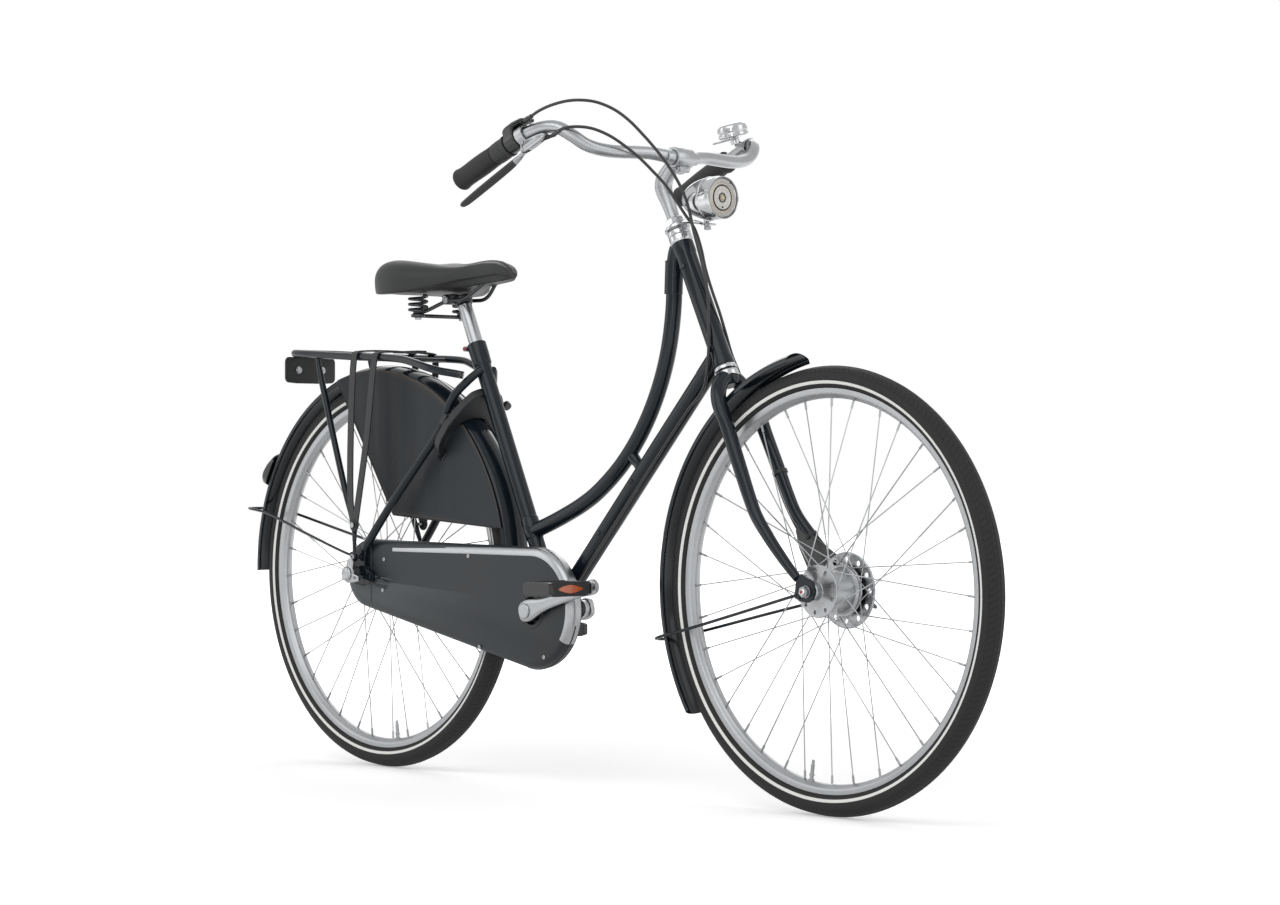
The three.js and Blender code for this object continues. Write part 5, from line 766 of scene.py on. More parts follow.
def travelling(line):
    """Two directions across a line at each of its points, that travel along it without twisting."""
    ahead = np.vstack([line[1:], line[-1]])
    behind = np.vstack([line[0], line[:-1]])
    along = ahead - behind
    for i in range(1, len(along)):
        if not along[i].any():
            along[i] = along[i - 1]
    along /= np.linalg.norm(along, axis=1)[:, None]
    across = np.array([0.0, 1.0, 0.0]) if abs(along[0][1]) < 0.9 else np.array([1.0, 0.0, 0.0])
    sides = []
    for way in along:
        across = across - way * across.dot(way)
        across = across / np.linalg.norm(across)
        sides.append(across)
    sides = np.array(sides)
    return sides, np.cross(along, sides)


def eased(outline, radius, steps=3, closed=True, least=22.0):
    """An outline with each sharp corner turned into a small arc."""
    points = [np.array(p, float) for p in outline]
    count = len(points)
    result = []
    for i, corner in enumerate(points):
        if not closed and i in (0, count - 1):
            result.append(corner)
            continue
        ways = [points[i - 1] - corner, points[(i + 1) % count] - corner]
        lengths = [max(np.linalg.norm(way), 1e-9) for way in ways]
        ways = [way / length for way, length in zip(ways, lengths)]
        if math.degrees(math.acos(max(-1.0, min(1.0, -ways[0].dot(ways[1]))))) < least:
            result.append(corner)
            continue
        size = min(radius, 0.42 * lengths[0], 0.42 * lengths[1])
        start, stop = corner + ways[0] * size, corner + ways[1] * size
        result.append(corner + ways[0] * (size + min(HOLD, 0.05 * lengths[0])))
        for step in range(steps + 1):
            t = step / steps
            result.append((1 - t) ** 2 * start + 2 * t * (1 - t) * corner + t ** 2 * stop)
        result.append(corner + ways[1] * (size + min(HOLD, 0.05 * lengths[1])))
    return np.array(result)


def circle(sides, phase=0.0):
    turns = phase + 2 * np.pi * np.arange(sides) / sides
    return np.stack([np.cos(turns), np.sin(turns)], axis=1)


def inset(outline, size):
    """A closed flat outline moved inwards by a size."""
    area = sum(a[0] * b[1] - a[1] * b[0] for a, b in zip(outline, np.roll(outline, -1, axis=0)))
    sense = 1.0 if area > 0 else -1.0
    ahead = np.roll(outline, -1, axis=0) - outline
    behind = outline - np.roll(outline, 1, axis=0)
    normals = []
    for one, two in zip(behind, ahead):
        one = one / max(np.linalg.norm(one), 1e-9)
        two = two / max(np.linalg.norm(two), 1e-9)
        whole = np.array([-one[1] - two[1], one[0] + two[0]]) * sense
        length = max(np.linalg.norm(whole), 0.6)
        normals.append(whole / length * min(2.0 / length, 1.4))
    return outline + np.array(normals) * size


class Shape:
    """A piece being built: points in millimetres, and faces that each have a finish."""

    def __init__(self):
        self.points, self.faces, self.looks, self.values = [], [], [], {}
        self.count = 0

    def put(self, points, faces, look, values=None, outward=True):
        points = np.array(points, float)
        if outward:
            volume = 0.0
            middle = points.mean(axis=0)
            for face in faces:
                fan = points[list(face)] - middle
                for i in range(1, len(face) - 1):
                    volume += fan[0].dot(np.cross(fan[i], fan[i + 1]))
            if volume < 0:
                faces = [tuple(reversed(face)) for face in faces]
        self.points.append(points)
        self.faces += [tuple(i + self.count for i in face) for face in faces]
        self.looks += [look] * len(faces)
        for key, value in (values or {}).items():
            self.values.setdefault(key, []).append((self.count, np.array(value, float).ravel()))
        self.count += len(points)
        return self

    def skin(self, rings, look, looped=False, lids=(True, True), **values):
        """Rings of points joined into one skin, closed by a lid at each end or by joining its ends."""
        rings = np.array(rings, float)
        number, size = rings.shape[:2]
        faces = []
        for i in range(number if looped else number - 1):
            low, high = i * size, ((i + 1) % number) * size
            for j in range(size):
                k = (j + 1) % size
                faces.append((low + j, low + k, high + k, high + j))
        if not looped and lids[0]:
            faces.append(tuple(reversed(range(size))))
        if not looped and lids[1]:
            faces.append(tuple((number - 1) * size + j for j in range(size)))
        return self.put(rings.reshape(-1, 3), faces, look, values)

    def turned(self, profile, foot, way, look, sides=40, round_by=0.6, phase=0.0):
        """A body turned about an axis: profile is [radius, height] pairs, axis to axis or round a ring."""
        foot, way = np.array(foot, float), np.array(way, float)
        way = way / np.linalg.norm(way)
        solid = profile[0][0] == 0 and profile[-1][0] == 0
        line = eased(profile, round_by, closed=not solid) if round_by else np.array(profile, float)
        seed = np.array([0.0, 0.0, 1.0]) if abs(way[2]) < 0.9 else np.array([1.0, 0.0, 0.0])
        across = np.cross(seed, way)
        across /= np.linalg.norm(across)
        up = np.cross(way, across)
        spin = circle(sides, phase)
        body = line[1:-1] if solid else line
        rings = [
            foot + way * h + r * (spin[:, :1] * across + spin[:, 1:] * up) for r, h in body
        ]
        size, number = sides, len(rings)
        points = np.array(rings).reshape(-1, 3)
        faces = []
        for i in range(number - 1 if solid else number):
            low, high = i * size, ((i + 1) % number) * size
            for j in range(size):
                k = (j + 1) % size
                faces.append((low + j, low + k, high + k, high + j))
        radius = np.repeat([r for r, _ in body], size)
        across_share = np.repeat(np.linspace(0, 1, number), size)
        around = np.tile(np.arange(size) / size, number)
        if solid:
            start, stop = len(points), len(points) + 1
            points = np.vstack([points, foot + way * line[0][1], foot + way * line[-1][1]])
            for j in range(size):
                k = (j + 1) % size
                faces.append((start, k, j))
                faces.append((stop, (number - 1) * size + j, (number - 1) * size + k))
            radius = np.append(radius, [0, 0])
            across_share, around = np.append(across_share, [0, 1]), np.append(around, [0, 0])
        return self.put(points, faces, look, {"radius": radius, "across": across_share, "around": around})

    def rod(self, start, stop, radius, look, end=None, sides=32, round_by=0.6, phase=0.0):
        start, stop = np.array(start, float), np.array(stop, float)
        length = np.linalg.norm(stop - start)
        end = radius if end is None else end
        profile = [[0, 0], [radius, 0], [end, length], [0, length]]
        return self.turned(profile, start, stop - start, look, sides, round_by, phase)

    def pipe(self, route, radius, look, sides=24, per=6, flat=None, ends=True):
        """A round bar along a smooth route; radius is one number or one for each point of the route."""
        line = catmull(route, per) if per > 1 else np.array(route, float)
        places = np.arange(len(line)) / per
        size = np.interp(
            places, np.arange(len(route)), radius
        ) if np.ndim(radius) else np.full(len(line), radius)
        squeeze = np.interp(places, np.arange(len(route)), flat) if flat is not None else np.ones(len(line))
        across, up = travelling(line)
        spin = circle(sides)
        rings = [
            p + s * (spin[:, :1] * a * q + spin[:, 1:] * u) for p, s, a, u,
            q in zip(line, size, across, up, squeeze)
        ]
        if ends:
            first = line[0] - (line[1] - line[0]) / np.linalg.norm(line[1] - line[0]) * 0
            rings = [first + (rings[0] - first) * share for share in (0.0001, 0.9)] + rings
            last = line[-1]
            rings = rings + [last + (rings[-1] - last) * share for share in (0.9, 0.0001)]
        span = np.cumsum(np.append([0], np.linalg.norm(np.diff(line, axis=0), axis=1)))
        extra = 2 if ends else 0
        along = np.concatenate([[span[0]] * extra, span, [span[-1]] * extra])
        around = np.tile(np.arange(sides) / sides, len(rings))
        return self.skin(rings, look, along=np.repeat(along, sides), around=around)

    def slab(
        self, outline, low, high, look, origin=(0, 0, 0), u=(1, 0, 0), v=(0, 0, 1), w=(0, 1, 0), edge=0.8,
        corner=0.0
    ):
        """A plate with softened edges; its outline lies along u and v, and its thickness along w."""
        flat = eased(outline, corner) if corner else np.array(outline, float)
        origin, u, v, w = (np.array(t, float) for t in (origin, u, v, w))
        edge = min(edge, 0.45 * (high - low))
        steps = [(edge + HOLD, 0.0), (edge, 0.0), (0.3 * edge, 0.3 * edge), (0.0, edge), (0.0, edge + HOLD)]
        steps = steps if edge > 0 else [(0.0, 0.0)]
        rings = []
        for size, depth in steps + [(size, -depth) for size, depth in reversed(steps)]:
            place = low + depth if len(rings) < len(steps) else high + depth
            ring = inset(flat, size) if size else flat
            rings.append(origin + ring[:, :1] * u + ring[:, 1:] * v + place * w)
        return self.skin(rings, look)

    def block(self, low, high, look, edge=0.6, **frame_of):
        outline = [[low[0], low[2]], [high[0], low[2]], [high[0], high[2]], [low[0], high[2]]]
        return self.slab(outline, low[1], high[1], look, edge=edge, **frame_of)

    def mirrored(self, start=0):
        """Adds the mirror image, across the middle plane, of what was put in from a given face on."""
        old_points = np.vstack(self.points)
        old_faces = self.faces[start:]
        old_looks = self.looks[start:]
        shift = self.count
        self.points.append(old_points * np.array([1.0, -1.0, 1.0]))
        self.faces += [tuple(i + shift for i in reversed(face)) for face in old_faces]
        self.looks += old_looks
        for chunks in self.values.values():
            for offset, value in list(chunks):
                chunks.append((offset + shift, value))
        self.count += len(old_points)
        return self

    def make(self, name, body=None, nodes=(), slot=None, sharp=32.0):
        """The finished object, riding its body and standing for its CAD nodes."""
        points = np.vstack(self.points)
        mesh = bpy.data.meshes.new(name)
        places = points * MM + np.array([HUB_X, 0.0, GROUND])
        used = sorted({i for face in self.faces for i in face})
        renumber = {old: new for new, old in enumerate(used)}
        mesh.from_pydata(places[used].tolist(), [], [tuple(renumber[i] for i in face) for face in self.faces])
        looks = list(dict.fromkeys(self.looks))
        for look in looks:
            mesh.materials.append(LOOK[look])
        mesh.polygons.foreach_set("material_index", [looks.index(look) for look in self.looks])
        for key, chunks in self.values.items():
            values = np.zeros(self.count)
            for offset, value in chunks:
                values[offset:offset + len(value)] = value
            mesh.attributes.new(key, "FLOAT", "POINT").data.foreach_set("value", values[used])
        mesh.validate()
        mesh.shade_smooth()
        mesh.set_sharp_from_angle(angle=math.radians(sharp))
        piece = bpy.data.objects.new(name, mesh)
        bpy.context.scene.collection.objects.link(piece)
        settle(piece, body, nodes)
        return piece


def settle(piece, body, nodes=()):
    if body:
        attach(piece, body)
    if nodes:
        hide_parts(*nodes)
    return piece


def cutter(shape):
    """A shape made for cutting, as an object that carve() takes away again."""
    return shape.make("cutting_tool")


def carve(piece, *tools, overlaps=False):
    """Cuts tools out of a piece and removes them; overlaps says that the piece is of bodies that cross."""
    for tool in tools:
        cut = piece.modifiers.new("cut", "BOOLEAN")
        cut.operation, cut.solver, cut.object = "DIFFERENCE", "EXACT", tool
        cut.use_self = overlaps
    bpy.context.view_layer.update()
    depsgraph = bpy.context.evaluated_depsgraph_get()
    mesh = bpy.data.meshes.new_from_object(piece.evaluated_get(depsgraph))
    piece.modifiers.clear()
    old = piece.data
    piece.data = mesh
    mesh.set_sharp_from_angle(angle=math.radians(32))
    bpy.data.meshes.remove(old)
    for tool in tools:
        bpy.data.objects.remove(tool)
    return piece


# Things that repeat


def geometry_tree(name, inputs):
    """A new geometry node tree with named inputs, a short way to write it, and its input node."""
    tree = bpy.data.node_groups.new(name, "GeometryNodeTree")
    for label, kind in inputs:
        tree.interface.new_socket(label, in_out="INPUT", socket_type=kind)
    tree.interface.new_socket("Geometry", in_out="OUTPUT", socket_type="NodeSocketGeometry")
    nodes = Nodes(tree)
    return tree, nodes, nodes.add("NodeGroupInput")


def end_tree(nodes, geometry, source):
    real = nodes.add("GeometryNodeRealizeInstances", {0: geometry})
    smooth = nodes.add("GeometryNodeSetShadeSmooth", {0: real.outputs[0]})
    painted = nodes.add(
        "GeometryNodeSetMaterial", {0: smooth.outputs[0], "Material": source.outputs["Finish"]}
    )
    sink = nodes.add("NodeGroupOutput")
    nodes.tree.links.new(painted.outputs[0], sink.inputs[0])


def spoke_tree():
    """Wires from a ring on the hub to a ring on the rim, leaning forward and back by turns."""
    tree, nodes, source = geometry_tree("crossed_spokes", [
        ("Count", "NodeSocketInt"), ("Hub Radius", "NodeSocketFloat"), ("Rim Radius", "NodeSocketFloat"),
        ("Hub Side", "NodeSocketFloat"), ("Rim Side", "NodeSocketFloat"), ("Hub Stagger", "NodeSocketFloat"),
        ("Rim Stagger", "NodeSocketFloat"), ("Phase", "NodeSocketFloat"), ("Turn", "NodeSocketFloat"),
        ("Start", "NodeSocketFloat"), ("Stop", "NodeSocketFloat"), ("Wire", "NodeSocketFloat"),
        ("Centre", "NodeSocketVector"), ("Finish", "NodeSocketMaterial"),
    ])
    given = source.outputs
    row = nodes.add("GeometryNodeMeshLine", {"Count": given["Count"]})
    index = nodes.add("GeometryNodeInputIndex").outputs[0]
    lean = nodes.math("SUBTRACT", 1.0, nodes.math("MULTIPLY", nodes.math("MODULO", index, 2.0), 2.0))
    seat = nodes.math(
        "ADD", given["Phase"],
        nodes.math("DIVIDE", nodes.math("MULTIPLY", index, 2 * math.pi), given["Count"])
    )
    side = nodes.math("SIGN", given["Hub Side"])
    outward = nodes.math("MULTIPLY", lean, side)

    def place(radius, turn, y):
        parts = nodes.add("ShaderNodeCombineXYZ", {
            0: nodes.math("MULTIPLY", radius, nodes.math("COSINE", turn)), 1: y,
            2: nodes.math("MULTIPLY", radius, nodes.math("SINE", turn)),
        })
        return nodes.add(
            "ShaderNodeVectorMath", {0: parts.outputs[0], 1: given["Centre"]}, operation="ADD"
        ).outputs[0]

    head = place(
        given["Hub Radius"], seat,
        nodes.math("ADD", given["Hub Side"], nodes.math("MULTIPLY", outward, given["Hub Stagger"])),
    )
    tip = place(
        given["Rim Radius"], nodes.math("ADD", seat, nodes.math("MULTIPLY", lean, given["Turn"])),
        nodes.math("ADD", given["Rim Side"], nodes.math("MULTIPLY", outward, given["Rim Stagger"])),
    )
    whole = nodes.add("ShaderNodeVectorMath", {0: tip, 1: head}, operation="SUBTRACT").outputs[0]

    def share(amount):
        part = nodes.add("ShaderNodeVectorMath", {0: whole, "Scale": amount}, operation="SCALE").outputs[0]
        return nodes.add("ShaderNodeVectorMath", {0: head, 1: part}, operation="ADD").outputs[0]

    way = nodes.add(
        "ShaderNodeVectorMath", {0: share(given["Stop"]), 1: share(given["Start"])}, operation="SUBTRACT"
    )
    kept = nodes.add("GeometryNodeStoreNamedAttribute", {
        "Geometry": row.outputs[0], "Name": "way", "Value": way.outputs[0],
    }, data_type="FLOAT_VECTOR", domain="POINT")
    placed = nodes.add("GeometryNodeSetPosition", {0: kept.outputs[0], "Position": share(given["Start"])})
    stored = nodes.add("GeometryNodeInputNamedAttribute", {"Name": "way"}, data_type="FLOAT_VECTOR")
    free = nodes.add("GeometryNodeMeshToPoints", {0: placed.outputs[0]})
    loose = nodes.add("GeometryNodePointsToVertices", {0: free.outputs[0]})
    drawn = nodes.add("GeometryNodeExtrudeMesh", {
        "Mesh": loose.outputs[0], "Offset": stored.outputs[0], "Offset Scale": 1.0,
    }, mode="VERTICES")
    curve = nodes.add("GeometryNodeMeshToCurve", {0: drawn.outputs[0]})
    ring = nodes.add("GeometryNodeCurvePrimitiveCircle", {"Resolution": 8, "Radius": given["Wire"]})
    wires = nodes.add("GeometryNodeCurveToMesh", {
        "Curve": curve.outputs[0], "Profile Curve": ring.outputs[0], "Fill Caps": True,
    })
    end_tree(nodes, wires.outputs[0], source)
    return tree


def coil_tree():
    """A round wire wound about an upright axis."""
    tree, nodes, source = geometry_tree("wound_spring", [
        ("Turns", "NodeSocketFloat"), ("Radius", "NodeSocketFloat"), ("Height", "NodeSocketFloat"),
        ("Wire", "NodeSocketFloat"), ("Foot", "NodeSocketVector"), ("Finish", "NodeSocketMaterial"),
    ])
    given = source.outputs
    spiral = nodes.add("GeometryNodeCurveSpiral", {
        "Resolution": 48, "Rotations": given["Turns"], "Start Radius": given["Radius"],
        "End Radius": given["Radius"], "Height": given["Height"],
    })
    moved = nodes.add("GeometryNodeSetPosition", {0: spiral.outputs[0], "Offset": given["Foot"]})
    ring = nodes.add("GeometryNodeCurvePrimitiveCircle", {"Resolution": 16, "Radius": given["Wire"]})
    wire = nodes.add("GeometryNodeCurveToMesh", {
        "Curve": moved.outputs[0], "Profile Curve": ring.outputs[0], "Fill Caps": True,
    })
    end_tree(nodes, wire.outputs[0], source)
    return tree


def rib_tree():
    """A row of equal ribs from one point to another, each a small eight-sided bar."""
    tree, nodes, source = geometry_tree("row_of_ribs", [
        ("Count", "NodeSocketInt"), ("First", "NodeSocketVector"), ("Step", "NodeSocketVector"),
        ("Length", "NodeSocketFloat"), ("Radius", "NodeSocketFloat"), ("Flat", "NodeSocketFloat"),
        ("Turn", "NodeSocketRotation"), ("Finish", "NodeSocketMaterial"),
    ])
    given = source.outputs
    row = nodes.add("GeometryNodeMeshLine", {
        "Count": given["Count"], "Start Location": given["First"], "Offset": given["Step"],
    })
    bar = nodes.add("GeometryNodeMeshCylinder", {
        "Vertices": 8, "Radius": given["Radius"], "Depth": given["Length"], "Side Segments": 1,
    })
    size = nodes.add("ShaderNodeCombineXYZ", {0: 1.0, 1: given["Flat"], 2: 1.0})
    set_out = nodes.add(
        "GeometryNodeInstanceOnPoints",
        {
            "Points": row.outputs[0], "Instance": bar.outputs[0], "Rotation": given["Turn"],
            "Scale": size.outputs[0]
        }
    )
    end_tree(nodes, set_out.outputs[0], source)
    return tree


def grown(name, tree, body, look, slot=None, **inputs):
    """The mesh that a node tree makes with the given sizes, as a plain object that rides its body."""
    piece = bpy.data.objects.new(name, bpy.data.meshes.new(name))
    bpy.context.scene.collection.objects.link(piece)
    modifier = piece.modifiers.new(name, "NODES")
    modifier.node_group = tree
    values = {key.replace("_", " ").title(): value for key, value in inputs.items()}
    values["Finish"] = LOOK[look]
    for item in tree.interface.items_tree:
        if item.item_type == "SOCKET" and item.in_out == "INPUT":
            modifier[item.identifier] = values[item.name]
    bpy.context.view_layer.update()
    depsgraph = bpy.context.evaluated_depsgraph_get()
    mesh = bpy.data.meshes.new_from_object(piece.evaluated_get(depsgraph))
    piece.modifiers.clear()
    piece.data = mesh
    mesh.set_sharp_from_angle(angle=math.radians(40))
    return settle(piece, body, ())


SPOKES, COIL, RIBS = spoke_tree(), coil_tree(), rib_tree()


# Places and directions


def unit(v):
    v = np.array(v, float)
    return v / np.linalg.norm(v)


def deg(turn):
    return math.radians(turn)


STEER_UP = np.array([-math.sin(deg(STEER_LEAN_ANGLE)), 0, math.cos(deg(STEER_LEAN_ANGLE))])
SEAT_UP = unit(np.array(SEAT_TUBE_TOP) - np.array(CRANK_AXIS))
LEG = unit([BAR_LEG[0], -BAR_LEG[1], BAR_LEG[2]])
LEG_UP = unit(np.array([0, 0, 1]) - LEG * LEG[2])
LEG_IN = np.cross(LEG_UP, LEG)
BAR_TIP = np.array([BAR_END[0], -BAR_END[1], BAR_END[2]])
LOCK_OUT = np.array([math.cos(deg(LOCK_ANGLE)), 0, math.sin(deg(LOCK_ANGLE))])
LOCK_WAY = np.array([math.sin(deg(LOCK_ANGLE)), 0, -math.cos(deg(LOCK_ANGLE))])
LOCK_CENTRE = np.array([0, 0, TYRE_RADIUS]) + LOCK_OUT * LOCK_REACH
LOCK_PLANE = {"origin": LOCK_CENTRE, "u": (0, 1, 0), "v": LOCK_OUT, "w": LOCK_WAY}
LEG_PLANE = {"origin": BAR_TIP, "u": LEG, "v": LEG_UP, "w": LEG_IN}


def steer(height, side=0.0, ahead=0.0):
    return np.array(STEER_FOOT) + STEER_UP * height + np.array(
        [math.cos(deg(STEER_LEAN_ANGLE)), 0, math.sin(deg(STEER_LEAN_ANGLE))]
    ) * ahead + np.array([0, side, 0])


def seat(height):
    return np.array(SEAT_TUBE_TOP) + SEAT_UP * height


def leg(along, up=0.0, inward=0.0):
    return BAR_TIP + LEG * along + LEG_UP * up + LEG_IN * inward


def arc(x, z, radius, start, stop, steps):
    turns = np.radians(np.linspace(start, stop, steps + 1))
    return np.stack([x + radius * np.cos(turns), z + radius * np.sin(turns)], axis=1)


def convex(spots):
    """The convex outline of some flat points, anticlockwise."""
    spots = sorted(map(tuple, np.round(spots, 5)))

    def half(row):
        chain = []
        for p in row:
            while len(chain) > 1 and (
                (chain[-1][0] - chain[-2][0]) * (p[1] - chain[-2][1])
                - (chain[-1][1] - chain[-2][1]) * (p[0] - chain[-2][0])
            ) <= 0:
                chain.pop()
            chain.append(p)
        return chain[:-1]

    return np.array(half(spots) + half(spots[::-1]))


def round_circles(circles, steps=40):
    return convex(np.vstack([arc(x, z, r, 0, 360 - 360 / steps, steps - 1) for x, z, r in circles]))


def hexagon(radius, phase=0.0):
    return circle(6, phase) * radius


def nut(shape, foot, way, radius, height, look, washer=0.0):
    """A hexagon nut with rounded corners, standing on a thin washer."""
    foot, way = np.array(foot, float), unit(way)
    if washer:
        shape.turned(oblong(0, washer, 0, 1.2), foot, way, look, 32, 0.3)
    seed = np.array([0.0, 0.0, 1.0]) if abs(way[2]) < 0.9 else np.array([1.0, 0.0, 0.0])
    u = unit(np.cross(seed, way))
    shape.slab(
        hexagon(radius, 0.3), 1.2 if washer else 0.0, height, look, foot, u, np.cross(way, u), way, 0.8
    )


def bolt_head(shape, foot, way, radius, height, look="steel"):
    """A round bolt head with a socket in it."""
    shape.turned(
        [
            [0, 0], [radius, 0], [radius, height], [0.55 * radius, height], [0.5 * radius, 0.35 * height],
            [0, 0.3 * height]
        ],
        foot, way, look, 28, 0.35
    )


# Frame


def frame_tubes():
    head = Shape()
    top = HEAD_LENGTH - HEAD_CUP_HIGH
    head.turned(
        [
            [15.5, HEAD_CUP_LOW + 1], [HEAD_RADIUS + 1.2, HEAD_CUP_LOW + 1], [HEAD_RADIUS + 1.2, 20],
            [HEAD_RADIUS, 24], [HEAD_RADIUS, top - 24], [HEAD_RADIUS + 1.2, top - 20],
            [HEAD_RADIUS + 1.2, top - 1], [15.5, top - 1]
        ],
        STEER_FOOT, STEER_UP, "paint", 56, 0.8
    )
    head.turned(
        [[14, 0.2], [HEAD_CUP_RADIUS, 0.2], [HEAD_CUP_RADIUS, 4.6], [HEAD_RADIUS + 0.6, 7.8], [14, 7.8]],
        STEER_FOOT, STEER_UP, "chrome", 56, 0.8,
    )
    head.turned(
        [
            [14, top - 0.5], [HEAD_RADIUS + 0.8, top - 0.5], [HEAD_CUP_RADIUS, top + 3],
            [HEAD_CUP_RADIUS, HEAD_LENGTH - 0.2], [14, HEAD_LENGTH - 0.2]
        ],
        STEER_FOOT, STEER_UP, "chrome", 56, 0.8
    )
    # small cable guides on the right side of the head tube
    for height in (40, 190):
        head.block(
            (-6, 16.2, -3), (6, 19.2, 3), "paint", origin=steer(height),
            u=(math.cos(deg(STEER_LEAN_ANGLE)), 0, math.sin(deg(STEER_LEAN_ANGLE))), v=STEER_UP,
            w=(0, -1, 0)
        )
    head.make("head_tube_dressed", "frame", ["head_tube"], sharp=30)

    curve = Shape()
    curve.pipe(TOP_TUBE_ROUTE, TOP_TUBE_RADIUS, "paint", 40, 8)
    curve.pipe([TOP_TUBE_SLEEVE[0], TOP_TUBE_SLEEVE[1]], TOP_TUBE_SLEEVE_RADIUS, "paint", 40, 4)
    for end in TOP_TUBE_SLEEVE:
        curve.turned(
            oblong(13, TOP_TUBE_SLEEVE_RADIUS + 0.2, -1.5, 1.5),
            end, np.array(TOP_TUBE_SLEEVE[1]) - TOP_TUBE_SLEEVE[0], "paint", 40, 0.8,
        )
    curve.pipe(
        [
            BRIDGE_TOP, ((BRIDGE_TOP[0] + BRIDGE_LOW[0]) / 2, 0, (BRIDGE_TOP[2] + BRIDGE_LOW[2]) / 2),
            BRIDGE_LOW
        ],
        [11, 9, 11], "paint", 32, 6
    )
    curve.make("top_tube_dressed", "frame", ["top_tube"])

    down = Shape()
    down.rod(CRANK_AXIS, DOWN_TUBE_HEAD, DOWN_TUBE_RADIUS, "paint", sides=48)
    way = unit(np.array(DOWN_TUBE_HEAD) - CRANK_AXIS)
    end = np.array(DOWN_TUBE_HEAD)
    # sleeve where the tube enters the head tube, cut in a soft curve
    down.turned(
        [
            [0, -46], [DOWN_TUBE_RADIUS + 0.1, -46], [DOWN_TUBE_RADIUS + 0.5, -43],
            [DOWN_TUBE_RADIUS + 0.5, 0], [0, 0]
        ],
        end, way, "paint", 48, 1.2
    )
    for height in (22.0, 140.0):
        spot = np.array(CRANK_AXIS) + way * (160 + height)
        down.turned(
            oblong(2.4, 4.4, -4, 4), spot + np.array([0, -DOWN_TUBE_RADIUS + 2.6, 0]), way, "paint", 24, 0.5
        )
    down.make("down_tube_dressed", "frame", ["down_tube"])

    upright = Shape()
    upright.rod(CRANK_AXIS, SEAT_TUBE_TOP, SEAT_TUBE_RADIUS, "paint", sides=48)
    upright.turned(
        [
            [12.6, -2 * SEAT_COLLAR_LENGTH], [SEAT_TUBE_RADIUS, -2 * SEAT_COLLAR_LENGTH],
            [SEAT_COLLAR_RADIUS - 0.6, -1.8 * SEAT_COLLAR_LENGTH],
            [SEAT_COLLAR_RADIUS, -SEAT_COLLAR_LENGTH], [SEAT_COLLAR_RADIUS, 0], [12.6, 0]
        ],
        SEAT_TUBE_TOP, SEAT_UP, "paint", 48, 0.8
    )
    binder = seat(-9) + np.array([-1, 0, 0]) * (SEAT_COLLAR_RADIUS + 2.5)
    upright.rod(binder + np.array([0, -11, 0]), binder + np.array([0, 11, 0]), 4.6, "paint")
    bolt_head(upright, binder + np.array([0, -11, 0]), (0, -1, 0), 4.6, 3.6)
    upright.turned(
        [[0, 0], [3.4, 0], [3.4, 1.6], [0, 2.4]], binder + np.array([0, -14.4, 0]), (0, -1, 0), "red_dot",
        24, 0.5
    )
    # lug round the foot of the curved tube
    foot = np.array(CRANK_AXIS) + SEAT_UP * 152
    upright.turned(
        [
            [0, -20], [SEAT_TUBE_RADIUS + 0.2, -20], [SEAT_TUBE_RADIUS + 1.4, -17],
            [SEAT_TUBE_RADIUS + 1.4, 17], [SEAT_TUBE_RADIUS + 0.2, 20], [0, 20]
        ],
        foot, SEAT_UP, "paint", 48, 1.0
    )
    upright.make("seat_tube_dressed", "frame", ["seat_tube"])

    stays = Shape()
    x, _, z = CRANK_AXIS
    stays.turned(
        oblong(SPINDLE_RADIUS + 0.4, SHELL_RADIUS, -SHELL_HALF, SHELL_HALF),
        (x, 0, z), (0, 1, 0), "paint", 56, 1.2,
    )
    half = Shape()
    # each stay is drawn in behind the case, and thin where it meets its dropout
    inner = [[x, y - (7.5 if 40 < x < 400 else 0), z] for x, y, z in CHAIN_STAY_ROUTE]
    inner.insert(4, [44, 54.4, 343.4])
    half.pipe(inner, CHAIN_STAY_RADII[:4] + [5.6, 5.4], "paint", 28, 8)
    half.slab(DROPOUT_OUTLINE, DROPOUT_Y[0], DROPOUT_Y[1], "paint", corner=3, edge=0.9)
    half.mirrored()
    stays.put(np.vstack(half.points), half.faces, "paint", outward=False)
    bridge = [
        [STAY_BRIDGE_X, -STAY_BRIDGE_HALF, STAY_BRIDGE_Z], [STAY_BRIDGE_X, STAY_BRIDGE_HALF, STAY_BRIDGE_Z]
    ]
    stays.rod(*bridge, STAY_BRIDGE_RADIUS, "paint")
    stays.make("chain_stays_dressed", "frame", ["chain_stays"])

    for side, name in ((1, "left"), (-1, "right")):
        stay = Shape()
        route = [(px, side * py, pz) for px, py, pz in SEAT_STAY_ROUTE]
        radii = [5.6, 7.0] + [SEAT_STAY_RADIUS] * (len(route) - 3) + [6.2]
        stay.pipe(route, radii, "paint", 28, 8)
        stay.make(f"seat_stay_{name}_dressed", "frame", [f"seat_stay_{name}"])


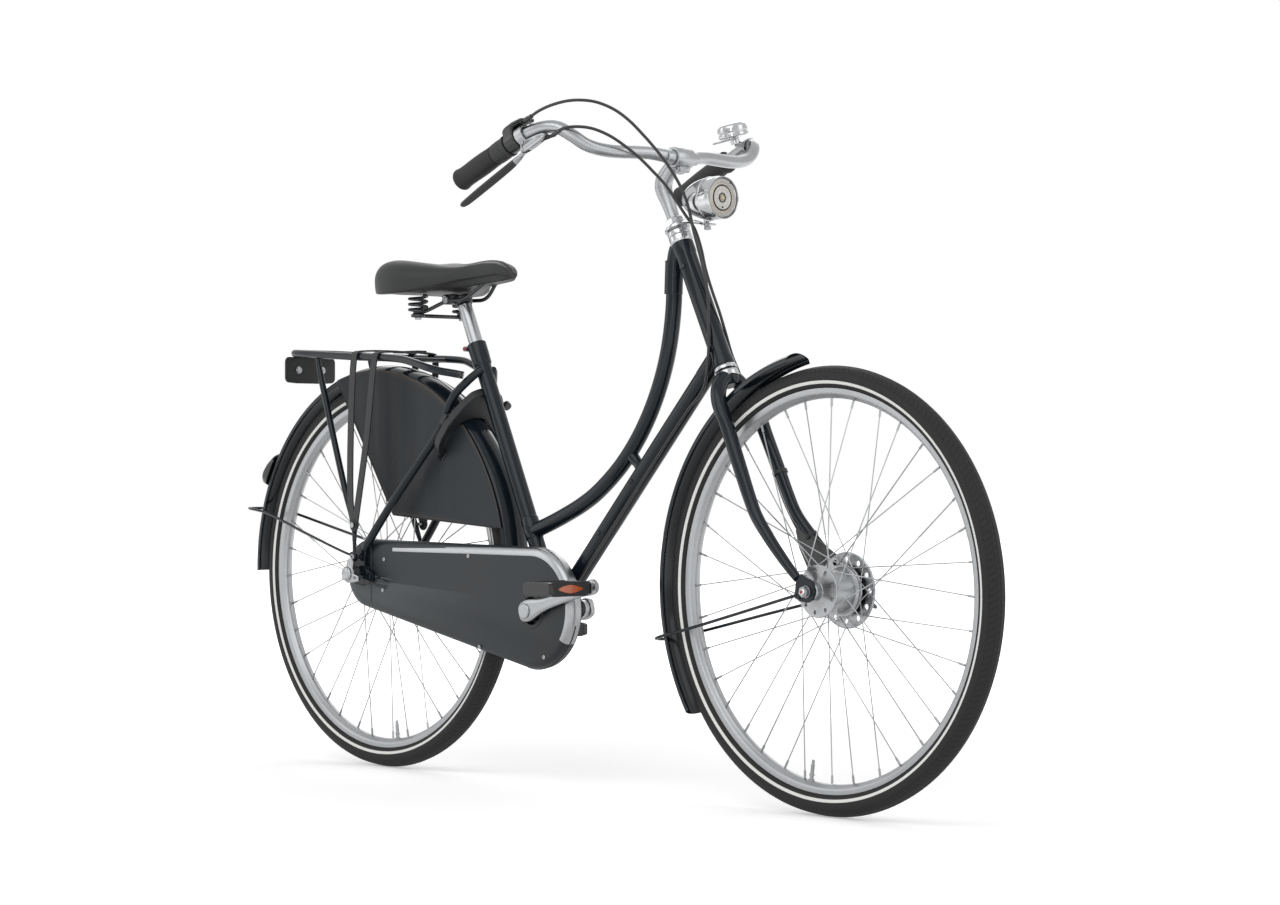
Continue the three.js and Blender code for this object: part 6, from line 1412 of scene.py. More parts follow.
def fork_shape():
    blades = Shape()
    blades.pipe(
        FORK_ROUTE, FORK_RADII, "paint", 40, 10,
        flat=[1.0] * 5 + [0.9, 0.84, 0.82, 0.84, 0.9, 0.96, 1.0, 1.0]
    )
    tip = [[x + WHEELBASE, z] for x, z in FORK_TIP_OUTLINE]
    blades.slab(tip, FORK_TIP_Y[0], FORK_TIP_Y[1], "paint", corner=3)
    blades.mirrored()
    blades.turned(
        [
            [0, CROWN_RACE_FOOT - 14], [FORK_SHOULDER_RADIUS - 3, CROWN_RACE_FOOT - 14],
            [FORK_SHOULDER_RADIUS + 0.5, CROWN_RACE_FOOT - 6],
            [CROWN_RACE_RADIUS - 1.6, CROWN_RACE_FOOT - 0.5], [0, CROWN_RACE_FOOT - 0.5]
        ],
        STEER_FOOT, STEER_UP, "paint", 48, 1.5
    )
    blades.turned(
        [
            [0, CROWN_RACE_FOOT], [CROWN_RACE_RADIUS - 0.6, CROWN_RACE_FOOT],
            [CROWN_RACE_RADIUS, CROWN_RACE_FOOT + 3], [CROWN_RACE_RADIUS, -4],
            [CROWN_RACE_RADIUS - 2, -0.5], [0, -0.5]
        ],
        STEER_FOOT, STEER_UP, "chrome", 48, 1.0
    )
    blades.turned(
        oblong(0, STEERER_RADIUS, -1, STEERER_TOP), STEER_FOOT, STEER_UP, "steel", 40, 0.5,
    )
    # two small cable clips on the left blade
    for i in (6, 9):
        x, y, z = FORK_ROUTE[i]
        blades.turned(
            [
                [FORK_RADII[i] - 1, -3], [FORK_RADII[i] + 1, -3], [FORK_RADII[i] + 1, 3],
                [FORK_RADII[i] - 1, 3]
            ],
            (x, y, z), np.array(FORK_ROUTE[i + 1]) - FORK_ROUTE[i - 1], "plastic", 32, 0.4
        )
    blades.make("fork_dressed", "steering_head", ["fork"])


def guard_rings(centre, radius, arc_of, steps):
    """Rings of a mudguard: a rolled section swept round the wheel."""
    crown = GUARD_SECTION[-1][1]
    outer = catmull(
        [(y, 0, h) for y, h in GUARD_SECTION] + [(-y, 0, h) for y, h in reversed(GUARD_SECTION[:-1])], 6
    )[:, [0, 2]]
    ahead = np.vstack([outer[1:], outer[-1]]) - np.vstack([outer[0], outer[:-1]])
    normal = np.stack([-ahead[:, 1], ahead[:, 0]], axis=1)
    normal /= np.linalg.norm(normal, axis=1)[:, None]
    inner = outer + normal * np.where(normal[:, 1:] * 1.0 < 0, 1.0, -1.0) * 1.0
    inner[:, 1] = np.minimum(inner[:, 1], outer[:, 1] - 0.2)
    inner[0], inner[-1] = outer[0] + [-1.0, 0], outer[-1] + [1.0, 0]
    section = np.vstack([outer, inner[::-1]])
    rings = []
    for turn in np.radians(np.linspace(arc_of[0], arc_of[1], steps + 1)):
        reach = radius - crown + section[:, 1]
        rings.append(
            np.stack(
                [centre[0] + reach * math.cos(turn), section[:, 0], centre[1] + reach * math.sin(turn)],
                axis=1
            )
        )
    return rings


def mudguard(name, node, body, centre, radius, arc_of, steps, tabs):
    piece = Shape()
    piece.skin(guard_rings(centre, radius, arc_of, steps), "paint")
    # beads rolled along both edges
    half_width, crown = GUARD_SECTION[0][0], GUARD_SECTION[-1][1]
    for side in (-1, 1):
        edge = [
            (
                centre[0] + (radius - crown) * math.cos(t), side * (half_width - 0.9),
                centre[1] + (radius - crown) * math.sin(t)
            )
            for t in np.radians(np.linspace(arc_of[0], arc_of[1], steps + 1))
        ]
        piece.pipe(edge, 1.05, "paint", 8, 1)
    tabs(piece)
    return piece.make(name, body, [node], sharp=40)


def mudguards():
    def front_tabs(piece):
        turn = deg(193.6)
        spot = np.array(
            [
                FRONT_GUARD_CENTRE[0] + 378.6 * math.cos(turn), 0,
                FRONT_GUARD_CENTRE[1] + 378.6 * math.sin(turn)
            ]
        )
        bolt_head(piece, spot, (math.cos(turn), 0, math.sin(turn)), 3.4, 1.6)

    def rear_tabs(piece):
        piece.slab(REAR_GUARD_TAB, -REAR_GUARD_TAB_HALF, REAR_GUARD_TAB_HALF, "paint", corner=2)

    mudguard(
        "front_mudguard_dressed", "front_mudguard", "steering_head", FRONT_GUARD_CENTRE, FRONT_GUARD_RADIUS,
        FRONT_GUARD_ANGLES, 72, front_tabs
    )
    mudguard(
        "rear_mudguard_dressed", "rear_mudguard", "frame", REAR_GUARD_CENTRE, REAR_GUARD_RADIUS,
        REAR_GUARD_ANGLES, 112, rear_tabs
    )
    for name, node, body, route in (
        ("front_mudguard_stay_dressed", "front_mudguard_stay", "steering_head", FRONT_STAY_ROUTE),
        ("rear_mudguard_stay_dressed", "rear_mudguard_stay", "frame", REAR_STAY_ROUTE),
    ):
        wire = Shape()
        whole = list(route) + [tuple(p) for p in flip(route[:-1])][::-1]
        wire.pipe(whole, STAY_WIRE_RADIUS, "paint", 16, 6)
        eye = np.array(route[0], float)
        for side in (1, -1):
            spot = eye * [1, side, 1]
            wire.turned(oblong(0, 6.2, -1.6, 1.6), spot, (0, 1, 0), "paint", 24, 0.6)
        wire.make(name, body, [node])


def coat_guard(side):
    """A sheet from the mudguard's edge down to two straight hems, with soft upright folds."""
    columns, rows = 120, 34
    start, stop = COAT_GUARD_ANGLES
    top = arc(0, TYRE_RADIUS, COAT_GUARD_RADIUS, stop, start, columns)
    rear = top[0]

    def foot(share):
        split = COAT_GUARD_FOOT_SHARE
        if share < split:
            a, b, t = rear, np.array(COAT_GUARD_FOOT), max(share / split, COAT_GUARD_TIP_SHARE)
        else:
            a, b, t = np.array(COAT_GUARD_FOOT), np.array(COAT_GUARD_FRONT), min(
                (share - split) / (1 - split), 1 - COAT_GUARD_TIP_SHARE
            )
        return a + (b - a) * t

    inner, outer, edge, folds = [], [], [], []
    for i in range(columns + 1):
        high, low = top[i], foot(i / columns)
        front, back, lift = [], [], []
        for j in range(rows + 1):
            t = j / rows
            x, z = high + (low - high) * t
            wave = (1 - math.cos(2 * math.pi * (x - COAT_GUARD_FOOT[0]) / COAT_GUARD_PERIOD)) / 2
            small = (
                1 - math.cos(2 * math.pi * (x - COAT_GUARD_FOOT[0] + 9) / (COAT_GUARD_PERIOD * 0.37))
            ) / 2
            fade = math.exp(-(((x - COAT_GUARD_FOOT[0]) / COAT_GUARD_FADE) ** 2))
            open_share = math.sin(math.pi * min(t + COAT_GUARD_TIP_SHARE, 1) * COAT_GUARD_SPREAD_SHARE)
            swell = max(COAT_GUARD_FOLD * (0.86 * wave + 0.14 * small) * fade * open_share, 0)
            y = COAT_GUARD_Y + swell
            # the height of the folds, which the cloth uses for painted shade in their hollows
            lift.append(1 - (1 - (0.7 * wave + 0.3 * small)) * fade)
            front.append((x, side * (y + 1.5), z))
            back.append((x, side * (y + 0.3), z))
        inner.append(back)
        outer.append(front)
        rim = [max(0.0, 1 - min(j, rows - j) / 1.2) for j in range(rows + 1)]
        edge.append(rim)
        folds.append(lift)
    sheet = Shape()
    rings = [front + back[::-1] for front, back in zip(outer, inner)]
    values = [row + row[::-1] for row in edge]
    creases = [row + row[::-1] for row in folds]
    sheet.skin(rings, "cloth", edge=np.array(values), fold=np.array(creases))
    # welted hems along both lower edges
    hem = [outer[i][rows] for i in range(0, columns + 1, 2)]
    sheet.pipe([(x, y - side * 0.5, z) for x, y, z in hem], 1.5, "cloth", 10, 1)
    name = "left" if side > 0 else "right"
    piece = sheet.make(f"coat_guard_{name}_dressed", sharp=40)
    tools = []
    for hole in LOCK_HOLES:
        spot = np.array([0, 0, TYRE_RADIUS]) + LOCK_OUT * hole["reach"] + LOCK_WAY * hole["offset"]
        tool = Shape().rod(
            (spot[0], side * 20, spot[2]), (spot[0], side * 45, spot[2]), hole["radius"], "cloth",
            round_by=0
        )
        tools.append(cutter(tool))
    carve(piece, *tools)
    settle(piece, "frame", [f"coat_guard_{name}"])
    return piece


# Chain case and drive


def bored(piece, centre, radius, low, high, sides=40):
    """Bores a round hole along Y through a piece."""
    tool = Shape().rod(
        (centre[0], low, centre[1]), (centre[0], high, centre[1]), radius, "plastic", sides=sides,
        round_by=0
    )
    return carve(piece, cutter(tool))


CASE_JOINT_X = 26.0


def chain_case():
    outer, back = CASE_Y
    outline = round_circles([CASE_FRONT, CASE_REAR], 120)
    case = Shape()
    steps = [
        (11.5, outer + 0.2), (8.4, outer + 0.9), (4.6, outer + 2.6), (1.6, outer + 5.4), (0.3, outer + 8.6),
        (0.0, outer + 12.0), (0.0, back - 3.0), (1.0, back - 0.4), (3.5, back), (CASE_BACK_RIM, back)
    ]
    steps = [(12.5, outer)] + steps
    rings = []
    for size, y in steps:
        ring = inset(outline, size)
        rings.append(np.stack([ring[:, 0], np.full(len(ring), y), ring[:, 1]], axis=1))
    inner = [
        (CASE_BACK_RIM, back - 1.3), (3.5, back - 1.3), (1.6, back - 3.4), (1.6, outer + 12),
        (3.5, outer + 6), (7, outer + 3), (13, outer + 1.6)
    ]
    for size, y in inner:
        ring = inset(outline, size)
        rings.append(np.stack([ring[:, 0], np.full(len(ring), y), ring[:, 1]], axis=1))
    case.skin(rings, "case", lids=(True, True))
    piece = case.make("chain_case_dressed", sharp=50)
    x, _, z = CRANK_AXIS
    bored(piece, (x, z), CASE_CRANK_HOLE - 2, outer - 9, back + 9)
    bored(piece, (0, TYRE_RADIUS), CASE_AXLE_HOLE - 2, outer - 9, back + 9)
    settle(piece, "frame", ["chain_case"])

    trim = Shape()
    # alloy trim over the top edge, round the front and along the front part of the floor
    ring = [tuple(p) for p in outline]
    top = sorted([p for p in ring if p[1] > 341 and 84 < p[0] < 470], key=lambda p: p[0])
    front = arc(CASE_FRONT[0], CASE_FRONT[1], CASE_FRONT[2], 84, -34, 40)
    path = [p for p in top if p[0] < front[0][0] - 4] + [tuple(p) for p in front]
    if path[0][0] > 92:
        path.insert(0, (88.0, path[0][1]))
    line = catmull([(px, 0, pz) for px, pz in path], 2)
    ahead = np.gradient(line, axis=0)
    ahead /= np.linalg.norm(ahead, axis=1)[:, None]
    out = np.stack([-ahead[:, 2], np.zeros(len(line)), ahead[:, 0]], axis=1)
    section = [
        (-14.8, outer + 0.2), (-14.2, outer - 0.5), (-8.4, outer - 0.2), (-4.2, outer + 1.5),
        (-1.3, outer + 4.6), (0.2, outer + 8.4), (0.35, outer + 12), (0.35, back - 4), (-0.8, back - 1.0),
        (-2.6, back - 0.2), (-2.9, back - 1.4), (-1.2, back - 4), (-1.2, outer + 12), (-1.9, outer + 9),
        (-3.4, outer + 5.6), (-5.6, outer + 3.2), (-8.4, outer + 1.4), (-14.0, outer + 0.6)
    ]
    rings = [[p + o * u + np.array([0, y, 0]) for u, y in section] for p, o in zip(line, out)]
    trim.skin(rings, "alloy")
    trim.make("chain_case_trim", "frame", [], "chrome", sharp=50)

    fittings = Shape()
    # welt along the lower seam, and five screw heads on the case's face
    lower = sorted([p for p in ring if p[1] < 292 and 14 < p[0] < 566], key=lambda p: p[0])
    fittings.pipe([(px, outer + 12.5, pz) for px, pz in lower], 1.5, "case", 8, 1)
    for px, pz in ((64, 377), (60, 322), (300, 388), (330, 232), (500, 222)):
        bolt_head(fittings, (px, outer + 0.2, pz), (0, -1, 0), 3.6, 1.4)
    # cuffs where the cranks and the hub come out
    fittings.turned(
        [
            [CASE_CRANK_HOLE - 4.4, outer - 1.2], [CASE_CRANK_HOLE + 2, outer - 1.2],
            [CASE_CRANK_HOLE + 3.2, outer + 1.2], [CASE_CRANK_HOLE - 4.4, outer + 1.2]
        ],
        (x, 0, z), (0, 1, 0), "plastic", 56, 0.6
    )
    fittings.turned(
        [
            [CASE_AXLE_HOLE - 3, outer - 1.6], [CASE_AXLE_HOLE + 2.4, outer - 1.6],
            [CASE_AXLE_HOLE + 3.6, outer + 1.2], [CASE_AXLE_HOLE - 3, outer + 1.2]
        ],
        (0, 0, TYRE_RADIUS), (0, 1, 0), "plastic", 48, 0.6
    )
    fittings.make("chain_case_fittings", "frame", [], "black_plastic", sharp=34)

    # the line where the rear cap of the case parts
    cap = Shape()
    high, low = CASE_REAR[1] + CASE_REAR[2] - 6, CASE_REAR[1] - CASE_REAR[2] + 6
    seam = [(CASE_JOINT_X, outer - 0.1, z) for z in np.linspace(high - 6, low + 6, 12)]
    seam = [(CASE_JOINT_X, outer + 2.0, high)] + seam + [(CASE_JOINT_X, outer + 2.0, low)]
    cap.pipe(seam, 0.7, "gloss_plastic", 8, 1)
    cap.make("chain_case_joint", "frame", [], "case_paint")


def hidden_drive():
    """The chain and its sprocket keep the shapes of the part."""
    for node in ("chain", "rear_sprocket"):
        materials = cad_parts[node].data.materials
        materials.clear()
        materials.append(LOOK["dark_steel"])


def crank(side):
    """One crank arm with its pedal spindle; the right one carries the chainring."""
    angle = deg(CRANK_ANGLE + (0 if side < 0 else 180))
    way = np.array([math.cos(angle), 0, math.sin(angle)])
    up = np.array([-math.sin(angle), 0, math.cos(angle)])
    axis = np.array([CRANK_AXIS[0], 0, CRANK_AXIS[2]])
    out = np.array([0, side, 0])
    arm = Shape()
    # the arm as rings across its length: [place, half width, inner face, outer face]
    stations = [
        (-CRANK_BOSS_RADIUS * 0.9, 8, 62, 71), (-14, 14, 61.2, 72.6), (-4, 18, 61, 73), (8, 18.4, 61, 73),
        (20, 16.0, 61, 73), (38, 12.0, 61.3, 72.4), (60, 9.8, 61.6, 72), (100, 9.4, 61.8, 71.8),
        (140, 9.8, 61.6, 72), (156, 11.6, 61.2, 72.4), (166, 12.8, 61, 72.8), (174, 12.8, 61, 72.8),
        (180, 10.6, 61.4, 72.2), (183.2, 6.0, 62.2, 71.4)
    ]
    rings = []
    fine = catmull([(a, b, c) for a, b, c, d in stations], 5), catmull(
        [(a, b, d) for a, b, c, d in stations], 5
    )
    for (place, half, low), (_, _, high) in zip(*fine):
        profile = [
            (math.copysign(abs(c) ** 0.55, c) * half, math.copysign(abs(s) ** 0.55, s)) for c,
            s in circle(28, 0.1)
        ]
        rings.append(
            [
                axis + way * place + up * u + out * ((low + high) / 2 + v * (high - low) / 2) for u,
                v in profile
            ]
        )
    arm.skin(rings, "alloy")
    arm.turned(
        [
            [0, 72.4], [CRANK_CAP_RADIUS, 72.4], [CRANK_CAP_RADIUS, 74.6],
            [CRANK_CAP_RADIUS - 1.4, CRANK_CAP_Y - 0.3], [0, CRANK_CAP_Y - 0.3]
        ],
        axis, out, "alloy", 40, 0.6
    )
    eye = axis + way * CRANK_LENGTH
    arm.turned(oblong(0, 7.4, 60.6, 61.2), eye, out, "steel", 24, 0.2)
    arm.turned(
        [
            [0, 72], [7.6, 72], [7.6, 75.6], [5.6, 75.6], [PEDAL_SPINDLE_RADIUS + 1.2, 82],
            [PEDAL_SPINDLE_RADIUS + 1.0, 93.4], [PEDAL_SPINDLE_RADIUS, 96],
            [PEDAL_SPINDLE_RADIUS, PEDAL_SPINDLE_END], [0, PEDAL_SPINDLE_END]
        ],
        eye, out, "steel", 28, 0.4
    )
    # flats for the spanner on the pedal spindle
    arm.slab(hexagon(7.4, 0.2), 76.2, 80.8, "steel", eye, (1, 0, 0), (0, 0, 1), out, 0.5)
    if side < 0:
        arm.turned(
            [
                [0, 40.5], [SPINDLE_RADIUS + 2, 40.5], [CRANK_BOSS_RADIUS - 2, 45],
                [CRANK_BOSS_RADIUS - 2, 61], [0, 61]
            ],
            axis, out, "alloy", 40, 0.8
        )
        arm.turned(oblong(0, SPINDLE_RADIUS, -60, 70), axis, out, "steel", 32, 0.3)
        arm.turned(oblong(0, RING_RADIUS, 41.7, 44.3), axis, out, "dark_steel", 64, 0.3)
        arm.make("crank_right_dressed", "cranks", ["crank_right"])
    else:
        arm.turned(
            [
                [SPINDLE_RADIUS + 0.5, 34.4], [SHELL_RADIUS + 0.5, 34.4], [SHELL_RADIUS + 0.5, 38.5],
                [15, 40], [SPINDLE_RADIUS + 0.5, 40]
            ],
            axis, out, "dark_steel", 48, 0.5
        )
        arm.turned(oblong(SPINDLE_RADIUS + 0.4, 15.5, 52, 61.4), axis, out, "alloy", 40, 0.8)
        arm.make("crank_left_dressed", "cranks", ["crank_left"])


def pedal(side):
    angle = deg(CRANK_ANGLE + (0 if side < 0 else 180))
    centre = np.array(
        [CRANK_AXIS[0] + CRANK_LENGTH * math.cos(angle), 0, CRANK_AXIS[2] + CRANK_LENGTH * math.sin(angle)]
    )
    near, far = PEDAL_Y
    half, high = PEDAL_LENGTH / 2, PEDAL_HEIGHT / 2
    out = np.array([0, side, 0])
    frame_of = {"origin": centre, "u": (1, 0, 0), "v": (0, 0, 1), "w": out}
    body = Shape()
    cage = [
        [-half, -high * 0.7], [-half + 6, -high + 0.6], [half - 6, -high + 0.6], [half, -high * 0.7],
        [half, high * 0.7], [half - 6, high - 0.6], [-half + 6, high - 0.6], [-half, high * 0.7]
    ]
    body.slab(cage, near, near + PEDAL_END, "gloss_plastic", edge=1.6, corner=2.5, **frame_of)
    body.slab(cage, far - PEDAL_END, far, "gloss_plastic", edge=1.6, corner=2.5, **frame_of)
    for sign in (-1, 1):
        # a tread block along each edge, with rubber ribs grown on it below
        body.slab(oblong(sign * (half - PEDAL_BAR), sign * (half - 0.8), -high + 1.2, high - 1.2),
                  near + PEDAL_END - 1, far - PEDAL_END + 1, "plastic", edge=1.2, **frame_of)
    body.turned(
        [
            [0, near], [PEDAL_BARREL_RADIUS - 0.8, near], [PEDAL_BARREL_RADIUS - 1.4, near + 14],
            [6.8, near + 24], [6.8, far - 26], [PEDAL_BARREL_RADIUS - 1.4, far - 14],
            [PEDAL_BARREL_RADIUS - 0.8, far - 0.4], [0, far - 0.4]
        ],
        centre, out, "plastic", 40, 0.6
    )
    body.turned(
        [
            [0, far - 1], [PEDAL_BARREL_RADIUS - 2.4, far - 1], [PEDAL_BARREL_RADIUS - 2.4, far - 0.3],
            [0, far + 0.2]
        ],
        centre, out, "gloss_plastic", 40, 0.3
    )
    name = "right" if side < 0 else "left"
    # lens-shaped reflectors let into both long edges
    for sign in (-1, 1):
        lens = [
            (26 * math.cos(t), 7.2 * math.sin(t)) for t in np.linspace(0, 2 * math.pi, 36, endpoint=False)
        ]
        lens = [(a, b * (1 - 0.35 * abs(a) / 26)) for a, b in lens]
        spot = centre + np.array([sign * (half - 1.1), side * (near + far) / 2, 0])
        body.slab(lens, 0, 1.0, "amber", origin=spot, u=(0, 1, 0), v=(0, 0, 1), w=(sign, 0, 0), edge=0.5)
        body.slab(
            [(a * 1.06, b * 1.14) for a, b in lens], -0.4, 0.5, "gloss_plastic", origin=spot, u=(0, 1, 0),
            v=(0, 0, 1), w=(sign, 0, 0), edge=0.3
        )
    body.make(f"pedal_{name}_dressed", f"{name}_pedal", [f"pedal_{name}"], "rubber")
    for sign in (-1, 1):
        for level in (-1, 1):
            first = at((
                centre[0] + sign * (half - PEDAL_BAR / 2 - 0.4), side * (near + PEDAL_END + 4),
                centre[2] + level * (high - 1.3)
            ))
            grown(
                f"pedal_{name}_tread_{'front' if sign > 0 else 'rear'}_{'top' if level > 0 else 'low'}",
                RIBS, f"{name}_pedal", "rubber", count=18, first=first, step=(0, side * 4.0 * MM, 0),
                length=10.4 * MM, radius=1.25 * MM, flat=1.0, turn=(0, math.radians(90), 0)
            )


# Wheels


def tyre(name, x):
    node, body = f"{name}_tyre", f"{name}_wheel"
    section = catmull([(y, 0, r) for y, r in TYRE_SECTION], 7)
    outer = [(r, y) for y, _, r in section]
    profile = outer + [
        (313.0, 9.6), (314.2, 7.6), (314.2, -7.6), (313.0, -9.6)
    ] + [(r, -y) for r, y in outer[::-1][:-1]]
    shape = Shape().turned(profile, (x, 0, TYRE_RADIUS), (0, 1, 0), "tyre", 160, round_by=0)
    shape.make(f"{name}_tyre_dressed", body, [node], sharp=60)


def rim(name, x, valve_turn):
    body = f"{name}_wheel"
    shape = Shape()
    half = [
        (315.0, 12.5), (314.2, 12.6), (309, 12.6), (306.2, 12.0), (304.6, 10.4), (303.2, 7.4), (301.2, 5.6),
        (299.6, 3.4), (299.2, 0)
    ]
    profile = half + [(r, -y) for r, y in half[::-1][1:]] + [(313.4, -11.2), (313.4, 11.2)]
    shape.turned(profile, (x, 0, TYRE_RADIUS), (0, 1, 0), "rim", 160, round_by=0)
    turn = deg(valve_turn)
    out = np.array([math.cos(turn), 0, math.sin(turn)])
    foot = np.array([x, 0, TYRE_RADIUS]) + out * 300.5
    shape.turned(
        [[0, 0], [5.2, 0], [5.2, 2.6], [3.3, 3.4], [3.1, 12], [3.1, 26], [2.4, 27], [2.4, 33], [0, 34]],
        foot, -out, "steel", 20, 0.4
    )
    shape.turned(oblong(0, 4.4, 8, 11), foot, -out, "steel", 6, 0.3)
    shape.make(f"{name}_rim_dressed", body, [f"{name}_rim"], sharp=50)
    hub_radius, count = SPOKE_SEAT, SPOKES_PER_SIDE
    flange = (FRONT_HUB if name == "front" else REAR_HUB)["flangeY"]
    phase = 0 if name == "front" else SPOKE_PHASE_REAR_ANGLE
    for side in (-1, 1):
        common = dict(
            count=count, hub_radius=hub_radius * MM, rim_radius=(SPOKE_REACH + 1.2) * MM,
            hub_side=side * flange * MM, rim_side=side * SPOKE_END_Y * MM, hub_stagger=SPOKE_STAGGER * MM,
            rim_stagger=0.4 * MM, phase=deg(phase + (10 if side > 0 else 0)), turn=deg(SPOKE_TURN_ANGLE),
            centre=at((x, 0, TYRE_RADIUS))
        )
        word = "left" if side > 0 else "right"
        grown(f"{name}_spokes_{word}", SPOKES, body, "spoke", start=0.0, stop=0.985, wire=1.0 * MM, **common)
        grown(f"{name}_nipples_{word}", SPOKES, body, "steel", start=0.955, stop=1.0, wire=1.9 * MM, **common)


def hub(name, x, sizes):
    body = f"{name}_wheel"
    flange, side_y, barrel, neck = sizes["flange"], sizes["flangeY"], sizes["barrel"], sizes["neck"]
    half = FLANGE_THICK / 2
    shape = Shape()
    bore = AXLE_RADIUS + 0.35
    high = BRAKE_DISC_Y[0] if name == "front" else sizes["high"]
    profile = [
        [bore, sizes["low"]], [neck - 2, sizes["low"]], [neck, sizes["low"] + 2], [neck + 1, -side_y - 5],
        [neck + 9, -side_y - half], [flange - 0.6, -side_y - half + 0.3], [flange, -side_y],
        [flange - 0.6, -side_y + half - 0.3], [barrel + 3, -side_y + half], [barrel, -side_y + 6],
        [barrel - 1.5, 0], [barrel, side_y - 6], [barrel + 3, side_y - half],
        [flange - 0.6, side_y - half + 0.3], [flange, side_y], [flange - 0.6, side_y + half - 0.3],
        [neck + 9, side_y + half], [neck + 1, side_y + 4], [neck, high - 2], [neck - 2, high], [bore, high]
    ]
    shape.turned(profile, (x, 0, TYRE_RADIUS), (0, 1, 0), "alloy", 72, 0.8)
    if name == "front":
        low, top = BRAKE_DISC_Y
        cooling = [
            [neck, low], [22, low - 0.4], [30, low + 0.6], [BRAKE_DISC_RADIUS - 2, low + 1.2],
            [BRAKE_DISC_RADIUS, low + 2.2], [BRAKE_DISC_RADIUS, top - 0.6], [BRAKE_DISC_RADIUS - 2, top],
            [30, top - 0.4], [neck, top]
        ]
        shape.turned(cooling, (x, 0, TYRE_RADIUS), (0, 1, 0), "alloy", 72, 0.3)
    piece = shape.make(f"{name}_hub_shell", sharp=34)
    # a ring of round holes through both flanges of the front hub and the right flange of the rear, as pressed
    # or bored ones, and a ring through the front brake's cooling disc
    tools = Shape()
    for side in (-1, 1):
        for i in range(9):
            turn = 2 * math.pi * (i + 0.5) / 9
            spot = (x + 33.0 * math.cos(turn), side * (side_y + 6), TYRE_RADIUS + 33.0 * math.sin(turn))
            away = (spot[0], side * (side_y - 1.2), spot[2])
            if name == "front" or side < 0:
                tools.rod(spot, away, 3.4, "dark_steel", sides=16, round_by=0)
    if name == "front":
        for i in range(12):
            turn = 2 * math.pi * i / 12
            spot = (x + 49 * math.cos(turn), BRAKE_DISC_Y[0] - 3, TYRE_RADIUS + 49 * math.sin(turn))
            tools.rod(spot, (spot[0], BRAKE_DISC_Y[1] + 3, spot[2]), 4.6, "dark_steel", sides=16, round_by=0)
    carve(piece, cutter(tools))
    settle(piece, body, [f"{name}_hub"])


def front_brake():
    """The roller brake's plate, its long reaction arm up the left blade, and the arm that the cable pulls."""
    axis = (WHEELBASE, 0, TYRE_RADIUS)
    plate = Shape()
    plate.slab(
        round_circles(
            [
                BRAKE_PLATE_CIRCLES[1], BRAKE_PLATE_CIRCLES[2], BRAKE_PLATE_CIRCLES[0],
                BRAKE_PLATE_CIRCLES[3], BRAKE_PLATE_CIRCLES[4]
            ],
            40
        ),
        BRAKE_PLATE_Y[0], BRAKE_PLATE_Y[1], "gloss_plastic", edge=0.6
    )
    plate.turned(
        [
            [6, BRAKE_PLATE_Y[0] + 0.1], [BRAKE_BODY_RADIUS, BRAKE_PLATE_Y[0] + 0.1],
            [BRAKE_BODY_RADIUS, BRAKE_BODY_Y - 0.4], [BRAKE_BODY_RADIUS - 2, BRAKE_BODY_Y],
            [BRAKE_CORE_RADIUS, BRAKE_BODY_Y], [BRAKE_CORE_RADIUS, BRAKE_CORE_Y], [6, BRAKE_CORE_Y]
        ],
        axis, (0, 1, 0), "alloy", 64, 0.6
    )
    for i in range(5):
        turn = 2 * math.pi * i / 5 + 0.4
        bolt_head(
            plate, (WHEELBASE + 21 * math.cos(turn), BRAKE_BODY_Y - 0.2, TYRE_RADIUS + 21 * math.sin(turn)),
            (0, 1, 0), 2.2, 0.9
        )
    plate.make("roller_brake_dressed", "steering_head", ["roller_brake"], "steel")
    arm = Shape()
    arm.turned(
        [
            [BRAKE_CORE_RADIUS + 0.4, BRAKE_ARM_Y[0]], [BRAKE_RING_RADIUS, BRAKE_ARM_Y[0]],
            [BRAKE_RING_RADIUS, BRAKE_ARM_Y[1]], [BRAKE_CORE_RADIUS + 0.4, BRAKE_ARM_Y[1]]
        ],
        axis, (0, 1, 0), "alloy", 48, 0.5
    )
    for end in (BRAKE_TAIL_REAR, BRAKE_TAIL_FRONT):
        way = unit([end[0] - WHEELBASE, 0, end[1] - TYRE_RADIUS])
        near = np.array(axis) + way * (BRAKE_RING_RADIUS - 1.5)
        side = np.array([-way[2], 0, way[0]])
        tip = np.array([end[0], 0, end[1]])
        outline = [
            near + side * 6, near - side * 6, tip - side * end[2] * 0.9, tip + way * end[2] * 0.8,
            tip + side * end[2] * 0.9
        ]
        arm.slab(
            [(p[0], p[2]) for p in outline], BRAKE_TAIL_Y[0], BRAKE_TAIL_Y[1], "alloy", edge=0.4, corner=2
        )
    arm.make("brake_arm_dressed", "front_brake_arm", ["brake_arm"], "steel")


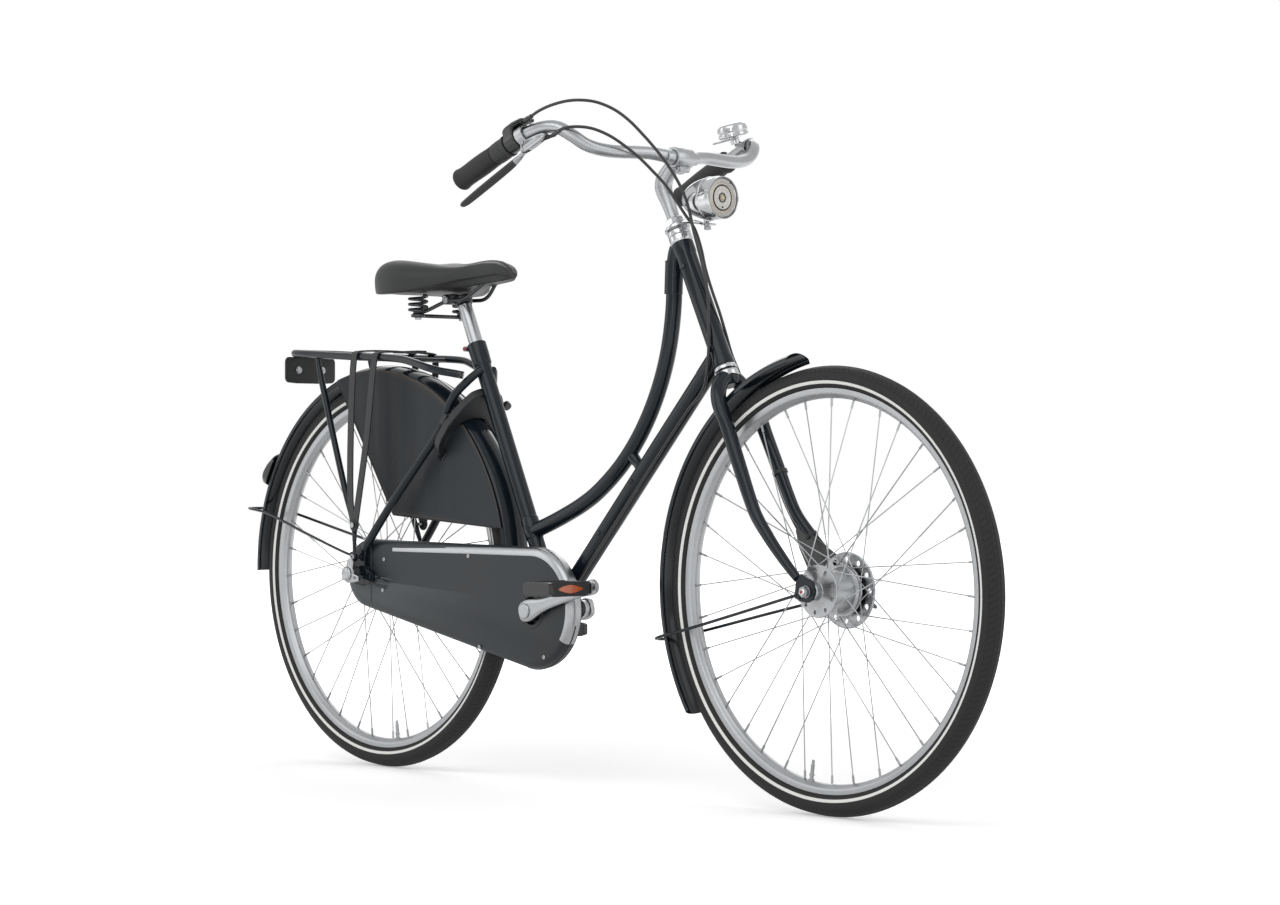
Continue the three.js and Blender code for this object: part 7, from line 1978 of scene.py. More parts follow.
def axles():
    front = Shape()
    axis = np.array([WHEELBASE, 0, TYRE_RADIUS])
    front.rod(
        axis + [0, -FRONT_AXLE_END + 1, 0], axis + [0, FRONT_AXLE_END - 1, 0], AXLE_RADIUS, "steel",
        round_by=0.8
    )
    for side in (-1, 1):
        out = (0, side, 0)
        foot = axis + [0, side * (FORK_TIP_Y[1] + 0.3), 0]
        nut(front, foot, out, AXLE_NUT_RADIUS, 8.2, "steel", washer=AXLE_NUT_RADIUS + 0.6)
        front.turned([[0, 8.2], [6.2, 8.2], [6.2, 9.6], [4.4, 11.0], [0, 11.1]], foot, out, "chrome", 28, 0.4)
        front.turned([[0, 11.0], [2.6, 11.0], [2.6, 11.5], [0, 11.7]], foot, out, "red_dot", 20, 0.2)
    front.rod(axis + [0, -FORK_TIP_Y[0] + 0.3, 0], axis + [0, -FRONT_HUB_STOP, 0], AXLE_NUT_RADIUS, "steel")
    front.make("front_axle_dressed", "steering_head", ["front_axle"])

    rear = Shape()
    axis = np.array([0, 0, TYRE_RADIUS])
    rear.rod(
        axis + [0, -REAR_AXLE_END, 0], axis + [0, FRONT_AXLE_END + AXLE_RADIUS - 1, 0], AXLE_RADIUS,
        "steel", round_by=0.8
    )
    nut(rear, axis + [0, DROPOUT_Y[1] + 0.3, 0], (0, 1, 0), AXLE_NUT_RADIUS, 4.6, "steel")
    nut(rear, axis + [0, -DROPOUT_Y[1] - 0.3, 0], (0, -1, 0), AXLE_NUT_RADIUS, 6.0, "steel")
    rear.rod(axis + [0, -DROPOUT_Y[0] + 0.4, 0], axis + [0, -52, 0], AXLE_NUT_RADIUS - 1, "steel")
    rear.rod(axis + [0, 44.4, 0], axis + [0, DROPOUT_Y[0] - 0.4, 0], AXLE_NUT_RADIUS - 1, "steel")
    # the gear selector: a round lobed box with a clamp and the cable's stop
    low, top = SHIFT_BOX_Y
    bowl = SHIFT_BOX_RADIUS + 3.6
    rear.turned(
        [
            [0, low], [7.5, low], [11.0, low + 1.2], [12.8, low + 3.4], [12.8, low + 7],
            [bowl - 0.2, low + 8], [bowl, low + 15], [bowl - 1.4, low + 16], [bowl - 1.4, top], [0, top]
        ],
        axis, (0, 1, 0), "alloy", 48, 0.8
    )
    lobe = [[-8, 4], [10, 4], [14, 22], [9, 29], [1, 29], [-6, 21]]
    rear.slab([[x, z + TYRE_RADIUS] for x, z in lobe], low + 8, low + 14, "alloy", corner=3.5, edge=2.0)
    arm = [[x, z + TYRE_RADIUS] for x, z in SHIFT_ARM]
    rear.slab(arm, SHIFT_ARM_Y[0], SHIFT_ARM_Y[1], "alloy", corner=3.5, edge=2.0)
    rear.rod((30, -85.5, 341), (42, -82, 338), 3.6, "plastic")
    bolt_head(rear, (22, -92, 344), (0, -1, 0), 3.0, 2.0)
    rear.slab(round_circles(TORQUE_ARM_CIRCLES, 36), TORQUE_ARM_Y[0], TORQUE_ARM_Y[1], "dark_steel", edge=0.4)
    clip = oblong(138, 158, 308, 331)
    rear.slab(clip, TORQUE_ARM_Y[0] + 0.2, TORQUE_CLIP_Y, "dark_steel", corner=3, edge=0.8)
    rear.make("rear_axle_dressed", "frame", ["rear_axle"])


# Rack, straps, plate and rear light


def rack():
    body = Shape()
    body.pipe(RACK_ROUTE, RACK_RADIUS, "paint", 28, 8)
    for x, z in RACK_BARS:
        body.rod((x, -STRAP_RAIL_Y, z), (x, STRAP_RAIL_Y, z), RACK_BAR_RADIUS, "paint", sides=20)
    half = Shape()
    half.pipe(RACK_LEG_ROUTE, [4.4, 5.8, 5.8, 5.6, 4.6, 4.0], "paint", 24, 8, flat=[1, 1, 1, 0.9, 0.6, 0.5])
    eye = (EYELET[0], 76, EYELET[1])
    half.turned(oblong(0, 8.2, -2.2, 2.2), eye, (0, 1, 0), "paint", 32, 0.8)
    half.rod(
        (EYELET[0], DROPOUT_Y[1] + 0.4, EYELET[1]), (EYELET[0], 74, EYELET[1]), RACK_BOLT_RADIUS, "steel",
        sides=20
    )
    bolt_head(half, (EYELET[0], 78, EYELET[1]), (0, 1, 0), 5.6, 3.4)
    half.rod(
        RACK_HOOK_ROOT, (STRAP_HOOK[0], RACK_HOOK_ROOT[1], STRAP_HOOK[1]), STRAP_HOOK_RADIUS, "paint",
        sides=16
    )
    half.rod(
        (STRAP_HOOK[0], RACK_HOOK_ROOT[1] - 1.5, STRAP_HOOK[1]),
        (STRAP_HOOK[0], STRAP_HOOK_END, STRAP_HOOK[1]), STRAP_HOOK_RADIUS, "steel", sides=20
    )
    half.turned(
        [[0, 0], [5.0, 0], [5.0, 2.0], [0, 2.6]], (STRAP_HOOK[0], STRAP_HOOK_END - 2, STRAP_HOOK[1]),
        (0, 1, 0), "steel", 24, 0.5
    )
    half.mirrored()
    start = body.count
    body.points.append(np.vstack(half.points))
    body.faces += [tuple(i + start for i in face) for face in half.faces]
    body.looks += half.looks
    body.count += half.count
    # the bolt through both ends in front of the seat tube
    x, _, z = RACK_ROUTE[0]
    bolt_head(body, (x + 1, -40, z), (0, -1, 0), 5.4, 3.0, "dark_steel")
    body.make("rack_dressed", "frame", ["rack"])


def strap_band(shape, route):
    """An elastic band along a path, its width along X, with ribs drawn along it."""
    line = catmull(route, 6)
    ahead = np.gradient(line, axis=0)
    ahead /= np.linalg.norm(ahead, axis=1)[:, None]
    thick = np.cross(ahead, [1.0, 0, 0])
    thick /= np.linalg.norm(thick, axis=1)[:, None]
    half = STRAP_WIDTH / 2 + 1.6
    section = [
        (-half, -0.7), (-half + 0.5, -1.5), (half - 0.5, -1.5), (half, -0.7), (half, 0.7),
        (half - 0.5, 1.5), (-half + 0.5, 1.5), (-half, 0.7)
    ]
    fine = []
    for (a, b), (c, d) in zip(section, section[1:] + section[:1]):
        count = 8 if abs(c - a) > 5 else 1
        fine += [(a + (c - a) * k / count, b + (d - b) * k / count) for k in range(count)]
    rings = [[p + np.array([u, 0, 0]) + t * v for u, v in fine] for p, t in zip(line, thick)]
    across = np.tile([(u + half) / (2 * half) for u, v in fine], len(rings))
    shape.skin(rings, "strap", across=across)


def straps():
    ring = (RACK_RADIUS + 0.35 + STRAP_THICK / 2) / math.cos(math.pi / 8)
    diagonal = ring * math.sqrt(0.5)
    shape = Shape()
    for i, (x, z) in enumerate(STRAP_TOPS):
        bend_z, bend_x = STRAP_BENDS[i]
        share = (bend_z - STRAP_EYE[1]) / (z - STRAP_EYE[1])
        bend_y = STRAP_EYE_Y + (STRAP_RAIL_Y + ring - STRAP_EYE_Y) * share
        spread = -STRAP_EYE_SPREAD if i == 0 else STRAP_EYE_SPREAD
        half = [
            [STRAP_EYE[0] + spread, STRAP_EYE_Y, STRAP_EYE[1] + STRAP_EYE_RADIUS / 2],
            [bend_x, bend_y, bend_z], [x, STRAP_RAIL_Y + ring, z],
            [x, STRAP_RAIL_Y + diagonal, z + diagonal], [x, STRAP_RAIL_Y - 2, z + ring + 0.2]
        ]
        strap_band(shape, half + flip(half)[::-1])
    for side in (-1, 1):
        shape.turned(
            [
                [3.4, -2.4], [STRAP_EYE_RADIUS - 1.5, -2.4], [STRAP_EYE_RADIUS, -1], [STRAP_EYE_RADIUS, 1],
                [STRAP_EYE_RADIUS - 1.5, 2.4], [3.4, 2.4]
            ],
            (STRAP_EYE[0], side * STRAP_EYE_Y, STRAP_EYE[1]), (0, 1, 0), "rubber", 40, 0.6
        )
    top = STRAP_TOPS[0][1] + ring
    (x0, y0, z0), (x1, y1, z1) = STRAP_PAD
    shape.slab(
        oblong(x0, x1, y0, y1), top + z0, top + z1, "rubber", v=(0, 1, 0), w=(0, 0, 1), corner=4, edge=1.0
    )
    piece = shape.make("luggage_straps_dressed")
    tools = Shape()
    for y in (y0 + 8, y1 - 8):
        tools.slab(
            oblong(x0 + 7, x1 - 7, y - 1.6, y + 1.6), top + z1 - 1.4, top + z1 + 5, "rubber", v=(0, 1, 0),
            w=(0, 0, 1), edge=0
        )
    carve(piece, cutter(tools), overlaps=True)
    settle(piece, "frame", ["luggage_straps"])


def rear_plate():
    shape = Shape()
    low, high = PLATE_X
    frame_of = {"u": (0, 1, 0), "v": (0, 0, 1), "w": (1, 0, 0)}
    shape.slab(PLATE_OUTLINE, low + 1.4, high, "plastic", corner=6, edge=0.8, **frame_of)
    rim = oblong(-54, 54, 700.5, 742.5)
    shape.slab(rim, low + 0.2, low + 2.4, "plastic", corner=7, edge=0.8, **frame_of)
    for y in (-27, 27):
        shape.turned(oblong(0, 6.4, 0, 1.0), (low + 0.6, y, 722), (-1, 0, 0), "dark_steel", 28, 0.3)
        bolt_head(shape, (low + 1.0, y, 722), (-1, 0, 0), 4.2, 0.9, "dark_steel")
        shape.turned(oblong(0, 6.6, 0, 1.0), (high - 0.2, y, 722), (1, 0, 0), "chrome", 32, 0.3)
        bolt_head(shape, (high + 0.6, y, 722), (1, 0, 0), 4.8, 2.6, "chrome")
    # the two ears bolted under the rack's rear rail
    for y in (-27, 27):
        bolt_head(shape, (high, y, 751), (1, 0, 0), 3.6, 2.4, "dark_steel")
    shape.make("reflector_plate_dressed", "frame", ["reflector_plate"])


def rear_light():
    cx, cz = REAR_GUARD_CENTRE
    core = np.array([
        cx + LIGHT_CORE_REACH * math.cos(deg(LIGHT_CORE_ANGLE)),
        cz + LIGHT_CORE_REACH * math.sin(deg(LIGHT_CORE_ANGLE))
    ])
    outline = np.array(
        [[cx + r * math.cos(deg(a)), cz + r * math.sin(deg(a))] for r, a in zip(LIGHT_REACH, LIGHT_ANGLES)]
    )
    outline = eased(outline, 4, steps=4)
    widths = catmull(
        [(y, 0, s) for y, s in [*zip(LIGHT_DEPTHS, LIGHT_DEPTH_SHARES), (29.6, 0.3)]], 5
    )[:, [0, 2]]
    stations = [(-y, s) for y, s in widths[::-1]] + [(y, s) for y, s in widths[1:]]
    rings = [
        np.stack(
            [
                core[0] + (outline[:, 0] - core[0]) * s, np.full(len(outline), y),
                core[1] + (outline[:, 1] - core[1]) * s
            ],
            axis=1
        ) for y,
        s in stations
    ]
    body = Shape().skin(rings, "gloss_plastic").make("rear_light_dressed")
    lens = Shape().skin(rings, "red").make("rear_light_lens_dressed")
    guard = Shape().turned(
        oblong(0, REAR_GUARD_RADIUS + 0.3, -27.2, 27.2), (cx, 0, cz), (0, 1, 0), "paint", 160, 0
    )
    again = Shape().turned(
        oblong(0, REAR_GUARD_RADIUS + 0.3, -27.2, 27.2), (cx, 0, cz), (0, 1, 0), "paint", 160, 0
    )
    split = LIGHT_LENS_X
    front = Shape().block((-600, -60, 300), (split, 60, 700), "plastic", edge=0)
    behind = Shape().block((split - 0.3, -60, 300), (0, 60, 700), "plastic", edge=0)
    carve(body, cutter(guard), cutter(front))
    carve(lens, cutter(again), cutter(behind))
    settle(body, "frame", ["rear_light"])
    settle(lens, "frame", ["rear_light_lens"])
    bolts = Shape()
    for y in (-12, 12):
        spot = np.array([cx + 377 * math.cos(deg(147.4)), y, cz + 377 * math.sin(deg(147.4))])
        bolt_head(bolts, spot, (math.cos(deg(147.4)), 0, math.sin(deg(147.4))), 3.4, 5.0)
    bolts.make("rear_light_bolts", "frame", [], "steel")


# Ring lock


def lock_spot(radius, turn):
    return [radius * math.sin(deg(turn)), radius * math.cos(deg(turn))]


def lock_row(radius, start, stop, steps):
    return [lock_spot(radius, t) for t in np.linspace(start, stop, steps + 1)]


def ring_lock():
    end = LOCK_ARM_ANGLE
    outline = lock_row(LOCK_OUTER, -end, -82, 10) + eased(
        LOCK_BODY, 6, closed=False
    ).tolist() + lock_row(LOCK_OUTER, 82, end, 10) + lock_row(LOCK_INNER, end, -end, 48)
    near, far = LOCK_SIDES
    shape = Shape()
    shape.slab(outline, near, far, "plastic", edge=2.4, **LOCK_PLANE)
    for side in (-1, 1):
        shape.turned(
            oblong(0, 5.9, near, far),
            LOCK_CENTRE + np.array([0, 1, 0]) * lock_spot(52, side * end)[0] + LOCK_OUT * lock_spot(
                52, side * end
            )[1],
            LOCK_WAY, "plastic", 36, 2.2
        )
    piece = shape.make("ring_lock_dressed", sharp=34)
    groove = LOCK_GROOVE
    tools = []
    for low, high, close, away, start, stop in (
        (groove["low"], groove["high"], groove["near"], groove["far"], LOCK_GROOVE_ANGLE, end + 12),
        (groove["low"], groove["high"], groove["near"], groove["far"], -end - 12, -LOCK_RECEIVER_ANGLE),
        (LOCK_SLOT["low"], LOCK_SLOT["high"], LOCK_SLOT["near"], LOCK_SLOT["far"], LOCK_SLOT_ANGLE, end + 12),
    ):
        ring = lock_row(low, start, stop, 24) + lock_row(high, stop, start, 24)
        tools.append(cutter(Shape().slab(ring, close, away, "plastic", edge=0, **LOCK_PLANE)))
    for side in (1, -1):
        stay = Shape().pipe(
            [(x, side * y, z) for x, y, z in SEAT_STAY_ROUTE], SEAT_STAY_RADIUS + 0.3, "plastic", 24, 6
        )
        tools.append(cutter(stay))
    carve(piece, *tools, overlaps=True)
    settle(piece, "frame", ["ring_lock"])

    trim = Shape()
    # a raised panel with ridges on the upper face, and the clamps that hold the lock to the stays
    panel = eased([[-24, 60], [-20, 72], [14, 74], [20, 60], [0, 54]], 3)
    trim.slab(panel, near - 1.4, near + 1, "gloss_plastic", edge=0.8, **LOCK_PLANE)
    for side in (-1, 1):
        (u0, v0, w0), (u1, v1, w1) = LOCK_PADS
        trim.slab(
            oblong(side * u0, side * u1, v0, v1) if side > 0 else oblong(side * u1, side * u0, v0, v1),
            w0 + 0.3, w1 - 0.2, "plastic", edge=1.0, corner=3, **LOCK_PLANE
        )
    # the key's barrel
    spot = LOCK_CENTRE + np.array([0, -1, 0]) * 30 + LOCK_OUT * 62
    trim.turned(
        [[0, -3.4], [6.6, -3.4], [8.2, -1.4], [8.2, 2], [0, 2]], spot + LOCK_WAY * near, LOCK_WAY,
        "dark_steel", 36, 0.6
    )
    trim.make("ring_lock_trim", "frame", [], "black_plastic")
    ridge_first = LOCK_CENTRE + np.array([0, -14.0, 0]) + LOCK_OUT * 64 + LOCK_WAY * (near - 1.6)
    grown(
        "ring_lock_ridges", RIBS, "frame", "gloss_plastic", "black_plastic", count=9, first=at(ridge_first),
        step=(0, 3.6 * MM, 0), length=12 * MM, radius=0.9 * MM, flat=1.0,
        turn=(0, math.radians(90 - LOCK_ANGLE), 0)
    )

    bolt = Shape()
    band = SHACKLE_BAND
    start, stop = SHACKLE_ANGLES
    middle = (band["low"] + band["high"]) / 2
    depth = (band["near"] + band["far"]) / 2
    route = []
    for t in np.linspace(start, stop, 40):
        u, v = lock_spot(middle, t)
        route.append(LOCK_CENTRE + np.array([0, 1, 0]) * u + LOCK_OUT * v + LOCK_WAY * depth)
    bolt.pipe(route, 2.65, "chrome", 20, 1)
    turn = deg(90 - SHACKLE_LEVER_ANGLE)

    def lean(points):
        return [
            [u * math.cos(turn) - w * math.sin(turn), u * math.sin(turn) + w * math.cos(turn)] for u,
            w in points
        ]

    bolt.slab(
        lean(SHACKLE_STEM), SHACKLE_STEM_DEPTH[0] + 0.1, SHACKLE_STEM_DEPTH[1] - 0.1, "dark_steel",
        edge=0.4, **LOCK_PLANE
    )
    bolt.slab(
        lean(SHACKLE_PAD), SHACKLE_PAD_DEPTH[0] + 0.1, SHACKLE_PAD_DEPTH[1] - 0.1, "gloss_plastic",
        edge=2.0, corner=3, **LOCK_PLANE
    )
    bolt.make("lock_shackle_dressed", "lock_bolt", ["lock_shackle"], "steel")


# Saddle


def saddle():
    post = Shape()
    post.turned(
        [
            [0, POST_FOOT + 1], [POST_RADIUS, POST_FOOT + 1], [POST_RADIUS, POST_NECK - 2],
            [POST_PIN_RADIUS, POST_NECK - 0.2], [POST_PIN_RADIUS, POST_TOP], [0, POST_TOP]
        ],
        SEAT_TUBE_TOP, SEAT_UP, "alloy", 48, 0.8
    )
    post.make("seat_post_dressed", "frame", ["seat_post"])

    rails = Shape()
    half = Shape()
    half.pipe(RAIL_ROUTE, RAIL_RADIUS, "dark_steel", 20, 8)
    x, y, z = SPRING_SEAT
    half.turned(
        [
            [0, z], [SPRING_SEAT_RADIUS, z], [SPRING_SEAT_RADIUS + 1.6, z + 1.2],
            [SPRING_SEAT_RADIUS + 1.6, SPRING_SEAT_TOP - 2], [SPRING_GUIDE_RADIUS, SPRING_SEAT_TOP],
            [SPRING_GUIDE_RADIUS, SPRING_SEAT_TOP + 2.8], [0, SPRING_SEAT_TOP + 2.8]
        ],
        (x, y, 0), (0, 0, 1), "dark_steel", 36, 0.5
    )
    nut(half, (x, y, z + 0.2), (0, 0, -1), 6, 4.2, "steel")
    half.mirrored()
    rails.points.append(np.vstack(half.points))
    rails.faces += half.faces
    rails.looks += half.looks
    rails.count += half.count
    rails.rod((x, -y, SPRING_BAR_Z), (x, y, SPRING_BAR_Z), RAIL_RADIUS, "dark_steel", sides=24)
    low, high = CLAMP_SPAN
    rails.turned(
        [
            [POST_PIN_RADIUS + 0.4, low + 0.2], [CLAMP_RADIUS - 0.8, low + 0.2], [CLAMP_RADIUS, low + 2],
            [CLAMP_RADIUS, high - 2], [CLAMP_RADIUS - 0.8, high - 0.2], [POST_PIN_RADIUS + 0.4, high - 0.2]
        ],
        SEAT_TUBE_TOP, SEAT_UP, "dark_steel", 40, 0.6
    )
    (x0, y0, z0), (x1, y1, z1) = CLAMP_BLOCK
    middle = ((x0 + x1) / 2, (z0 + z1) / 2)
    ring = [
        (middle[0] + a * (x1 - x0) / 2, middle[1] + b * (z1 - z0) / 2) for a,
        b in ((-1, -0.7), (-0.6, -1), (0.6, -1), (1, -0.7), (1, 0.7), (0.6, 1), (-0.6, 1), (-1, 0.7))
    ]
    rails.slab(ring, y0 + 0.2, y1 - 0.2, "dark_steel", edge=1.6)
    for side in (-1, 1):
        nut(rails, (middle[0], side * (y1 - 0.4), middle[1]), (0, side, 0), 7.5, 6.0, "steel")
    rails.make("saddle_frame_dressed", "frame", ["saddle_frame"], "steel")

    for side, name in ((1, "left"), (-1, "right")):
        spring = grown(
            f"saddle_spring_{name}_dressed", COIL, "frame", "dark_steel", "steel", turns=3.0,
            radius=SPRING_RADIUS * MM, height=(SPRING_HIGH - SPRING_LOW) * MM, wire=SPRING_WIRE * MM,
            foot=at((x, side * y, SPRING_LOW))
        )
        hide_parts(f"saddle_spring_{name}")

    cover = Shape()
    fine = [catmull([(s[0], s[i], 0) for s in SADDLE_STATIONS], 5) for i in range(1, 6)]
    rings = []
    ends = len(fine[0])
    for k in range(ends):
        place = fine[0][k][0]
        half_width, bottom, _, cheek, middle = (track[k][1] for track in fine)
        rise = min(max((place - 150) / 110, 0), 1)
        skirt = bottom + min(rise * rise * (3 - 2 * rise) * 13, 0.42 * (cheek - bottom))
        belt = skirt + 0.42 * (cheek - skirt)
        right = [
            (0.0, bottom + 1.2), (0.45 * half_width, bottom + 1.0), (0.6 * half_width, bottom + 1.4),
            (0.86 * half_width, skirt), (0.95 * half_width, skirt + 0.6), (0.975 * half_width, skirt + 3)
        ]
        for turn in (0, 18, 34, 48, 60, 70, 79):
            right.append(
                (
                    half_width * (0.58 + 0.42 * math.cos(deg(turn))),
                    belt + (cheek - belt) * math.sin(deg(turn))
                )
            )
        right += [
            (0.6 * half_width, cheek + 0.2), (0.42 * half_width, cheek - 0.2 * (cheek - middle)),
            (0.24 * half_width, (cheek + middle) / 2), (0.1 * half_width, middle + 0.3), (0, middle)
        ]
        track = catmull([(a, 0, b) for a, b in right], 4)[:, [0, 2]]
        whole = np.vstack([track, np.stack([-track[::-1][1:-1, 0], track[::-1][1:-1, 1]], axis=1)])
        rings.append(np.stack([np.full(len(whole), place), whole[:, 0], whole[:, 1]], axis=1))

    def capped(ring, way):
        centre = ring.mean(axis=0)
        return [
            centre + (ring - centre) * share + np.array([way * rise, 0, 0]) for share,
            rise in ((0.93, 0.5), (0.7, 0.9), (0.35, 1.0), (0.001, 1.0))
        ]

    rings = capped(rings[0], -1)[::-1] + rings + capped(rings[-1], 1)
    cover.skin(rings, "seat", lids=(True, True))
    piece = cover.make("saddle_cover_dressed", "frame", ["saddle_cover"], "saddle_skin", sharp=70)
    seams = Shape()
    for side in (-1, 1):
        lower = []
        for place, width, bottom, _, cheek, _ in SADDLE_STATIONS[1:-1]:
            rise = min(max((place - 150) / 110, 0), 1)
            skirt = bottom + min(rise * rise * (3 - 2 * rise) * 13, 0.42 * (cheek - bottom))
            lower.append((place, side * 0.965 * width, skirt + 2.2))
        seams.pipe(lower, 0.9, "seat_base", 8, 6)
    seams.make("saddle_welt", "frame", [], "black_plastic", sharp=50)
    # the moulded base under the cushion
    piece.data.materials.append(LOOK["seat_base"])
    for face in piece.data.polygons:
        if face.normal.z < -0.7:
            face.material_index = 1


# Stem, bar and its fittings


def bar_route():
    marks = [leg(m) * [1, -1, 1] for m in BAR_LEG_MARKS]
    half = [tuple(p) for p in BAR_ROUTE] + [tuple(p) for p in marks]
    return half[::-1] + flip(half[1:])


def stem_and_bar():
    stem = Shape()
    stem.pipe(STEM_ROUTE, STEM_RADII, "alloy", 40, 10)
    stem.turned(
        [
            [BAR_CENTRE_RADIUS + 0.2, -STEM_EYE_HALF], [STEM_EYE_RADIUS - 0.8, -STEM_EYE_HALF],
            [STEM_EYE_RADIUS, -STEM_EYE_HALF + 2], [STEM_EYE_RADIUS, STEM_EYE_HALF - 2],
            [STEM_EYE_RADIUS - 0.8, STEM_EYE_HALF], [BAR_CENTRE_RADIUS + 0.2, STEM_EYE_HALF]
        ],
        STEM_EYE, (0, 1, 0), "alloy", 48, 0.8
    )
    lug = np.array(STEM_LUG, float)
    stem.rod(np.array(STEM_EYE) + [0, 0, -12], lug, STEM_LUG_RADIUS, "alloy", sides=32, round_by=1.5)
    stem.rod(lug + [0, -11, 5], lug + [0, 11, 5], 6.4, "alloy", sides=32, round_by=1.2)
    bolt_head(stem, lug + [0, -11, 5], (0, -1, 0), 4.6, 2.6)
    stem.make("stem_dressed", "steering_head", ["stem"])

    bar = Shape()
    route = bar_route()
    bar.pipe(route, BAR_RADIUS, "alloy", 36, 8)
    bar.turned(
        [
            [0, -BAR_CENTRE_HALF], [BAR_RADIUS, -BAR_CENTRE_HALF],
            [BAR_CENTRE_RADIUS, -BAR_CENTRE_HALF + 10], [BAR_CENTRE_RADIUS, BAR_CENTRE_HALF - 10],
            [BAR_RADIUS, BAR_CENTRE_HALF], [0, BAR_CENTRE_HALF]
        ],
        STEM_EYE, (0, 1, 0), "alloy", 40, 0.8
    )
    bar.make("handlebar_dressed", "steering_head", ["handlebar"])

    nuts = Shape()
    low = LOCKNUT
    nuts.turned(
        [
            [14, low["low"] + 0.2], [low["cone"] - 0.4, low["low"] + 0.2], [low["cone"], low["low"] + 2],
            [low["cone"], low["coneTop"] - 4], [low["waist"], low["coneTop"]],
            [low["waist"], low["waistTop"]], [14, low["waistTop"]]
        ],
        STEER_FOOT, STEER_UP, "chrome", 56, 0.6
    )
    ahead = (math.cos(deg(STEER_LEAN_ANGLE)), 0, math.sin(deg(STEER_LEAN_ANGLE)))
    nuts.slab(
        hexagon(low["hex"]), low["waistTop"] - 0.2, low["top"] - 1.6, "chrome", STEER_FOOT, ahead,
        (0, 1, 0), STEER_UP, 0.9
    )
    nuts.turned(
        [
            [13.2, low["top"] - 1.8], [15.6, low["top"] - 1.8], [14.6, low["top"] - 0.1],
            [13.2, low["top"] - 0.1]
        ],
        STEER_FOOT, STEER_UP, "chrome", 48, 0.4
    )
    nuts.make("headset_locknut_dressed", "steering_head", ["headset_locknut"])


def grips():
    right = Shape()
    foot, way = BAR_TIP, LEG
    right.turned(
        [
            [0, -4.8], [13.5, -4.8], [16.6, -3.6], [18.4, -0.8], [18.6, 1.0], [18.2, 4], [17.4, 9],
            [17.2, 18], [17.6, 32], [18.0, 50], [17.7, 68], [17.0, 82], [16.4, 86], [15.4, 87.6],
            [11.4, 87.6], [11.4, 60], [0, 60]
        ],
        foot, way, "rubber", 64, 0.8
    )
    right.turned(
        [[16.2, 83.2], [17.2, 83.6], [17.2, 86], [16.0, 87.2], [15, 87.2], [15, 83.2]], foot, way, "rubber",
        64, 0.3
    )
    right.make("grip_right_dressed", "steering_head", ["grip_right"])
    left = Shape()
    foot, way = BAR_TIP * [1, -1, 1], LEG * [1, -1, 1]
    left.turned(
        [
            [0, -4.8], [13.5, -4.8], [16.6, -3.6], [18.4, -0.8], [18.6, 1.0], [18.2, 4], [17.4, 9],
            [17.2, 18], [17.6, 34], [18.0, 60], [17.6, 88], [16.6, 118], [17.0, 124], [19.2, 126],
            [19.2, 133], [11.4, 133], [11.4, 60], [0, 60]
        ],
        foot, way, "rubber", 64, 0.8
    )
    left.make("grip_left_dressed", "steering_head", ["grip_left"])
    sleeve = Shape()
    sleeve.turned(
        [
            [11.6, 88.7], [16.6, 88.7], [17.6, 90.5], [18.0, 100], [18.0, 110], [17.2, 114.5],
            [18.6, 117.4], [18.9, 123.6], [11.6, 123.6]
        ],
        BAR_TIP, LEG, "grip", 64, 0.6
    )
    sleeve.make("shifter_sleeve_dressed", "gear_twist_sleeve", ["shifter_sleeve"])


def shifter():
    shape = Shape()
    low, high = HOUSING_SPAN
    shape.turned(
        [
            [11.3, low + 0.2], [HOUSING_RADIUS - 0.8, low + 0.2], [HOUSING_RADIUS, low + 2],
            [HOUSING_RADIUS, high - 3], [HOUSING_RADIUS - 1.5, high - 0.2], [11.3, high - 0.2]
        ],
        BAR_TIP, LEG, "gloss_plastic", 56, 0.6
    )
    shape.slab(
        HOUSING_TOP, -HOUSING_HALF + 0.2, HOUSING_HALF - 0.2, "gloss_plastic", edge=4.0, corner=4,
        **LEG_PLANE
    )
    shape.rod(leg(150, -16, 0), leg(150, -20, 0), 2.6, "steel", sides=20)
    # gear window and cable adjuster
    shape.slab(
        oblong(134, 152, 0, 9), 0, 1.0, "dark_steel", origin=leg(0, 25.3, -4.5), u=LEG, v=LEG_IN, w=LEG_UP,
        edge=0.4, corner=3
    )
    start = np.array(SHIFT_CABLE_ROUTE[0], float)
    way = unit(np.array(SHIFT_CABLE_ROUTE[1]) - start)
    shape.turned(
        [[0, -3], [4.6, -3], [4.6, 6], [3.8, 7], [3.8, 14], [0, 14.5]], start, way, "gloss_plastic", 24, 0.5
    )
    shape.make("shifter_housing_dressed", "steering_head", ["shifter_housing"])


LEVER_LEAN = 42.0


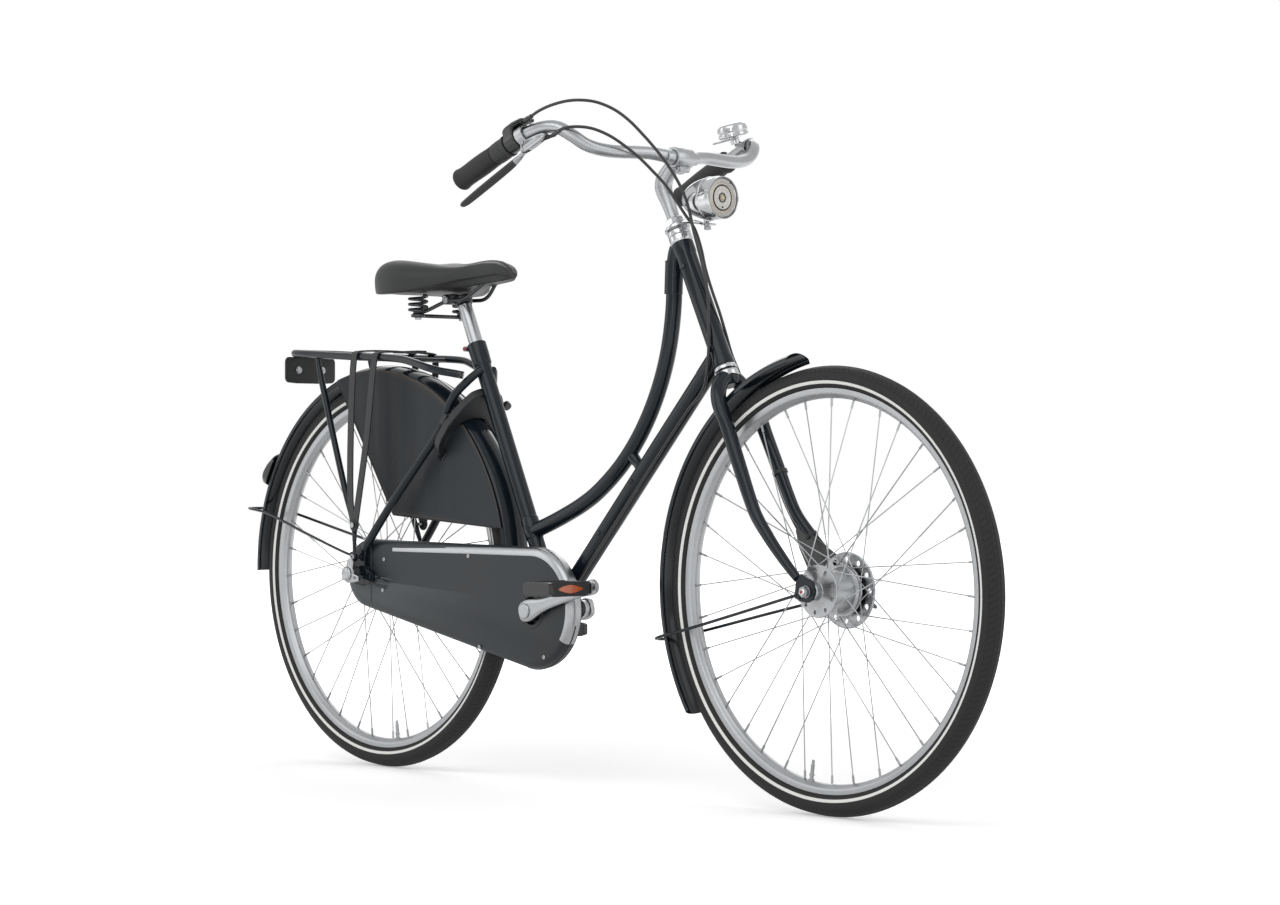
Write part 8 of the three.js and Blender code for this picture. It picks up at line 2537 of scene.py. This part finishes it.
def brake_controls():
    shape = Shape()
    low, high = BRACKET_SPAN
    shape.turned(
        [
            [11.3, low + 0.2], [BRACKET_RADIUS - 1, low + 0.2], [BRACKET_RADIUS, low + 2],
            [BRACKET_RADIUS, high - 2], [BRACKET_RADIUS - 1, high - 0.2], [11.3, high - 0.2]
        ],
        BAR_TIP, LEG, "alloy", 56, 0.6
    )
    piece_outline = [
        [150, -10], [168, -12], [190, -16], [205, -20], [207, -27], [192, -29], [170, -30], [155, -29],
        [148.6, -27.5], [148.6, -18.5]
    ]
    shape.slab(
        piece_outline, BRACKET_ARM_Y[0] + 0.1, BRACKET_ARM_Y[1] - 0.1, "alloy", edge=2.2, corner=3,
        **LEG_PLANE
    )
    shape.rod(leg(157, -13, -9), leg(157, -13, 6), 3.4, "steel", sides=24)
    bolt_head(shape, leg(157, -13, -8.6), -LEG_IN, 4.2, 1.8)
    piece = shape.make("lever_bracket_dressed", sharp=34)
    slot = Shape().slab(LEVER_GAP_SHAPE, LEVER_GAP_Y[0], LEVER_GAP_Y[1], "alloy", edge=0, **LEG_PLANE)
    tools = [cutter(slot)]
    carve(piece, *tools, overlaps=True)
    settle(piece, "steering_head", ["lever_bracket"])

    fittings = Shape()
    fittings.rod(
        leg(*LEVER_PIVOT, BRACKET_ARM_Y[0] - 0.8), leg(*LEVER_PIVOT, BRACKET_ARM_Y[1] + 0.8),
        LEVER_PIN_RADIUS, "steel", sides=28
    )
    boot_start, boot_end = leg(*LEVER_BOOT[0]), leg(*LEVER_BOOT[1])
    way = unit(boot_end - boot_start)
    profile = [[0, -2], [5.2, -2], [5.2, 1]]
    length = np.linalg.norm(boot_end - boot_start)
    for k in range(6):
        place = 2 + k * (length - 6) / 6
        profile += [[4.3 - 0.16 * k, place], [3.4 - 0.12 * k, place + 1.6]]
    profile += [[3.0, length - 2], [2.8, length + 6], [0, length + 6]]
    fittings.turned(profile, boot_start, way, "rubber", 28, 0.4)
    fittings.make("lever_bracket_fittings", "steering_head", [], "black_plastic")

    blade = Shape()
    stations = [
        (157, -25, -1.5, 2.4, 3.0), (148, -27, -1.6, 3.4, 3.3), (140, -29.5, -1.8, 4.4, 3.4),
        (128, -31.5, -2.2, 5.6, 3.2), (112, -33.5, -3, 6.4, 3.2), (78, -38, -7, 6.8, 3.1),
        (40, -42, -10, 6.7, 3.1), (8, -45, -12, 6.0, 3.0), (-2, -45.2, -12.8, 4.6, 2.8),
        (-6, -44.8, -13, 2.4, 2.0)
    ]
    fine = catmull([(a, b, c) for a, b, c, d, e in stations], 6)
    sizes = catmull([(d, e, 0) for a, b, c, d, e in stations], 6)
    rings = []
    for (a, b, c), (wide, thick, _) in zip(fine, sizes):
        lean = deg(LEVER_LEAN) * min(max((150 - a) / 25, 0), 1)
        ring = []
        for q, s in circle(36):
            q, s = math.copysign(abs(q) ** 0.6, q) * wide, math.copysign(abs(s) ** 0.75, s) * thick
            up, across = s * math.cos(lean) + q * math.sin(lean), q * math.cos(lean) - s * math.sin(lean)
            ring.append(leg(a + up * LEVER_RAKE_SHARE, b + up, c - across))
        rings.append(ring)
    split = next(i for i, p in enumerate(fine) if p[0] < 128)
    blade.skin(rings[:split + 1], "alloy")
    blade.skin(rings[split:], "gloss_plastic")
    blade.rod(
        leg(*LEVER_PIVOT, LEVER_GAP_Y[0] + 0.4), leg(*LEVER_PIVOT, LEVER_GAP_Y[1] - 0.4), LEVER_EYE_RADIUS,
        "dark_steel", sides=32
    )
    blade.make("brake_lever_dressed", "hand_brake_lever", ["brake_lever"], "black_plastic", sharp=50)


def cables():
    brake = Shape()
    brake.pipe(BRAKE_CABLE_ROUTE, CABLE_RADIUS, "cable", 16, 8)
    brake.pipe(BRAKE_WIRE_ROUTE, BRAKE_WIRE_RADIUS, "steel", 10, 4)
    for i, size in ((len(BRAKE_CABLE_ROUTE) - 1, 3.4), (0, 3.4)):
        spot = np.array(BRAKE_CABLE_ROUTE[i], float)
        near = np.array(BRAKE_CABLE_ROUTE[i - 1 if i else 1], float)
        way = unit(near - spot)
        brake.turned(
            [[0, -0.5], [size, -0.5], [size, 12], [CABLE_RADIUS, 14], [0, 14]], spot, way,
            "dark_steel" if i else "gloss_plastic", 20, 0.4
        )
    brake.make("brake_cable_dressed", "steering_head", ["brake_cable"])
    gear = Shape()
    gear.pipe(SHIFT_CABLE_ROUTE, CABLE_RADIUS, "cable", 16, 8)
    end = np.array(SHIFT_CABLE_ROUTE[-1], float)
    way = unit(np.array(SHIFT_CABLE_ROUTE[-2]) - end)
    gear.turned(
        [[0, -0.5], [3.6, -0.5], [3.6, 16], [CABLE_RADIUS, 18], [0, 18]], end, way, "gloss_plastic", 20, 0.4
    )
    piece = gear.make("gear_cable_dressed")
    settle(piece, None, ["shift_cable", "shift_cable_loop"])
    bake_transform(piece)


# Lamp and bell


def lamp():
    centre, ahead = (0, 0, LAMP_AXIS_Z), (1, 0, 0)
    track = catmull([(x, 0, r) for x, r in LAMP_PROFILE[1:]], 5)[:, [0, 2]]
    shell = Shape()
    profile = [[0, 788.2]] + [[r, x] for x, r in track] + [
        [34.6, 874.6], [33.4, 875.6], [32.6, 874.4], [32.6, 867.2], [0, 867.2]
    ]
    shell.turned(profile, centre, ahead, "chrome", 72, 0)
    shell.turned(
        [[34.4, 846], [35.9, 847.5], [35.9, 850], [35.3, 851.5], [34.4, 851.5]], centre, ahead, "chrome",
        72, 0.3
    )
    x, y, z = LAMP_FOOT
    shell.rod((x, y, z), (x, y, LAMP_AXIS_Z - 31), LAMP_FOOT_RADIUS, "steel", sides=20)
    nut(shell, (x, y, z), (0, 0, 1), LAMP_NUT_RADIUS, LAMP_NUT_TOP - z, "steel")
    shell.rod(
        (x, y, LAMP_COLLAR_LOW), (x, y, LAMP_AXIS_Z - 32), LAMP_NUT_RADIUS, "chrome",
        end=LAMP_NUT_RADIUS + 1.5, sides=32
    )
    shell.make("lamp_shell_dressed", "steering_head", ["lamp_shell"], sharp=40)

    lens = Shape()
    lens.turned(
        [[0, 867.5], [32.2, 867.5], [32.2, 871.2], [31.4, 872.0], [30.4, 871.0], [29.6, 871.0], [0, 871.0]],
        centre, ahead, "chrome", 72, 0
    )
    lens.turned(
        [
            [0, 868], [29.4, 868], [29.4, 871.6], [28.6, 872.4], [25.6, 872.6], [25.0, 871.9],
            [24.4, 872.6], [21.8, 872.9], [21.2, 872.1], [20.6, 871.4], [0, 871.4]
        ],
        centre, ahead, "lens", 72, 0
    )
    lens.turned(
        [[19.0, 870], [20.4, 870], [20.4, 873.2], [19.8, 873.5], [19.0, 873.2]], centre, ahead, "seat_base",
        72, 0
    )
    lens.turned(
        [
            [0, 869], [18.8, 869], [18.8, 873.0], [17.6, 873.4], [15.4, 872.7], [13.2, 873.2],
            [11.0, 872.4], [9.0, 872.9], [8.0, 871.9], [0, 871.9]
        ],
        centre, ahead, "bowl", 72, 0
    )
    lens.turned(
        [[6.2, 871], [7.4, 871], [7.4, 873.1], [6.8, 873.4], [6.2, 873.1]], centre, ahead, "seat_base", 48,
        0
    )
    lens.turned([[0, 873.2], [4.0, 873.2], [3.4, 874.6], [0, 875.2]], centre, ahead, "led", 32, 0.4)
    lens.turned(oblong(0, 2.0, 0, 1.0), (872.2, 0, LAMP_AXIS_Z - 15.5), ahead, "seat_base", 20, 0.2)
    lens.make("lamp_lens_dressed", "steering_head", ["lamp_lens"], sharp=34)

    bracket = Shape()
    low, high = LAMP_RING_SPAN
    bracket.turned(
        [
            [LOCKNUT["waist"] + 0.5, low + 0.2], [LAMP_RING_RADIUS, low + 0.2],
            [LAMP_RING_RADIUS, high - 0.2], [LOCKNUT["waist"] + 0.5, high - 0.2]
        ],
        STEER_FOOT, STEER_UP, "chrome", 56, 0.5
    )
    bracket.slab(LAMP_STRIP, -LAMP_STRIP_HALF, LAMP_STRIP_HALF, "chrome", edge=1.6, corner=2)
    bolt_head(bracket, (843, -LAMP_STRIP_HALF + 0.4, 934), (0, -1, 0), 4.0, 2.4)
    bracket.make("lamp_bracket_dressed", "steering_head", ["lamp_bracket"])


def bell():
    up = unit(BELL_AXIS)
    foot = np.array(BELL_FOOT, float)
    dome = Shape()
    dome.turned(
        [
            [0, -5], [8, -5], [8, 2.4], [2.6, 2.6], [2.6, 6.9], [12, 6.9], [24.6, 7.4], [25.8, 8.6],
            [25.8, 13], [25.0, 14.2], [25.0, 15.6], [25.9, 16.8], [25.9, 22.5], [24.6, 26.4], [21.5, 29.2],
            [16, 31], [8, 31.7], [0, 32]
        ],
        foot, up, "chrome", 72, 0.5
    )
    dome.rod(BELL_SEAT, foot - up * BELL_ARM_DEPTH, BELL_ARM_RADIUS, "alloy", sides=28)
    start, stop = np.array(BELL_CLAMP[0], float), np.array(BELL_CLAMP[1], float)
    way = unit(stop - start)
    dome.turned(oblong(BAR_RADIUS + 0.4, BELL_CLAMP_RADIUS, 0, 13), start, way, "alloy", 48, 0.8)
    dome.make("bell_dressed", "steering_head", ["bell"])
    lever = Shape()
    turn = deg(BELL_LEVER_ANGLE)
    start = np.array([math.cos(turn), math.sin(turn), 0])
    along = unit(start - up * start.dot(up))
    across = np.cross(up, along)
    low, high = BELL_LEVER_SPAN
    lever.turned(
        [
            [BELL_LEVER_RING[0] + 0.1, low + 0.1], [BELL_LEVER_RING[1], low + 0.1],
            [BELL_LEVER_RING[1], high - 0.1], [BELL_LEVER_RING[0] + 0.1, high - 0.1]
        ],
        foot, up, "alloy", 32, 0.3
    )
    lever.slab(BELL_LEVER_SHAPE, low + 0.2, high - 0.2, "alloy", foot, along, across, up, edge=0.9, corner=3)
    lever.make("bell_lever_dressed", "bell_thumb_lever", ["bell_lever"])


# The whole bicycle

frame_tubes()
fork_shape()
mudguards()
for side in (1, -1):
    coat_guard(side)
chain_case()
hidden_drive()
for side in (-1, 1):
    crank(side)
    pedal(side)
for name, x, sizes, valve in (("front", WHEELBASE, FRONT_HUB, 262.0), ("rear", 0.0, REAR_HUB, 276.0)):
    tyre(name, x)
    rim(name, x, valve)
    hub(name, x, sizes)
front_brake()
axles()
rack()
straps()
rear_plate()
rear_light()
ring_lock()
saddle()
stem_and_bar()
grips()
shifter()
brake_controls()
cables()
lamp()
bell()


# Floor, light and camera


def floor_and_light():
    size, height = 14.0, GROUND - 0.0004
    mesh = bpy.data.meshes.new("floor")
    mesh.from_pydata(
        [(-size, -size, height), (size, -size, height), (size, size, height), (-size, size, height)], [],
        [(0, 1, 2, 3)]
    )
    floor = bpy.data.objects.new("floor", mesh)
    bpy.context.scene.collection.objects.link(floor)
    white = bpy.data.materials.new("floor_white")
    white.use_nodes = True
    tree = white.node_tree
    nodes = Nodes(tree)
    surface = tree.nodes["Principled BSDF"]
    surface.inputs["Base Color"].default_value = (0.86, 0.86, 0.86, 1)
    surface.inputs["Roughness"].default_value = 0.9
    surface.inputs["Specular IOR Level"].default_value = 0.0
    surface.inputs["Emission Color"].default_value = (1, 1, 1, 1)
    path = nodes.add("ShaderNodeLightPath")
    seen = nodes.math(
        "MAXIMUM", path.outputs["Is Camera Ray"],
        nodes.math("MAXIMUM", path.outputs["Is Glossy Ray"], path.outputs["Is Transmission Ray"])
    )
    away = nodes.add(
        "ShaderNodeVectorMath", {0: nodes.add("ShaderNodeTexCoord").outputs["Object"]}, operation="LENGTH"
    ).outputs["Value"]
    nodes.set(
        surface.inputs["Emission Strength"],
        nodes.math("MULTIPLY", seen, nodes.ramp(away, 1.2, 2.4, 0.34, 1.0))
    )
    mesh.materials.append(white)
    floor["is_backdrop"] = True

    world = bpy.data.worlds.new("studio")
    bpy.context.scene.world = world
    world.use_nodes = True
    tree = world.node_tree
    nodes = Nodes(tree)
    path = nodes.add("ShaderNodeLightPath")
    seen = nodes.math("MAXIMUM", path.outputs["Is Camera Ray"], path.outputs["Is Transmission Ray"])
    glossy = path.outputs["Is Glossy Ray"]
    plain = nodes.math("MAXIMUM", seen, glossy)
    level = nodes.math("ADD", 0.55, nodes.math("MULTIPLY", plain, 0.45))
    back = tree.nodes["Background"]
    back.inputs["Color"].default_value = (1, 1, 1, 1)
    nodes.set(back.inputs["Strength"], level)

    for name, place, aim, wide, tall, power in (
        ("key", (1.2, -3.2, 3.6), (0, 0, 0.5), 4.0, 3.0, 56.0),
        ("fill", (4.2, 1.8, 2.6), (0.2, 0, 0.5), 2.6, 3.0, 30.0),
        ("back", (-2.6, 3.0, 3.2), (0, 0, 0.5), 3.4, 2.6, 40.0),
        ("left", (-3.2, -3.0, 2.2), (-0.2, 0, 0.5), 1.8, 3.0, 22.0),
        ("strip", (3.0, -4.2, 1.7), (0, 0, 0.6), 0.5, 3.2, 20.0),
    ):
        data = bpy.data.lights.new(name, "AREA")
        data.shape, data.size, data.size_y, data.energy = "RECTANGLE", wide, tall, power
        lamp_object = bpy.data.objects.new(name, data)
        bpy.context.scene.collection.objects.link(lamp_object)
        lamp_object.location = place
        lamp_object.rotation_euler = (Vector(aim) - Vector(place)).to_track_quat("-Z", "Y").to_euler()


CAMERA_PLACE = (4.00031, -3.5356, 0.544915)
CAMERA_AIM = (0.152408, 0, 0.564415)
CAMERA_LENS = 88.85
SENSOR_WIDTH = 36.0


def camera():
    data = bpy.data.cameras.new("camera")
    data.lens, data.sensor_width = CAMERA_LENS, SENSOR_WIDTH
    data.clip_end = 60
    eye = bpy.data.objects.new("camera", data)
    bpy.context.scene.collection.objects.link(eye)
    eye.location = CAMERA_PLACE
    eye.rotation_euler = (Vector(CAMERA_AIM) - eye.location).to_track_quat("-Z", "Y").to_euler()
    bpy.context.scene.camera = eye


floor_and_light()
camera()
bpy.context.scene.view_settings.view_transform = "Standard"

low_after, high_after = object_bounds()
sizes = {"before": [list(low_before), list(high_before)], "after": [list(low_after), list(high_after)]}
